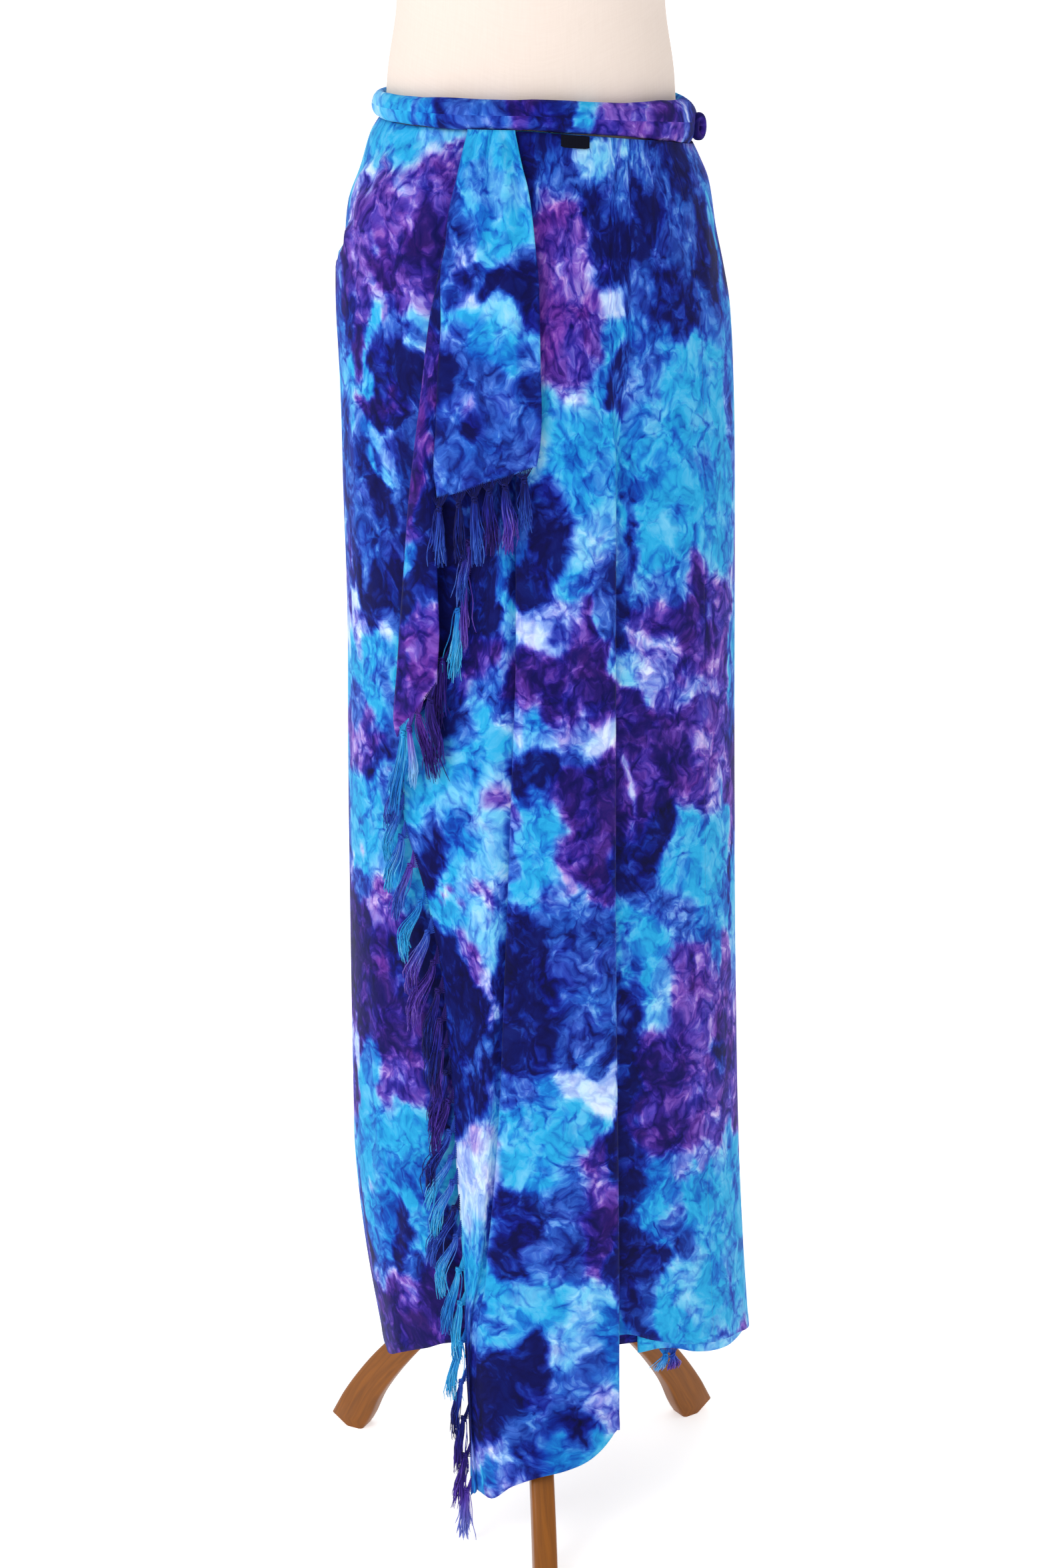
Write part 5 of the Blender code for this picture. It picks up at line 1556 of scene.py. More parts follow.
# The panel between the crease and the big fold
PANEL_POURS = pours({
    Dye.WHITE: [
        (912, 486, 21, 14), (872, 590, 17, 15), (800, 950, 19, 22), (900, 1120, 18, 30),
        (860, 1640, 21, 24), (894, 1655, 24, 26), (752, 2196, 6, 10),
    ],
    Dye.LAVENDER: [
        (876, 312, 16, 14), (840, 958, 24, 20), (1000, 990, 20, 22), (1030, 1040, 24, 12),
        (870, 1075, 26, 30), (902, 2110, 20, 30), (742, 2198, 28, 22),
    ],
    Dye.PINK: [(858, 1325, 9, 8), (898, 1812, 8, 12)],
    Dye.PALE: [
        (915, 230, 24, 13), (800, 670, 18, 26), (890, 800, 30, 44), (960, 985, 20, 26),
        (800, 1100, 30, 24), (890, 1965, 36, 34), (845, 2030, 14, 26),
    ],
    Dye.TURQUOISE: [
        (1100, 300, 14, 70), (820, 610, 35, 30), (895, 640, 32, 58), (1010, 610, 46, 58),
        (1065, 600, 35, 70), (1040, 700, 58, 70), (868, 880, 19, 30), (1000, 790, 58, 58),
        (1080, 780, 30, 70), (798, 1285, 26, 51), (875, 1700, 26, 19), (785, 1720, 44, 46),
        (755, 1960, 42, 46), (818, 1950, 34, 40), (897, 2162, 39, 21),
    ],
    Dye.AZURE: [
        (930, 524, 34, 20), (1106, 430, 9, 67), (850, 672, 22, 16), (968, 680, 22, 56),
        (890, 730, 27, 40), (800, 1080, 18, 27), (820, 1650, 22, 22), (915, 2020, 22, 40),
        (830, 2190, 34, 20), (722, 2228, 24, 10),
    ],
    Dye.ROYAL: [
        (845, 262, 34, 34), (965, 262, 34, 30), (1060, 265, 30, 36), (1020, 360, 30, 46),
        (960, 450, 30, 40), (1070, 480, 24, 30), (975, 560, 26, 36), (1104, 640, 9, 80),
        (905, 880, 18, 30), (1000, 860, 30, 26), (870, 1150, 22, 24), (830, 1370, 30, 30),
        (862, 1420, 36, 40), (890, 1510, 32, 60), (845, 1560, 20, 34), (868, 1655, 6, 5),
        (770, 1660, 18, 24), (835, 1790, 34, 45), (838, 1880, 30, 40), (862, 2086, 30, 28),
        (800, 2150, 34, 36),
    ],
    Dye.NAVY: [
        (800, 235, 23, 36), (1012, 240, 27, 22), (905, 340, 22, 41), (925, 410, 22, 36),
        (970, 350, 31, 45), (1070, 370, 25, 54), (1015, 460, 27, 27), (945, 590, 11, 40),
        (822, 778, 36, 44), (815, 860, 31, 40), (948, 790, 7, 54), (948, 900, 11, 36),
        (805, 1175, 27, 32), (790, 1420, 22, 45), (800, 1530, 32, 55), (905, 1570, 10, 20),
        (762, 1825, 22, 46), (770, 1890, 18, 23), (745, 2070, 36, 54), (800, 2060, 23, 45),
        (860, 2130, 27, 23), (722, 2150, 14, 27), (796, 2190, 22, 22), (712, 2060, 11, 45),
    ],
    Dye.VIOLET: [
        (855, 400, 36, 50), (880, 520, 20, 24), (835, 545, 34, 34), (1090, 930, 14, 50),
        (985, 915, 20, 24), (1060, 1010, 24, 22), (858, 1275, 20, 24), (892, 1770, 26, 30),
    ],
    Dye.PURPLE: [
        (885, 965, 20, 22), (820, 1020, 40, 24), (890, 1030, 34, 24), (1060, 870, 34, 30),
        (1040, 935, 40, 40), (893, 1070, 8, 16), (885, 1210, 34, 46), (900, 1300, 16, 30),
        (893, 1850, 26, 44),
    ],
    Dye.MAGENTA: [(835, 340, 24, 40), (840, 460, 32, 44)],
})
# Right of the big fold
RIGHT_POURS = pours({
    Dye.LAVENDER: [(945, 1195, 7, 20), (1045, 1742, 40, 12, -18)],
    Dye.PALE: [
        (990, 1500, 22, 36), (1090, 1720, 16, 26), (1050, 1930, 14, 40, -20), (1020, 1905, 12, 20),
    ],
    Dye.TURQUOISE: [
        (1060, 1280, 46, 58), (960, 1420, 30, 58), (1070, 1800, 46, 42), (1085, 1880, 39, 58),
        (1085, 1965, 34, 24), (1022, 1950, 24, 46), (1045, 1995, 30, 21),
    ],
    Dye.AZURE: [(1080, 1370, 34, 38), (990, 1790, 27, 45), (1108, 1780, 11, 67)],
    Dye.ROYAL: [
        (1010, 1350, 22, 30), (1030, 1860, 12, 46, -12), (982, 1975, 16, 26), (1098, 1925, 5, 26, -25),
        (1084, 1985, 4, 18, -35), (1110, 1000, 8, 60),
    ],
    Dye.NAVY: [
        (975, 1290, 31, 45), (942, 1480, 9, 54), (945, 1620, 14, 81), (1078, 1615, 16, 36),
        (948, 1760, 16, 45), (962, 1880, 20, 44), (945, 1920, 14, 54), (960, 2000, 18, 20),
        (1108, 1300, 7, 45),
    ],
    Dye.VIOLET: [
        (1070, 1110, 31, 40), (1050, 1190, 34, 34), (1100, 1170, 12, 60), (1040, 1455, 30, 34),
        (1095, 1450, 18, 40), (1045, 1540, 36, 60), (1070, 1650, 34, 44),
    ],
    Dye.PURPLE: [
        (945, 1080, 14, 36), (1000, 1100, 40, 40), (980, 1185, 31, 36), (1095, 1540, 16, 50),
        (1000, 1620, 26, 50), (1010, 1700, 34, 34),
    ],
})
OUTER_POURS = STRIP_POURS + PANEL_POURS + RIGHT_POURS
FLAP_POURS = pours({
    Dye.WHITE: [(745, 296, 5, 5)],
    Dye.LAVENDER: [(705, 360, 12, 12), (712, 420, 16, 14), (735, 610, 9, 12)],
    Dye.PALE: [(742, 262, 14, 24), (768, 285, 18, 26), (730, 362, 16, 12, -30), (742, 462, 20, 18)],
    Dye.TURQUOISE: [
        (735, 225, 39, 35), (760, 230, 19, 35), (745, 325, 30, 30), (785, 325, 16, 39),
        (752, 372, 26, 23), (700, 450, 30, 19), (768, 505, 30, 30),
    ],
    Dye.AZURE: [(715, 290, 16, 29), (720, 505, 27, 25)],
    Dye.ROYAL: [
        (752, 246, 16, 10), (720, 265, 9, 12), (700, 320, 18, 26), (785, 385, 16, 26), (680, 400, 12, 34),
        (680, 500, 16, 30), (798, 520, 12, 30), (710, 565, 24, 30), (755, 575, 26, 30),
        (680, 640, 20, 30), (770, 650, 24, 30), (665, 705, 14, 26), (700, 695, 26, 26),
        (745, 690, 28, 22),
    ],
    Dye.NAVY: [
        (715, 392, 27, 12, -12), (762, 420, 23, 13), (790, 450, 14, 23), (672, 570, 13, 31),
        (795, 590, 16, 31), (725, 650, 16, 16), (788, 690, 18, 18),
    ],
})
CASCADE_POURS = pours({
    Dye.LAVENDER: [(600, 1120, 12, 12)],
    Dye.PINK: [(632, 1030, 10, 10)],
    Dye.AZURE: [(612, 850, 13, 27)],
    Dye.NAVY: [
        (655, 450, 16, 54), (650, 650, 9, 45), (648, 760, 11, 45), (630, 860, 16, 32), (650, 880, 11, 45),
        (612, 930, 14, 31),
    ],
    Dye.VIOLET: [(620, 800, 16, 22), (640, 960, 20, 22), (605, 1095, 16, 18)],
    Dye.PURPLE: [(668, 330, 16, 60), (645, 540, 16, 34), (625, 750, 16, 34), (602, 1020, 10, 40)],
    Dye.MAGENTA: [(640, 610, 16, 34), (630, 680, 18, 40), (625, 1000, 18, 24), (615, 1055, 22, 26)],
})
INNER_END_POURS = pours({
    Dye.PALE: [(1085, 2005, 30, 14)],
    Dye.TURQUOISE: [(970, 2018, 30, 14), (1000, 1500, 93, 232)],
    Dye.AZURE: [(1035, 2015, 30, 14)],
    Dye.ROYAL: [(1000, 400, 80, 200)],
    Dye.NAVY: [(1000, 1900, 54, 81)],
    Dye.PURPLE: [(1000, 900, 80, 250)],
})
ROLL_POURS = pours({
    # The lavender pour at 1032 across is a painted highlight: a light streak on the roll's twisted right
    # end, not dye.
    Dye.LAVENDER: [(752, 185, 14, 14, -40), (1032, 165, 6, 16, 30)],
    Dye.TURQUOISE: [(590, 155, 28, 28), (872, 176, 14, 16)],
    Dye.AZURE: [(650, 165, 18, 27)],
    Dye.ROYAL: [
        (628, 158, 9, 9), (690, 170, 12, 22), (715, 172, 16, 24), (742, 165, 12, 12, -40),
        (850, 190, 16, 14),
    ],
    Dye.NAVY: [(673, 165, 6, 20), (815, 172, 20, 20)],
    Dye.VIOLET: [(905, 182, 16, 20), (945, 178, 26, 24), (1012, 170, 12, 24)],
    Dye.PURPLE: [(775, 178, 18, 22), (985, 182, 16, 22), (1048, 190, 14, 22)],
})
# Where the sides turn out of sight, by angle and height
RIGHT_EDGE_POURS = pours({
    Dye.PALE: [(92, 0.525, 30, 60)],
    Dye.TURQUOISE: [
        (90, 1.165, 26, 40), (90, 0.950, 30, 80), (90, 0.785, 30, 66), (90, 0.590, 30, 60),
        (88, 0.300, 30, 60), (92, 0.215, 34, 90),
    ],
    Dye.AZURE: [(90, 1.030, 30, 60)],
    Dye.NAVY: [(92, 1.105, 26, 60)],
    Dye.VIOLET: [(92, 0.860, 30, 66), (90, 0.430, 30, 90)],
    Dye.PURPLE: [(92, 0.690, 30, 90), (96, 0.370, 30, 60)],
})
LEFT_EDGE_POURS = pours({
    Dye.WHITE: [(-94, 0.805, 26, 30)],
    Dye.LAVENDER: [(-94, 0.420, 26, 34)],
    Dye.TURQUOISE: [
        (-96, 1.170, 26, 40), (-94, 1.000, 26, 70), (-96, 0.720, 26, 80), (-94, 0.300, 26, 80),
    ],
    Dye.ROYAL: [(-96, 0.900, 26, 90), (-94, 0.640, 26, 70)],
    Dye.VIOLET: [(-96, 0.375, 26, 34), (-96, 0.200, 26, 70)],
    Dye.PURPLE: [(-96, 1.090, 26, 90), (-96, 0.510, 26, 100)],
})
ROLL_BACK_POURS = pours({
    Dye.PALE: [(-96, 1.225, 40, 30)],
    Dye.TURQUOISE: [(118, 1.215, 60, 30), (182, 1.222, 50, 30)],
    Dye.AZURE: [(-116, 1.225, 50, 30)],
    Dye.ROYAL: [(162, 1.22, 50, 30)],
    Dye.NAVY: [(96, 1.21, 50, 30), (-138, 1.224, 50, 30)],
    Dye.VIOLET: [(140, 1.218, 50, 30)],
    Dye.PURPLE: [(-158, 1.223, 40, 30)],
})
LEFT_BACK_POURS = scatter(5, (-164.0, -106.0))
RIGHT_BACK_POURS = scatter(11, (106.0, 158.0))
# The two layers meet at the middle of the back, where the same patches run on from one to the other
BACK_POURS = scatter(23, (168.0, 200.0))
# Listed folds: both ends, half width and height in metres
LEFT_FOLDS = folds([
    (694, 222, 612, 226, 0.0045, 0.0030), (612, 226, 571, 245, 0.0045, 0.0030),
    (571, 245, 536, 270, 0.0050, 0.0030), (694, 214, 600, 216, 0.0050, -0.0022),
    (600, 216, 545, 246, 0.0050, -0.0022), (690, 268, 648, 284, 0.0045, -0.0022),
    (686, 262, 640, 272, 0.0060, 0.0020), (597, 1780, 597, 1905, 0.0060, -0.0016),
    (612, 1760, 604, 1960, 0.0080, 0.0014), (560, 300, 548, 420, 0.0090, 0.0020),
    (600, 330, 580, 470, 0.0080, -0.0014), (535, 520, 540, 900, 0.0100, 0.0016),
    (575, 620, 570, 860, 0.0090, -0.0012), (552, 1500, 560, 1800, 0.0080, -0.0014),
    (545, 980, 548, 1280, 0.0080, 0.0012), (580, 240, 620, 225, 0.0050, 0.0012),
]) + folds([
    (-104.0, 1.08, -112.0, 0.62, 0.0100, 0.0018), (-126.0, 1.17, -134.0, 0.55, 0.0110, -0.0020),
    (-140.0, 0.90, -137.0, 0.20, 0.0120, 0.0026), (-165.0, 1.18, -160.0, 0.70, 0.0100, 0.0018),
    (-96.0, 0.60, -100.0, 0.18, 0.0110, -0.0020), (-172.0, 0.70, -170.0, 0.16, 0.0120, -0.0022),
], hidden=True)
OUTER_FOLDS = folds([
    (721, 975, 715, 1100, 0.0035, 0.0018), (715, 1100, 696, 1345, 0.0035, 0.0020),
    (696, 1345, 684, 1508, 0.0040, 0.0020), (712, 1100, 691, 1345, 0.0030, -0.0022),
    (839, 1080, 841, 1370, 0.0050, 0.0010), (1012, 1690, 1013, 2010, 0.0040, -0.0014),
    (1020, 1690, 1022, 2010, 0.0050, 0.0010), (985, 1200, 975, 1700, 0.0090, 0.0014),
    (880, 1500, 886, 2120, 0.0100, 0.0016), (810, 1750, 806, 2160, 0.0090, -0.0014),
    (1075, 300, 1085, 900, 0.0080, -0.0014), (1040, 235, 1005, 420, 0.0060, 0.0014),
    (1050, 240, 1062, 520, 0.0060, 0.0012), (1000, 225, 985, 330, 0.0050, -0.0010),
    (860, 215, 866, 330, 0.0050, -0.0010), (905, 212, 900, 380, 0.0060, 0.0010),
    (1060, 1100, 1072, 1600, 0.0090, 0.0014), (830, 1900, 770, 2050, 0.0080, 0.0012),
    (760, 1980, 742, 2200, 0.0070, 0.0014),
]) + folds([
    (98.0, 1.17, 104.0, 0.70, 0.0110, 0.0018), (122.0, 1.18, 126.0, 0.50, 0.0110, -0.0022),
    (146.0, 1.10, 150.0, 0.30, 0.0110, 0.0024), (172.0, 1.15, 169.0, 0.45, 0.0100, 0.0018),
    (92.0, 0.60, 96.0, 0.18, 0.0120, -0.0018), (158.0, 0.60, 155.0, 0.15, 0.0110, -0.0020),
], hidden=True)
FLAP_FOLDS = folds([
    (743, 198, 716, 262, 0.0024, -0.0034), (755, 200, 779, 250, 0.0022, -0.0040),
    (763, 200, 788, 270, 0.0026, 0.0030), (749, 198, 752, 250, 0.0026, 0.0026),
    (735, 198, 706, 255, 0.0028, 0.0018), (704, 196, 690, 310, 0.0030, 0.0015),
    (728, 198, 712, 240, 0.0028, -0.0016), (716, 215, 700, 330, 0.0045, 0.0012),
    (765, 400, 772, 640, 0.0060, 0.0012), (700, 420, 690, 700, 0.0060, 0.0012),
])
CASCADE_FOLDS = folds([
    (640, 560, 615, 900, 0.0050, 0.0012), (612, 1012, 628, 1020, 0.0030, -0.0014),
])


@dataclass(frozen=True)
class Tassel:
    """One knotted tassel of the fringe.

    Attributes:
        place: height of its root on an upright edge, or distance along a level one.
        length: of its skirt below the knot.
        drift: how far its tip lies to the right of its knot.
        top: its dye at the knot.
        tip: its dye at the ends.
        full: how many threads its skirt has.
    """

    place: float
    length: float
    drift: float
    top: Dye
    tip: Dye
    full: int = 50


FLAP_TASSELS = [
    Tassel(0.0030, 0.044, 0.001, Dye.NAVY, Dye.ROYAL), Tassel(0.0200, 0.046, 0.001, Dye.NAVY, Dye.NAVY),
    Tassel(0.0340, 0.050, 0.000, Dye.NAVY, Dye.ROYAL, 60),
    Tassel(0.0460, 0.048, 0.001, Dye.NAVY, Dye.PURPLE, 60),
    Tassel(0.0590, 0.050, 0.001, Dye.NAVY, Dye.VIOLET, 60),
    Tassel(0.0745, 0.040, 0.002, Dye.NAVY, Dye.ROYAL),
]
CASCADE_TASSELS = [
    Tassel(0.0090, 0.050, 0.003, Dye.PURPLE, Dye.PURPLE),
    Tassel(0.0260, 0.052, 0.010, Dye.MAGENTA, Dye.PURPLE),
    Tassel(0.0400, 0.048, 0.002, Dye.VIOLET, Dye.PALE),
    Tassel(0.0490, 0.066, -0.006, Dye.TURQUOISE, Dye.AZURE),
]
RECESS_TASSELS = [
    Tassel(0.905, 0.050, -0.004, Dye.PURPLE, Dye.ROYAL),
    Tassel(0.880, 0.060, -0.003, Dye.PURPLE, Dye.VIOLET),
    Tassel(0.850, 0.055, -0.002, Dye.AZURE, Dye.TURQUOISE),
    Tassel(0.806, 0.055, -0.006, Dye.PURPLE, Dye.PURPLE),
]
UPPER_TASSELS = [
    Tassel(0.702, 0.042, -0.006, Dye.NAVY, Dye.ROYAL),
    Tassel(0.678, 0.046, -0.008, Dye.ROYAL, Dye.TURQUOISE),
    Tassel(0.654, 0.046, -0.010, Dye.ROYAL, Dye.TURQUOISE),
    Tassel(0.630, 0.045, -0.012, Dye.VIOLET, Dye.ROYAL),
]
MIDDLE_TASSELS = [
    Tassel(0.600, 0.050, -0.014, Dye.AZURE, Dye.TURQUOISE),
    Tassel(0.576, 0.052, -0.012, Dye.ROYAL, Dye.VIOLET),
    Tassel(0.550, 0.058, -0.016, Dye.PURPLE, Dye.VIOLET),
    Tassel(0.524, 0.062, -0.010, Dye.PURPLE, Dye.NAVY),
    Tassel(0.500, 0.058, -0.006, Dye.PURPLE, Dye.NAVY),
    Tassel(0.476, 0.056, -0.006, Dye.PURPLE, Dye.PURPLE),
    Tassel(0.452, 0.056, -0.008, Dye.NAVY, Dye.PURPLE),
]
LOWER_TASSELS = [
    Tassel(0.426, 0.050, -0.010, Dye.PURPLE, Dye.PURPLE),
    Tassel(0.400, 0.056, -0.016, Dye.ROYAL, Dye.NAVY),
    Tassel(0.376, 0.046, -0.018, Dye.ROYAL, Dye.TURQUOISE),
    Tassel(0.352, 0.050, -0.016, Dye.ROYAL, Dye.TURQUOISE),
    Tassel(0.328, 0.054, -0.018, Dye.NAVY, Dye.ROYAL),
    Tassel(0.304, 0.056, -0.014, Dye.ROYAL, Dye.TURQUOISE, 56),
]
HEM_TASSELS = [
    Tassel(0.272, 0.058, -0.010, Dye.TURQUOISE, Dye.AZURE),
    Tassel(0.239, 0.056, -0.003, Dye.TURQUOISE, Dye.TURQUOISE),
    Tassel(0.203, 0.056, -0.006, Dye.AZURE, Dye.TURQUOISE),
    Tassel(0.166, 0.054, -0.006, Dye.ROYAL, Dye.NAVY), Tassel(0.130, 0.052, -0.006, Dye.NAVY, Dye.PURPLE),
    Tassel(0.094, 0.050, -0.006, Dye.PURPLE, Dye.VIOLET),
    Tassel(0.060, 0.046, -0.003, Dye.VIOLET, Dye.LAVENDER, 56),
]
INNER_TASSELS = [
    Tassel(0.0215, 0.013, -0.004, Dye.AZURE, Dye.PALE),
    Tassel(0.0290, 0.012, 0.001, Dye.ROYAL, Dye.VIOLET),
]


@dataclass
class Fringe:
    """A run of knotted tassels on one edge of the cloth.

    Attributes:
        name: the piece's name.
        node: the solid that it stands for.
        edge: the cloth's edge, from its top or its left end.
        inside: the column or row beside it.
        tassels: the tassels along it.
        upright: whether their places are heights.
        behind: the pieces that they hang in front of.
        thread: half a thread's thickness.
        knot_clear: how far in front of the cloth a knot's middle stays.
        clear: the same for a thread of the skirt.
        warps: how many threads run into a knot.
        turns: how many turns a knot has.
        knot_size: a knot's half width and half depth, and the height between its turns.
        cord: thickness of a knot's turns, in threads.
        bunch: length of edge whose warps run into one knot.
        hang_upright: how far a knot lies beside and below its root on an upright edge.
        hang_level: the same on a level edge.
        fan: half width of a skirt at its knot and at its tip.
        points: points along each line, less one.
        stray: share of threads that stand off, and how much looser they are.
        piece: the finished piece.
    """

    name: str
    node: str
    edge: np.ndarray
    inside: np.ndarray
    tassels: Sequence[Tassel]
    upright: bool
    behind: Sequence[Piece]
    thread: float = 0.00042
    knot_clear: float = 0.0036
    clear: float = 0.0008
    warps: int = 9
    turns: int = 3
    knot_size: tuple[float, float, float] = (0.0017, 0.0015, 0.0011)
    cord: float = 2.6
    bunch: float = 0.0145
    hang_upright: tuple[float, float] = (0.0035, 0.0045)
    hang_level: tuple[float, float] = (0.0, 0.0065)
    fan: tuple[float, float] = (0.0012, 0.0046)
    points: int = 8
    stray: tuple[float, float] = (0.12, 1.9)
    piece: Piece = field(init=False)

    def root(self, tassel: Tassel) -> tuple[Vector, Vector, Vector]:
        """Where a tassel leaves the edge, the way along the edge and the way off the cloth.

        Args:
            tassel: the tassel.

        Returns:
            The place and the two directions.
        """
        if self.upright:
            at = [np.interp(tassel.place, self.edge[::-1, 2], self.edge[::-1, k]) for k in range(3)]
            row = int(np.argmin(np.abs(self.edge[:, 2] - tassel.place)))
        else:
            lengths = np.concatenate([[0.0], np.cumsum(np.linalg.norm(np.diff(self.edge, axis=0), axis=1))])
            at = [np.interp(tassel.place, lengths, self.edge[:, k]) for k in range(3)]
            row = int(np.argmin(np.abs(lengths - tassel.place)))
        row = min(max(row, 1), len(self.edge) - 2)
        along = Vector(self.edge[row + 1] - self.edge[row - 1]).normalized()
        off = Vector(self.edge[row] - self.inside[row])
        off = (off - along * off.dot(along)).normalized()
        return Vector(at), along, off

    @staticmethod
    def in_front(point: Vector, trees: Sequence[BVHTree], gap: float) -> Vector:
        """Move a point forward until it lies in front of the cloth behind it.

        Args:
            point: the point, which is moved.
            trees: the cloth behind it.
            gap: how far in front it has to lie.

        Returns:
            The point.
        """
        start = Vector((point.x + STAND_AT[0], -1.0, point.z))
        for tree in trees:
            hit = tree.ray_cast(start, Vector((0.0, 1.0, 0.0)))[0]
            if hit is not None:
                point.y = min(point.y, hit.y - STAND_AT[1] - gap)
        return point

    def draw_lines(self, trees: Sequence[BVHTree]) -> tuple[bpy.types.Mesh, list]:
        """Draw every knot and thread as a curve, and turn them into one mesh.

        Args:
            trees: the cloth behind the fringe.

        Returns:
            The mesh, and the dye at some of its lines' points.
        """
        draw = random.Random(self.name)
        curve = bpy.data.curves.new(self.name, "CURVE")
        curve.dimensions, curve.bevel_depth, curve.bevel_resolution = "3D", self.thread, 0
        curve.use_fill_caps = True
        dyes = []
        for tassel in self.tassels:
            for line, sizes, shades in self.strands(tassel, trees, draw):
                spline = curve.splines.new("POLY")
                spline.points.add(len(line) - 1)
                for point, spot, size in zip(spline.points, line, sizes):
                    point.co = (spot.x + STAND_AT[0], spot.y + STAND_AT[1], max(spot.z, 0.0015), 1.0)
                    point.radius = size
                dyes += shades
        drawn = bpy.data.objects.new(self.name, curve)
        bpy.context.scene.collection.objects.link(drawn)
        graph = bpy.context.evaluated_depsgraph_get()
        mesh = bpy.data.meshes.new_from_object(drawn.evaluated_get(graph))
        bpy.data.objects.remove(drawn, do_unlink=True)
        bpy.data.curves.remove(curve)
        return mesh, dyes

    def build(self, finish: Material) -> None:
        """Make the run as one piece, put it under the root body and hide the solid that it stands for.

        Args:
            finish: the threads' material.
        """
        trees = []
        for mesh in (other.data for other in self.behind):
            corners = [tuple(face.vertices) for face in mesh.polygons]
            trees.append(BVHTree.FromPolygons([vert.co for vert in mesh.vertices], corners))
        mesh, dyes = self.draw_lines(trees)
        self.dye_threads(mesh, dyes)
        mesh.shade_smooth()
        mesh.materials.clear()
        mesh.materials.append(finish)
        self.piece = bpy.data.objects.new(self.name, mesh)
        bpy.context.scene.collection.objects.link(self.piece)
        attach(self.piece, "root")
        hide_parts(self.node)
        LOG.info("%s: %d tassels, %d faces", self.name, len(self.tassels), len(mesh.polygons))

    @staticmethod
    def dye_threads(mesh: bpy.types.Mesh, dyes: Sequence[tuple[Vector, tuple]]) -> None:
        """Give every vertex the dye of the nearest point of the threads' own lines.

        Args:
            mesh: the fringe's mesh.
            dyes: points of the lines and the dye at each.
        """
        values = np.array([value for _, value in dyes])
        tree = BVHTree.FromPolygons([spot for spot, _ in dyes], [(k, k, k) for k in range(len(dyes))])
        layer = mesh.color_attributes.new("dye", "FLOAT_COLOR", "POINT")
        for k, vert in enumerate(mesh.vertices):
            nearest = tree.find_nearest(vert.co)[2]
            layer.data[k].color = values[nearest if nearest is not None else 0]

    def strands(self, tassel: Tassel, trees: Sequence[BVHTree], draw: random.Random) -> list:
        """Lines of one tassel: warp threads into the knot, the knot's turns, and the skirt.

        Args:
            tassel: the tassel.
            trees: the cloth behind it.
            draw: source of the small differences between threads.

        Returns:
            For each line its points, its thickness at them, and the dye at some of them.
        """
        at, along, off = self.root(tassel)
        out = Vector(outward(np.array(at)))
        side = Vector((-out.y, out.x, 0.0))
        level = Vector((off.x, off.y, 0.0))
        level = level.normalized() if level.length > 0.3 and self.upright else Vector()
        beside, drop = self.hang_upright if self.upright else self.hang_level
        knot = at + level * beside + out * 0.0026 - Vector((0, 0, drop + draw.uniform(0.0, 0.003)))
        knot = self.in_front(knot, trees, self.knot_clear)
        shift = Vector((*STAND_AT, 0.0))
        lines = []
        for k in range(self.warps):
            begin = at + along * (self.bunch * (k / (self.warps - 1) - 0.5)) - off * 0.0010 + out * 0.0004
            middle = begin.lerp(knot, 0.55) + Vector((0, 0, -0.0008))
            end = knot + side * draw.uniform(-0.0008, 0.0008)
            lines.append(((begin, middle, end), (1.0, 1.25, 1.4)))
        wide, deep, pitch = self.knot_size
        tilt = draw.uniform(-0.6, 0.6)
        for turn in range(self.turns):
            ring = []
            for k in range(self.points + 1):
                bend = math.tau * k / self.points + turn * 2.3
                rise = pitch * (math.sin(bend + turn * 2.0) - (turn - 1)) + 0.0016 * tilt * math.cos(bend)
                spot = knot + side * (wide * math.cos(bend)) + out * (deep * math.sin(bend))
                ring.append(spot + Vector((0, 0, rise)))
            lines.append((ring, [self.cord] * len(ring)))
        found = [(line, sizes, [(p + shift, tassel.top.value) for p in line]) for line, sizes in lines]
        return found + self.skirt(tassel, knot, (side, out), trees, draw)

    def skirt(
        self, tassel: Tassel, knot: Vector, ways: tuple[Vector, Vector], trees: Sequence[BVHTree],
        draw: random.Random,
    ) -> list:
        """Lines of a tassel's skirt: loose threads that fan out under the knot and sway together.

        Args:
            tassel: the tassel.
            knot: the middle of its knot.
            ways: the ways along the cloth and out of it.
            trees: the cloth behind it.
            draw: source of the small differences between threads.

        Returns:
            For each line its points, its thickness at them, and the dye at them.
        """
        side, out = ways
        shift = Vector((*STAND_AT, 0.0))
        top, tip = np.array(tassel.top.value), np.array(tassel.tip.value)
        swing, swerve = draw.uniform(0.0012, 0.0034), draw.uniform(0, math.tau)
        tight = draw.uniform(0.75, 1.25)
        lines = []
        for number in range(tassel.full):
            bend, wide = number * GOLDEN_ANGLE, math.sqrt((number + 0.5) / tassel.full)
            stray = self.stray[1] if draw.random() < self.stray[0] else 1.0
            length = tassel.length * draw.uniform(0.72, 1.08)
            sway, phase = draw.uniform(0.0004, 0.0013) * stray, draw.uniform(0, math.tau)
            loose, deep = draw.uniform(0.8, 1.2) * tight * stray, draw.uniform(0.72, 1.14)
            line, sizes, shades = [], [], []
            for k in range(self.points + 1):
                share = k / self.points
                fan = mix(*self.fan, share ** 0.7) * wide * loose
                curl = sway * math.sin(phase + share * 9.0) + swing * math.sin(swerve + share * 3.4)
                spot = knot + side * (fan * math.cos(bend) * 1.15 + curl * share)
                spot += out * (fan * math.sin(bend) * 0.50 + 0.0004)
                spot += Vector((tassel.drift * ramp(0.0, 0.85, share), 0.0, -length * share))
                line.append(self.in_front(spot, trees, self.clear))
                sizes.append(1.0 if k < self.points else 0.5)
                blend = min(max(share * 1.25 + 0.12 * math.sin(phase), 0.0), 1.0)
                shades.append((line[-1] + shift, tuple((top + (tip - top) * blend) * deep)))
            lines.append((line, sizes, shades))
        return lines


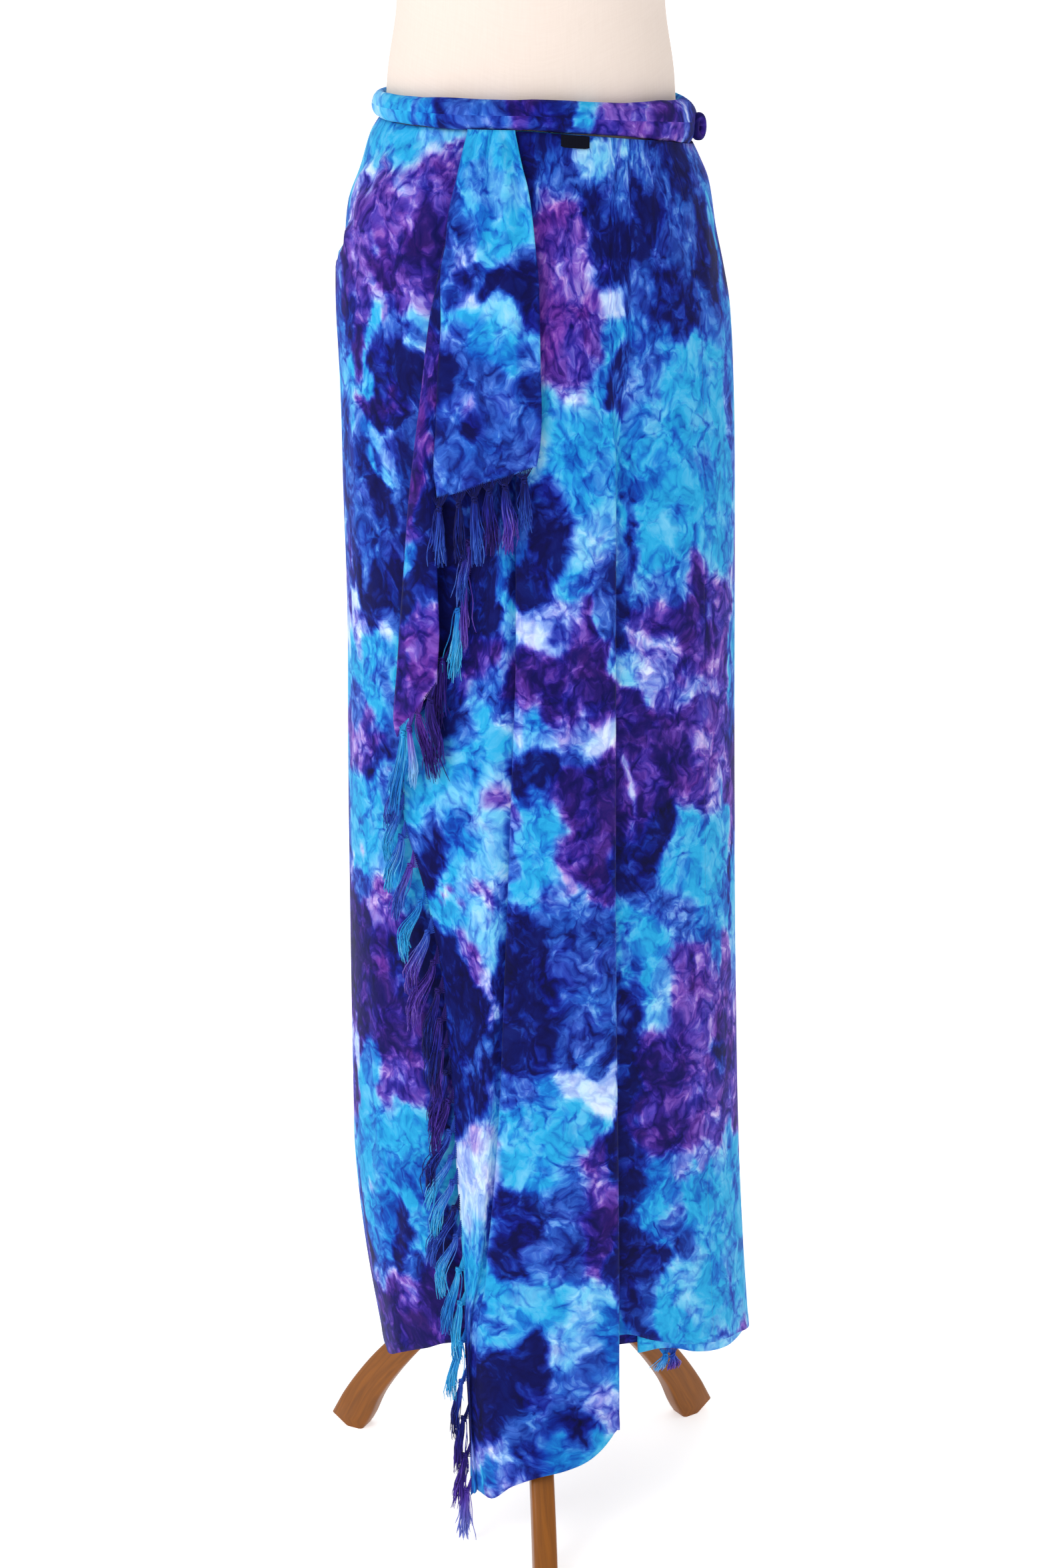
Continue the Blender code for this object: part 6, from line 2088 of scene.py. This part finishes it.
@dataclass(frozen=True)
class TuckedLoop:
    """The end of the roll, tucked back at the right as a small ring with ridges that run round it.

    Attributes:
        angle: where it sits on the roll.
        faces: the way its hole faces, half forward, so that the hole shows from the front.
        thick: half its thickness.
        bury: how deep it sits in the roll.
        drop: how far its middle lies below the roll's.
        wide: half the width of its middle line.
        tall: half the height of its middle line.
        ridge: size of its ridges, as a share.
        steps: round its middle line and round its section.
    """

    angle: float = 82.0
    faces: float = 50.0
    thick: float = 0.0036
    bury: float = 0.0012
    drop: float = 0.0035
    wide: float = 0.0052
    tall: float = 0.0078
    ridge: float = 0.07
    steps: tuple[int, int] = (64, 24)

    def shape(self) -> Grid:
        """Points of the loop: rows go round its section, columns along it.

        Returns:
            Points as rows, columns, 3.
        """
        up = Vector((0.0, 0.0, 1.0))
        reach = Drape.roll_value(self.angle, "thick") / 2 + self.thick - self.bury
        middle = Drape.roll_centre(self.angle) + Drape.roll_out(self.angle) * reach - up * self.drop
        side, depth = compass(self.faces)
        out = Vector((side, -depth, 0.0))
        along = Vector((-out.y, out.x, 0.0))
        columns, rows = self.steps
        grid = np.zeros((rows + 1, columns + 1, 3))
        for j in range(columns + 1):
            turn = math.tau * (j % columns) / columns
            ray = along * (self.wide * math.cos(turn)) + up * (self.tall * math.sin(turn))
            for i in range(rows + 1):
                bend = math.tau * (i % rows) / rows
                size = self.thick * (1.0 - self.ridge + self.ridge * math.cos(3 * bend + 2 * turn))
                away = ray.normalized() * math.cos(bend) + out * math.sin(bend)
                grid[i, j] = middle + ray + away * size
        return grid


@dataclass(frozen=True)
class WaistRoll:
    """The rolled top of the cloth."""

    stations: int = 300            # steps along it
    sides: int = 36                # steps round its section
    twists: int = 9                # how often its two ridges wind round it, in half turns
    ridge: float = 0.050           # how deep the hollows between them are, as a share
    # Slanting creases on the roll: angle at its middle, slant, half width in degrees, depth as a share
    creases: tuple = (
        (-55, 14, 2.2, 0.07), (-39, -9, 1.8, 0.06), (-22, 16, 2.6, 0.10), (-12, 18, 2.0, 0.07),
        (4, 14, 2.2, 0.08), (19, 20, 2.6, 0.09), (33, 16, 2.0, 0.07), (49, 18, 2.4, 0.10),
        (61, 22, 2.6, 0.12), (72, 30, 2.6, 0.05), (104, 18, 2.6, 0.09), (133, 16, 2.4, 0.08),
        (166, -14, 2.4, 0.08), (-150, 16, 2.4, 0.09), (-118, 14, 2.4, 0.08), (-84, 12, 2.4, 0.08),
    )
    # Swellings: angle, half width in degrees, share added to its thickness, and to its height
    swells: tuple = (
        (68, 17, 0.20, 0.16), (-88, 7, 0.45, -0.04), (-66, 6, 0.10, 0.05), (-44, 5, -0.04, -0.05),
        (-28, 8, 0.06, 0.05), (-6, 6, -0.05, -0.04), (14, 7, 0.08, 0.03), (34, 6, -0.06, -0.05),
        (52, 5, 0.10, 0.06), (88, 9, 0.10, -0.20), (118, 9, 0.10, 0.05), (152, 9, -0.06, -0.05),
        (-140, 10, 0.10, 0.05), (-112, 7, -0.06, -0.04),
    )
    # The edge of the outermost turn on the right: angle, and where it runs round the roll
    edge: tuple = ((-4.0, -95.0), (8.0, -40.0), (22.0, -46.0), (44.0, -58.0), (64.0, -80.0), (72.0, -100.0))
    edge_wide: float = 7.0         # half width of the dent along it, in degrees
    edge_dent: float = 0.10        # the dent's depth, as a share
    edge_step: float = 0.05        # how much thinner the roll is below it, as a share

    def size_at(self, angle: float, turn: float) -> float:
        """How the ridges, creases and the outermost turn's edge swell or dent the roll.

        Args:
            angle: round the axis, in degrees.
            turn: round the roll's section, in radians.

        Returns:
            The size, as a share.
        """
        front = max(math.cos(turn), 0.0)
        size = 1.0 - self.ridge * math.cos(turn + self.twists * math.radians(angle) / 2) ** 2
        for place, slant, wide, deep in self.creases:
            away = half_turn(angle - place + slant * math.sin(turn) * front)
            size -= deep * bell(away, wide) * front ** 0.5
        if self.edge[0][0] < angle < self.edge[-1][0]:
            away = half_turn(math.degrees(turn) - read(self.edge, angle))
            size -= self.edge_dent * bell(away, self.edge_wide)
            size -= self.edge_step * ramp(0.0, 10.0, -away) * ramp(-60.0, -30.0, away)
        return size

    def shape(self) -> Grid:
        """Points round the roll: rows go round its section, columns along it.

        Returns:
            Points as rows, columns, 3.
        """
        grid = np.zeros((self.sides + 1, self.stations + 1, 3))
        for j in range(self.stations + 1):
            angle = -180.0 + 360.0 * j / self.stations
            centre, out = Drape.roll_centre(angle), Drape.roll_out(angle)
            thick, tall = Drape.roll_value(angle, "thick") / 2, Drape.roll_value(angle, "tall") / 2
            for place, wide, thicker, taller in self.swells:
                share = bell(half_turn(angle - place), wide)
                thick, tall = thick * (1.0 + thicker * share), tall * (1.0 + taller * share)
            for i in range(self.sides + 1):
                turn = math.tau * (i % self.sides) / self.sides
                point = out * (thick * math.cos(turn)) + Vector((0, 0, tall * math.sin(turn)))
                grid[i, j] = centre + point * self.size_at(angle, turn)
        return grid

    def build(self, finish: Material) -> None:
        """Args:
            finish: the cloth's material.
        """
        shape, loop = self.shape(), TuckedLoop().shape()
        dye = steep(shape, ROLL_POURS, LAYER_ROLL, ROLL_BACK_POURS)
        roll = bend_grid("wound_waist_roll", shape, lay_flat(shape), finish, dye, closed=True)
        dye = np.tile(np.array(Dye.PURPLE.value), (*loop.shape[:2], 1))
        tuck = bend_grid("tucked_end", loop, lay_flat(loop), finish, dye, closed=True)
        for piece, node in ((roll, "waist_roll"), (tuck, "waist_tuck")):
            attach(piece, "root")
            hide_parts(node)
            LOG.info("%s: %d faces", piece.name, len(piece.data.polygons))


@dataclass(frozen=True)
class WovenTab:
    """The bare ribbon tab under the roll, folded double and caught in the roll above it."""

    left: float = 0.0226           # sideways places of its two sides
    right: float = 0.0442
    drop: float = 0.0094           # how far it hangs below the roll
    out: float = 0.0030            # how far it lies off the cloth
    bow: float = 0.0005            # how much further its middle lies
    corner: float = 0.0008         # how much its lower corners are rounded
    thick: float = 0.0008
    steps: tuple[int, int] = (26, 14)

    def build(self, finish: Material) -> Piece:
        """Make the tab as a narrow sheet with rounded lower corners.

        Args:
            finish: the ribbon's material.

        Returns:
            The piece.
        """
        across, down = self.steps
        grid = np.zeros((down + 1, across + 1, 3))
        for j in range(across + 1):
            x = mix(self.left, self.right, j / across)
            top = Drape.wall_top(Drape.angle_of(x, SHOULDER, LAYER_OPEN))
            inset = self.corner * max(0.0, 1.0 - 8.0 * min(j, across - j) / across)
            layer = LAYER_OPEN + self.out + self.bow * math.sin(math.pi * j / across)
            for i in range(down + 1):
                grid[i, j] = Drape.on_front(x, top - (self.drop - inset) * i / down, layer)
        piece = bend_grid("woven_tab", grid, lay_flat(grid), finish)
        shell = piece.modifiers.new("ribbon", "SOLIDIFY")
        shell.thickness, shell.offset = self.thick, 0.0
        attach(piece, "root")
        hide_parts("label")
        LOG.info("woven_tab: %d faces", len(piece.data.polygons))
        return piece


@dataclass(frozen=True)
class DressForm:
    """The limbless form under its linen cover, with sewn seams at its sides and back.

    Attributes:
        sides: steps round it.
        rows: steps up it.
        bust: height, half height and depth of the bust's swelling.
        bust_side: where it is deepest, and its half width, as shares of the form's half width.
        seams: where the seams run.
        seam_deep: a seam's depth, as a share.
        seam_wide: its half width in degrees.
    """

    sides: int = 120
    rows: int = 150
    bust: tuple[float, float, float] = (1.482, 0.040, 0.010)
    bust_side: tuple[float, float] = (0.50, 0.25)
    seams: tuple[float, ...] = (-90.0, 90.0, 180.0)
    seam_deep: float = 0.0035
    seam_wide: float = 0.9

    def build(self, finish: Material) -> None:
        """Make the body through the form's sections, with its seams drawn in.

        Args:
            finish: the cover's material.
        """
        low, high = FORM[0][0], FORM[-1][0]
        grid = np.zeros((self.rows + 3, self.sides + 1, 3))
        for i in range(self.rows + 1):
            z = mix(high, low, i / self.rows)
            half, front, back = (read(FORM, z, column) for column in (1, 2, 3))
            swell = self.bust[2] * bell(z - self.bust[0], self.bust[1])
            for j in range(self.sides + 1):
                angle = 360.0 * (j % self.sides) / self.sides
                side, depth = compass(angle)
                reach = front if depth > 0.0 else back
                out = swell * bell(abs(side) - self.bust_side[0], self.bust_side[1]) if depth > 0.0 else 0.0
                grooves = (bell(half_turn(angle - seam), self.seam_wide) for seam in self.seams)
                scale = 1.0 - self.seam_deep * sum(grooves)
                grid[i + 1, j] = (side * half * scale, -(depth * reach + out) * scale, z)
        grid[0], grid[-1] = (0.0, 0.0, high), (0.0, 0.0, low)
        body = bend_grid("linen_covered_form", grid, lay_flat(grid), finish, closed=True)
        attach(body, "root")
        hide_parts("form_body")
        LOG.info("linen_covered_form: %d faces", len(body.data.polygons))


@dataclass(frozen=True)
class WoodenStand:
    """The disc, the neck cap, the pole, the hub and the three curved legs."""

    finish: Material
    turned_sides: int = 64
    turned_edge: float = 0.0012
    leg_width: float = 0.020
    leg_round: float = 0.0035
    bend_steps: int = 5
    corner_steps: int = 4
    disc: tuple[float, float] = (0.060, 0.012)      # radius and thickness
    pole: tuple[float, float] = (0.0125, 0.200)     # radius and lower end
    # Radii and heights of the cap, from the neck up, and of the hub
    cap: tuple = (
        (0, 0), (0.050, 0), (0.050, 0.006), (0.044, 0.010), (0.034, 0.0122), (0.020, 0.0136), (0, 0.0146),
    )
    hub: tuple = ((0, 0.148), (0.024, 0.148), (0.030, 0.154), (0.030, 0.190), (0.020, 0.200), (0, 0.200))

    def turn(self, name: str, node: str, profile: Sequence[tuple[float, float]]) -> None:
        """Spin a profile of radii and heights round the axis, round its edges and map its grain.

        Args:
            name: the piece's name.
            node: the solid that it stands for.
            profile: radii and heights.
        """
        bm = bmesh.new()
        verts = [bm.verts.new((radius, 0.0, z)) for radius, z in profile]
        edges = [bm.edges.new(pair) for pair in zip(verts, verts[1:])]
        bmesh.ops.spin(bm, geom=verts + edges, cent=(0, 0, 0), axis=(0, 0, 1), angle=math.tau,
                       steps=self.turned_sides, use_merge=True)
        bmesh.ops.remove_doubles(bm, verts=bm.verts, dist=0.00001)
        bmesh.ops.recalc_face_normals(bm, faces=bm.faces)
        rims = [e for e in bm.edges if len(e.link_faces) == 2 and e.calc_face_angle() > math.radians(40)]
        bmesh.ops.bevel(bm, geom=rims, offset=self.turned_edge, offset_type="OFFSET", affect="EDGES",
                        segments=3, profile=0.5, material=-1)
        grain = bm.loops.layers.uv.new("grain")
        for face in bm.faces:
            for loop in face.loops:
                spot = loop.vert.co
                loop[grain].uv = (math.atan2(spot.y, spot.x) * 0.03 + math.hypot(spot.x, spot.y), spot.z)
        self.keep(name, node, bm)

    def keep(self, name: str, node: str, bm: bmesh.types.BMesh) -> None:
        """Turn a finished bmesh into a piece of the stand.

        Args:
            name: the piece's name.
            node: the solid that it stands for.
            bm: its faces, which are freed.
        """
        bmesh.ops.translate(bm, verts=bm.verts, vec=(*STAND_AT, 0.0))
        piece = to_object(name, bm, self.finish)
        piece.data.set_sharp_from_angle(angle=math.radians(35.0))
        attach(piece, "root")
        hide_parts(node)
        LOG.info("%s: %d faces", name, len(piece.data.polygons))

    def leg_stations(self) -> list[Sequence[float]]:
        """Sections along a leg, on a smooth curve through those of the table down to its flat foot.

        Returns:
            Numbers as in the table of a leg's sections, from the foot up.
        """
        stations = []
        for k, (first, second) in enumerate(zip(LEG_SECTIONS, LEG_SECTIONS[1:])):
            before = LEG_SECTIONS[max(k - 1, 0)]
            after = LEG_SECTIONS[min(k + 2, len(LEG_SECTIONS) - 1)]
            steps = 1 if k >= len(LEG_SECTIONS) - 3 else self.bend_steps
            for t in (step / steps for step in range(steps)):
                stations.append([
                    0.5 * (2 * b + (c - a) * t + (2 * a - 5 * b + 4 * c - d) * t ** 2
                           + (3 * b - a - 3 * c + d) * t ** 3)
                    for a, b, c, d in zip(before, first, second, after)
                ])
        return [*stations, LEG_SECTIONS[-1]]

    def leg(self, name: str, node: str, angle: float) -> None:
        """Bridge rounded sections along one curved leg, from the hub to its flat foot.

        Args:
            name: the piece's name.
            node: the solid that it stands for.
            angle: the way it points.
        """
        side_way, depth = compass(angle)
        out = Vector((side_way, -depth, 0.0))
        wide = Vector((depth, side_way, 0.0)) * (self.leg_width / 2)
        bm = bmesh.new()
        loops, charts = [], {}
        travelled, previous = 0.0, None
        for far, high, near, low in self.leg_stations():
            upper, lower = out * far + Vector((0, 0, high)), out * near + Vector((0, 0, low))
            across, middle = (lower - upper) / 2, (upper + lower) / 2
            travelled += (middle - previous).length if previous is not None else 0.0
            previous = middle
            level, rise = self.leg_round / wide.length, min(self.leg_round / across.length, 0.9)
            verts = []
            for sx, sy, start in ((-1, -1, 180), (1, -1, 270), (1, 1, 0), (-1, 1, 90)):
                for k in range(self.corner_steps):
                    bend = math.radians(start + 90.0 / (self.corner_steps - 1) * k)
                    side = sx * (1 - level) + level * math.cos(bend)
                    tall = sy * (1 - rise) + rise * math.sin(bend)
                    vert = bm.verts.new(middle + wide * side + across * tall)
                    charts[vert] = (tall * across.length + side * 0.01, travelled)
                    verts.append(vert)
            loops.append([bm.edges.new(pair) for pair in zip(verts, verts[1:] + verts[:1])])
        for low_loop, high_loop in zip(loops, loops[1:]):
            bmesh.ops.bridge_loops(bm, edges=low_loop + high_loop)
        for end in (loops[0], loops[-1]):
            bmesh.ops.contextual_create(bm, geom=end)
        bmesh.ops.recalc_face_normals(bm, faces=bm.faces)
        grain = bm.loops.layers.uv.new("grain")
        for face in bm.faces:
            for loop in face.loops:
                loop[grain].uv = charts[loop.vert]
        self.keep(name, node, bm)

    def build(self) -> None:
        """Make every wooden piece."""
        top = FORM[0][0] - SEAT_GAP
        radius, low = self.disc[0], top - self.disc[1]
        self.turn("base_disc", "form_base", [(0, top), (radius, top), (radius, low), (0, low)])
        neck = FORM[-1][0] + SEAT_GAP
        self.turn("turned_neck_cap", "neck_cap", [(radius, neck + rise) for radius, rise in self.cap])
        radius, pole_top, pole_low = self.pole[0], low - SEAT_GAP, self.pole[1] + SEAT_GAP
        ends = [(0, pole_low), (radius, pole_low), (radius, pole_top), (0, pole_top)]
        self.turn("stand_pole", "pole", ends)
        self.turn("stand_hub", "hub", self.hub)
        for node, angle in LEG_ANGLES.items():
            self.leg("curved_" + node, node, angle)


@dataclass(frozen=True)
class Studio:
    """The photograph's camera, a plain pale floor and plain soft light."""

    sensor: float = 36.0
    ambient: float = 0.74
    # floor_glow is the strength of the floor's own white glow: painted light that clears the shadows on it
    floor_glow: float = 0.55
    floor_tones: tuple[str, str] = ("#FAFAFA", "#FDFDFD")
    aim: tuple[float, float, float] = (0.0, 0.0, 0.75)
    # Each lamp's name, place, size and power
    lamps: tuple = (
        ("soft_key", (-2.0, -2.4, 2.7), 1.8, 44.0), ("soft_back", (-0.8, 2.8, 2.6), 2.4, 16.0),
    )

    def camera(self) -> None:
        """Put the camera where the photograph was taken from."""
        lens = bpy.data.cameras.new("photo_camera")
        lens.sensor_fit, lens.sensor_height = "VERTICAL", self.sensor
        lens.lens = FOCAL_PX / IMAGE_TALL * self.sensor
        made = bpy.data.objects.new("photo_camera", lens)
        made.location = (CAMERA_AT[0] + STAND_AT[0], CAMERA_AT[1] + STAND_AT[1], CAMERA_AT[2])
        made.rotation_euler = (math.radians(90.0) - CAMERA_PITCH, 0.0, 0.0)
        bpy.context.scene.collection.objects.link(made)
        bpy.context.scene.camera = made

    def floor(self) -> None:
        """Lay a wide matt floor that glows white by itself, a painted light that clears the shadows on it,
        so that the white goes on past the view.
        """
        made, tree, shader = new_material("matt_white_glowing_floor")
        spot = add(tree, "TexCoord").outputs["Object"]
        grain = add(tree, "TexNoise", {"Vector": spot, "Scale": 60.0, "Detail": 2.0}).outputs["Fac"]
        dark, light = (linear(tone) for tone in self.floor_tones)
        tone = add(tree, "Mix", {0: grain, 6: dark, 7: light}, data_type="RGBA").outputs[2]
        # The floor's own white glow is painted light: it clears the shadows on the floor and lights the
        # stand and cloth a little from below.
        feed(tree, shader, {
            "Base Color": tone, "Roughness": 0.9, "Emission Color": (1.0, 1.0, 1.0, 1.0),
            "Emission Strength": self.floor_glow,
        })
        bm = bmesh.new()
        bmesh.ops.create_grid(bm, x_segments=8, y_segments=8, size=30.0)
        mesh = bpy.data.meshes.new("studio_floor")
        bm.to_mesh(mesh)
        bm.free()
        mesh.materials.append(made)
        floor = bpy.data.objects.new("studio_floor", mesh)
        bpy.context.scene.collection.objects.link(floor)

    def lights(self) -> None:
        """Light it as softly and evenly as the photograph is lit, a little stronger from the upper left."""
        world = bpy.data.worlds.new("studio_light")
        world.use_nodes = True
        sky = world.node_tree.nodes["Background"]
        # The backdrop itself shows white, and lights the rest a little less
        seen = add(world.node_tree, "LightPath").outputs["Is Camera Ray"]
        strength = add(world.node_tree, "MapRange", {0: seen, 3: self.ambient, 4: 1.0}).outputs[0]
        feed(world.node_tree, sky, {"Color": (1.0, 1.0, 1.0, 1.0), "Strength": strength})
        bpy.context.scene.world = world
        for name, place, size, power in self.lamps:
            lamp = bpy.data.lights.new(name, "AREA")
            lamp.energy, lamp.size = power, size
            made = bpy.data.objects.new(name, lamp)
            made.location = place
            made.rotation_euler = (Vector(self.aim) - made.location).to_track_quat("-Z", "Y").to_euler()
            bpy.context.scene.collection.objects.link(made)

    def build(self) -> None:
        """Set up the studio, with the colours shown as they are."""
        self.camera()
        self.floor()
        self.lights()
        bpy.context.scene.view_settings.view_transform = "Standard"


@dataclass
class Wrap:
    """The whole wrap: every stretch of the one cloth that shows.

    Attributes:
        under: the inner layer.
        outer: the outer layer.
        inner_end: the turned-back inner end.
        cascade: the cascade fold.
        flap: the front flap.
        spacing: wanted distance between columns of the layers.
        cascade_spacing: the same for the cascade.
        flap_spacing: the same for the flap.
        rows: rows of points down each stretch.
    """

    under: ClothStretch = field(init=False)
    outer: ClothStretch = field(init=False)
    inner_end: ClothStretch = field(init=False)
    cascade: ClothStretch = field(init=False)
    flap: ClothStretch = field(init=False)
    spacing: float = 0.0048
    cascade_spacing: float = 0.0040
    flap_spacing: float = 0.0030
    rows: dict[str, int] = field(default_factory=lambda: {
        "under": 190, "outer": 200, "inner_end": 120, "cascade": 110, "flap": 80,
    })

    def hang_layers(self) -> None:
        """Hang the two layers and the turned-back inner end."""
        grid = settle_columns(
            Drape.UNDER_ANGLES, lambda angle, z: Drape.around(angle, z, 0.0), Drape.wall_top,
            lambda angle: read(INNER_HEM, angle), self.rows["under"],
        )
        self.under = ClothStretch(
            "inner_layer", "under_wrap", smooth_across(grid, self.spacing), LEFT_POURS, 0.0,
            LEFT_EDGE_POURS + LEFT_BACK_POURS
            + [replace(pour, across=pour.across - 360.0) for pour in BACK_POURS],
            LEFT_FOLDS,
        )
        grid = settle_columns(
            Drape.outer_stations(), lambda station, z: Drape.outer_place(*station, z),
            lambda station: Drape.outer_top(*station), lambda station: Drape.outer_hem(*station),
            self.rows["outer"],
        )
        self.outer = ClothStretch(
            "outer_layer", "outer_wrap", smooth_across(grid, self.spacing), OUTER_POURS, LAYER_PANEL,
            RIGHT_EDGE_POURS + RIGHT_BACK_POURS + BACK_POURS, OUTER_FOLDS,
        )
        grid = settle_columns(
            INNER_END_RUN, lambda place, z: Drape.around(place[0], z, place[1]),
            lambda place: Drape.wall_top(place[0]), lambda place: read(INNER_END_HEM, place[0]),
            self.rows["inner_end"],
        )
        self.inner_end = ClothStretch(
            "turned_inner_end", "inner_end", smooth_across(grid, self.spacing), INNER_END_POURS,
            LAYER_INNER_END,
        )

    def hang_corner(self) -> None:
        """Hang the corner that falls out of the roll: the cascade and the flap."""
        grid = settle_columns(
            CASCADE_SHARES, Drape.cascade_place,
            lambda share: Drape.top_under_roll(lambda z: Drape.cascade_place(share, z)),
            lambda share: read(CASCADE_LOWER_EDGE, share), self.rows["cascade"],
        )
        self.cascade = ClothStretch(
            "cascade_fold", "cascade", smooth_across(grid, self.cascade_spacing), CASCADE_POURS,
            LAYER_CASCADE, laid=CASCADE_FOLDS,
        )
        grid = settle_columns(
            FLAP_SHARES, Drape.flap_place,
            lambda share: Drape.top_under_roll(lambda z: Drape.flap_place(share, z)),
            lambda share: read(FLAP_LOWER_EDGE, share), self.rows["flap"],
        )
        self.flap = ClothStretch(
            "front_flap", "flap", smooth_across(grid, self.flap_spacing), FLAP_POURS, LAYER_FLAP,
            laid=FLAP_FOLDS,
        )

    def build(self, finish: Material) -> None:
        """Hang and dye the stretches.

        Args:
            finish: the cloth's material.
        """
        self.hang_layers()
        self.hang_corner()
        for stretch in (self.under, self.inner_end, self.outer, self.cascade, self.flap):
            stretch.build(finish)

    def fringes(self, finish: Material) -> dict[str, list[Piece]]:
        """Knot the fringe on the cloth's two ends.

        Args:
            finish: the threads' material.

        Returns:
            The runs of tassels on each stretch, by the stretch's name.
        """
        back = [self.under.piece, self.outer.piece]
        edge, beside = self.outer.points[:, -1], self.outer.points[:, -3]
        runs = {
            "outer": [
                Fringe("tassels_recess", "fringe_recess", edge, beside, RECESS_TASSELS, True, back),
                Fringe("tassels_upper", "fringe_upper", edge, beside, UPPER_TASSELS, True, back),
                Fringe("tassels_middle", "fringe_middle", edge, beside, MIDDLE_TASSELS, True, back),
                Fringe("tassels_lower", "fringe_lower", edge, beside, LOWER_TASSELS, True, back),
                Fringe("tassels_hem", "fringe_hem", edge, beside, HEM_TASSELS, True, back),
            ],
        }
        low = self.cascade.points
        # Its lower edge between the two turned sides
        turned = range(low.shape[1] // 10, int(low.shape[1] * 0.90))
        runs["cascade"] = [
            Fringe("tassels_cascade", "fringe_cascade", low[-1, turned], low[-3, turned], CASCADE_TASSELS,
                   False, back),
        ]
        low = self.flap.points
        runs["flap"] = [
            Fringe("tassels_flap", "fringe_flap", low[-1], low[-3], FLAP_TASSELS, False,
                   back + [self.cascade.piece]),
        ]
        low = self.inner_end.points
        # The hem of the part that is turned back
        last = slice(int(low.shape[1] * 0.78), None)
        runs["inner"] = [
            Fringe("tassels_inner", "fringe_inner", low[-1, last], low[-3, last], INNER_TASSELS, False,
                   [self.under.piece]),
        ]
        for group in runs.values():
            for run in group:
                run.build(finish)
        return {name: [run.piece for run in group] for name, group in runs.items()}


def main() -> None:
    """Build the studio, the form and its stand, the wrap and its fringe."""
    logging.basicConfig(level=logging.INFO, format="%(message)s")
    noise.seed_set(NOISE_SEED)
    Studio().build()
    rayon, thread = DyedRayon().build(), RayonThread().build()
    DressForm().build(LinenCover().build())
    WoodenStand(StainedHardwood().build()).build()
    WaistRoll().build(rayon)
    wrap = Wrap()
    wrap.build(rayon)
    tab = WovenTab().build(WovenRibbon().build())
    fringes = wrap.fringes(thread)
    wrap.under.declare(["form_body"])
    wrap.inner_end.declare(["under_wrap"], fringes["inner"])
    wrap.outer.declare(["under_wrap"], fringes["outer"] + [tab])
    wrap.cascade.declare(["outer_wrap"], fringes["cascade"])
    wrap.flap.declare(["outer_wrap"], fringes["flap"])


if __name__ == "__main__":
    main()
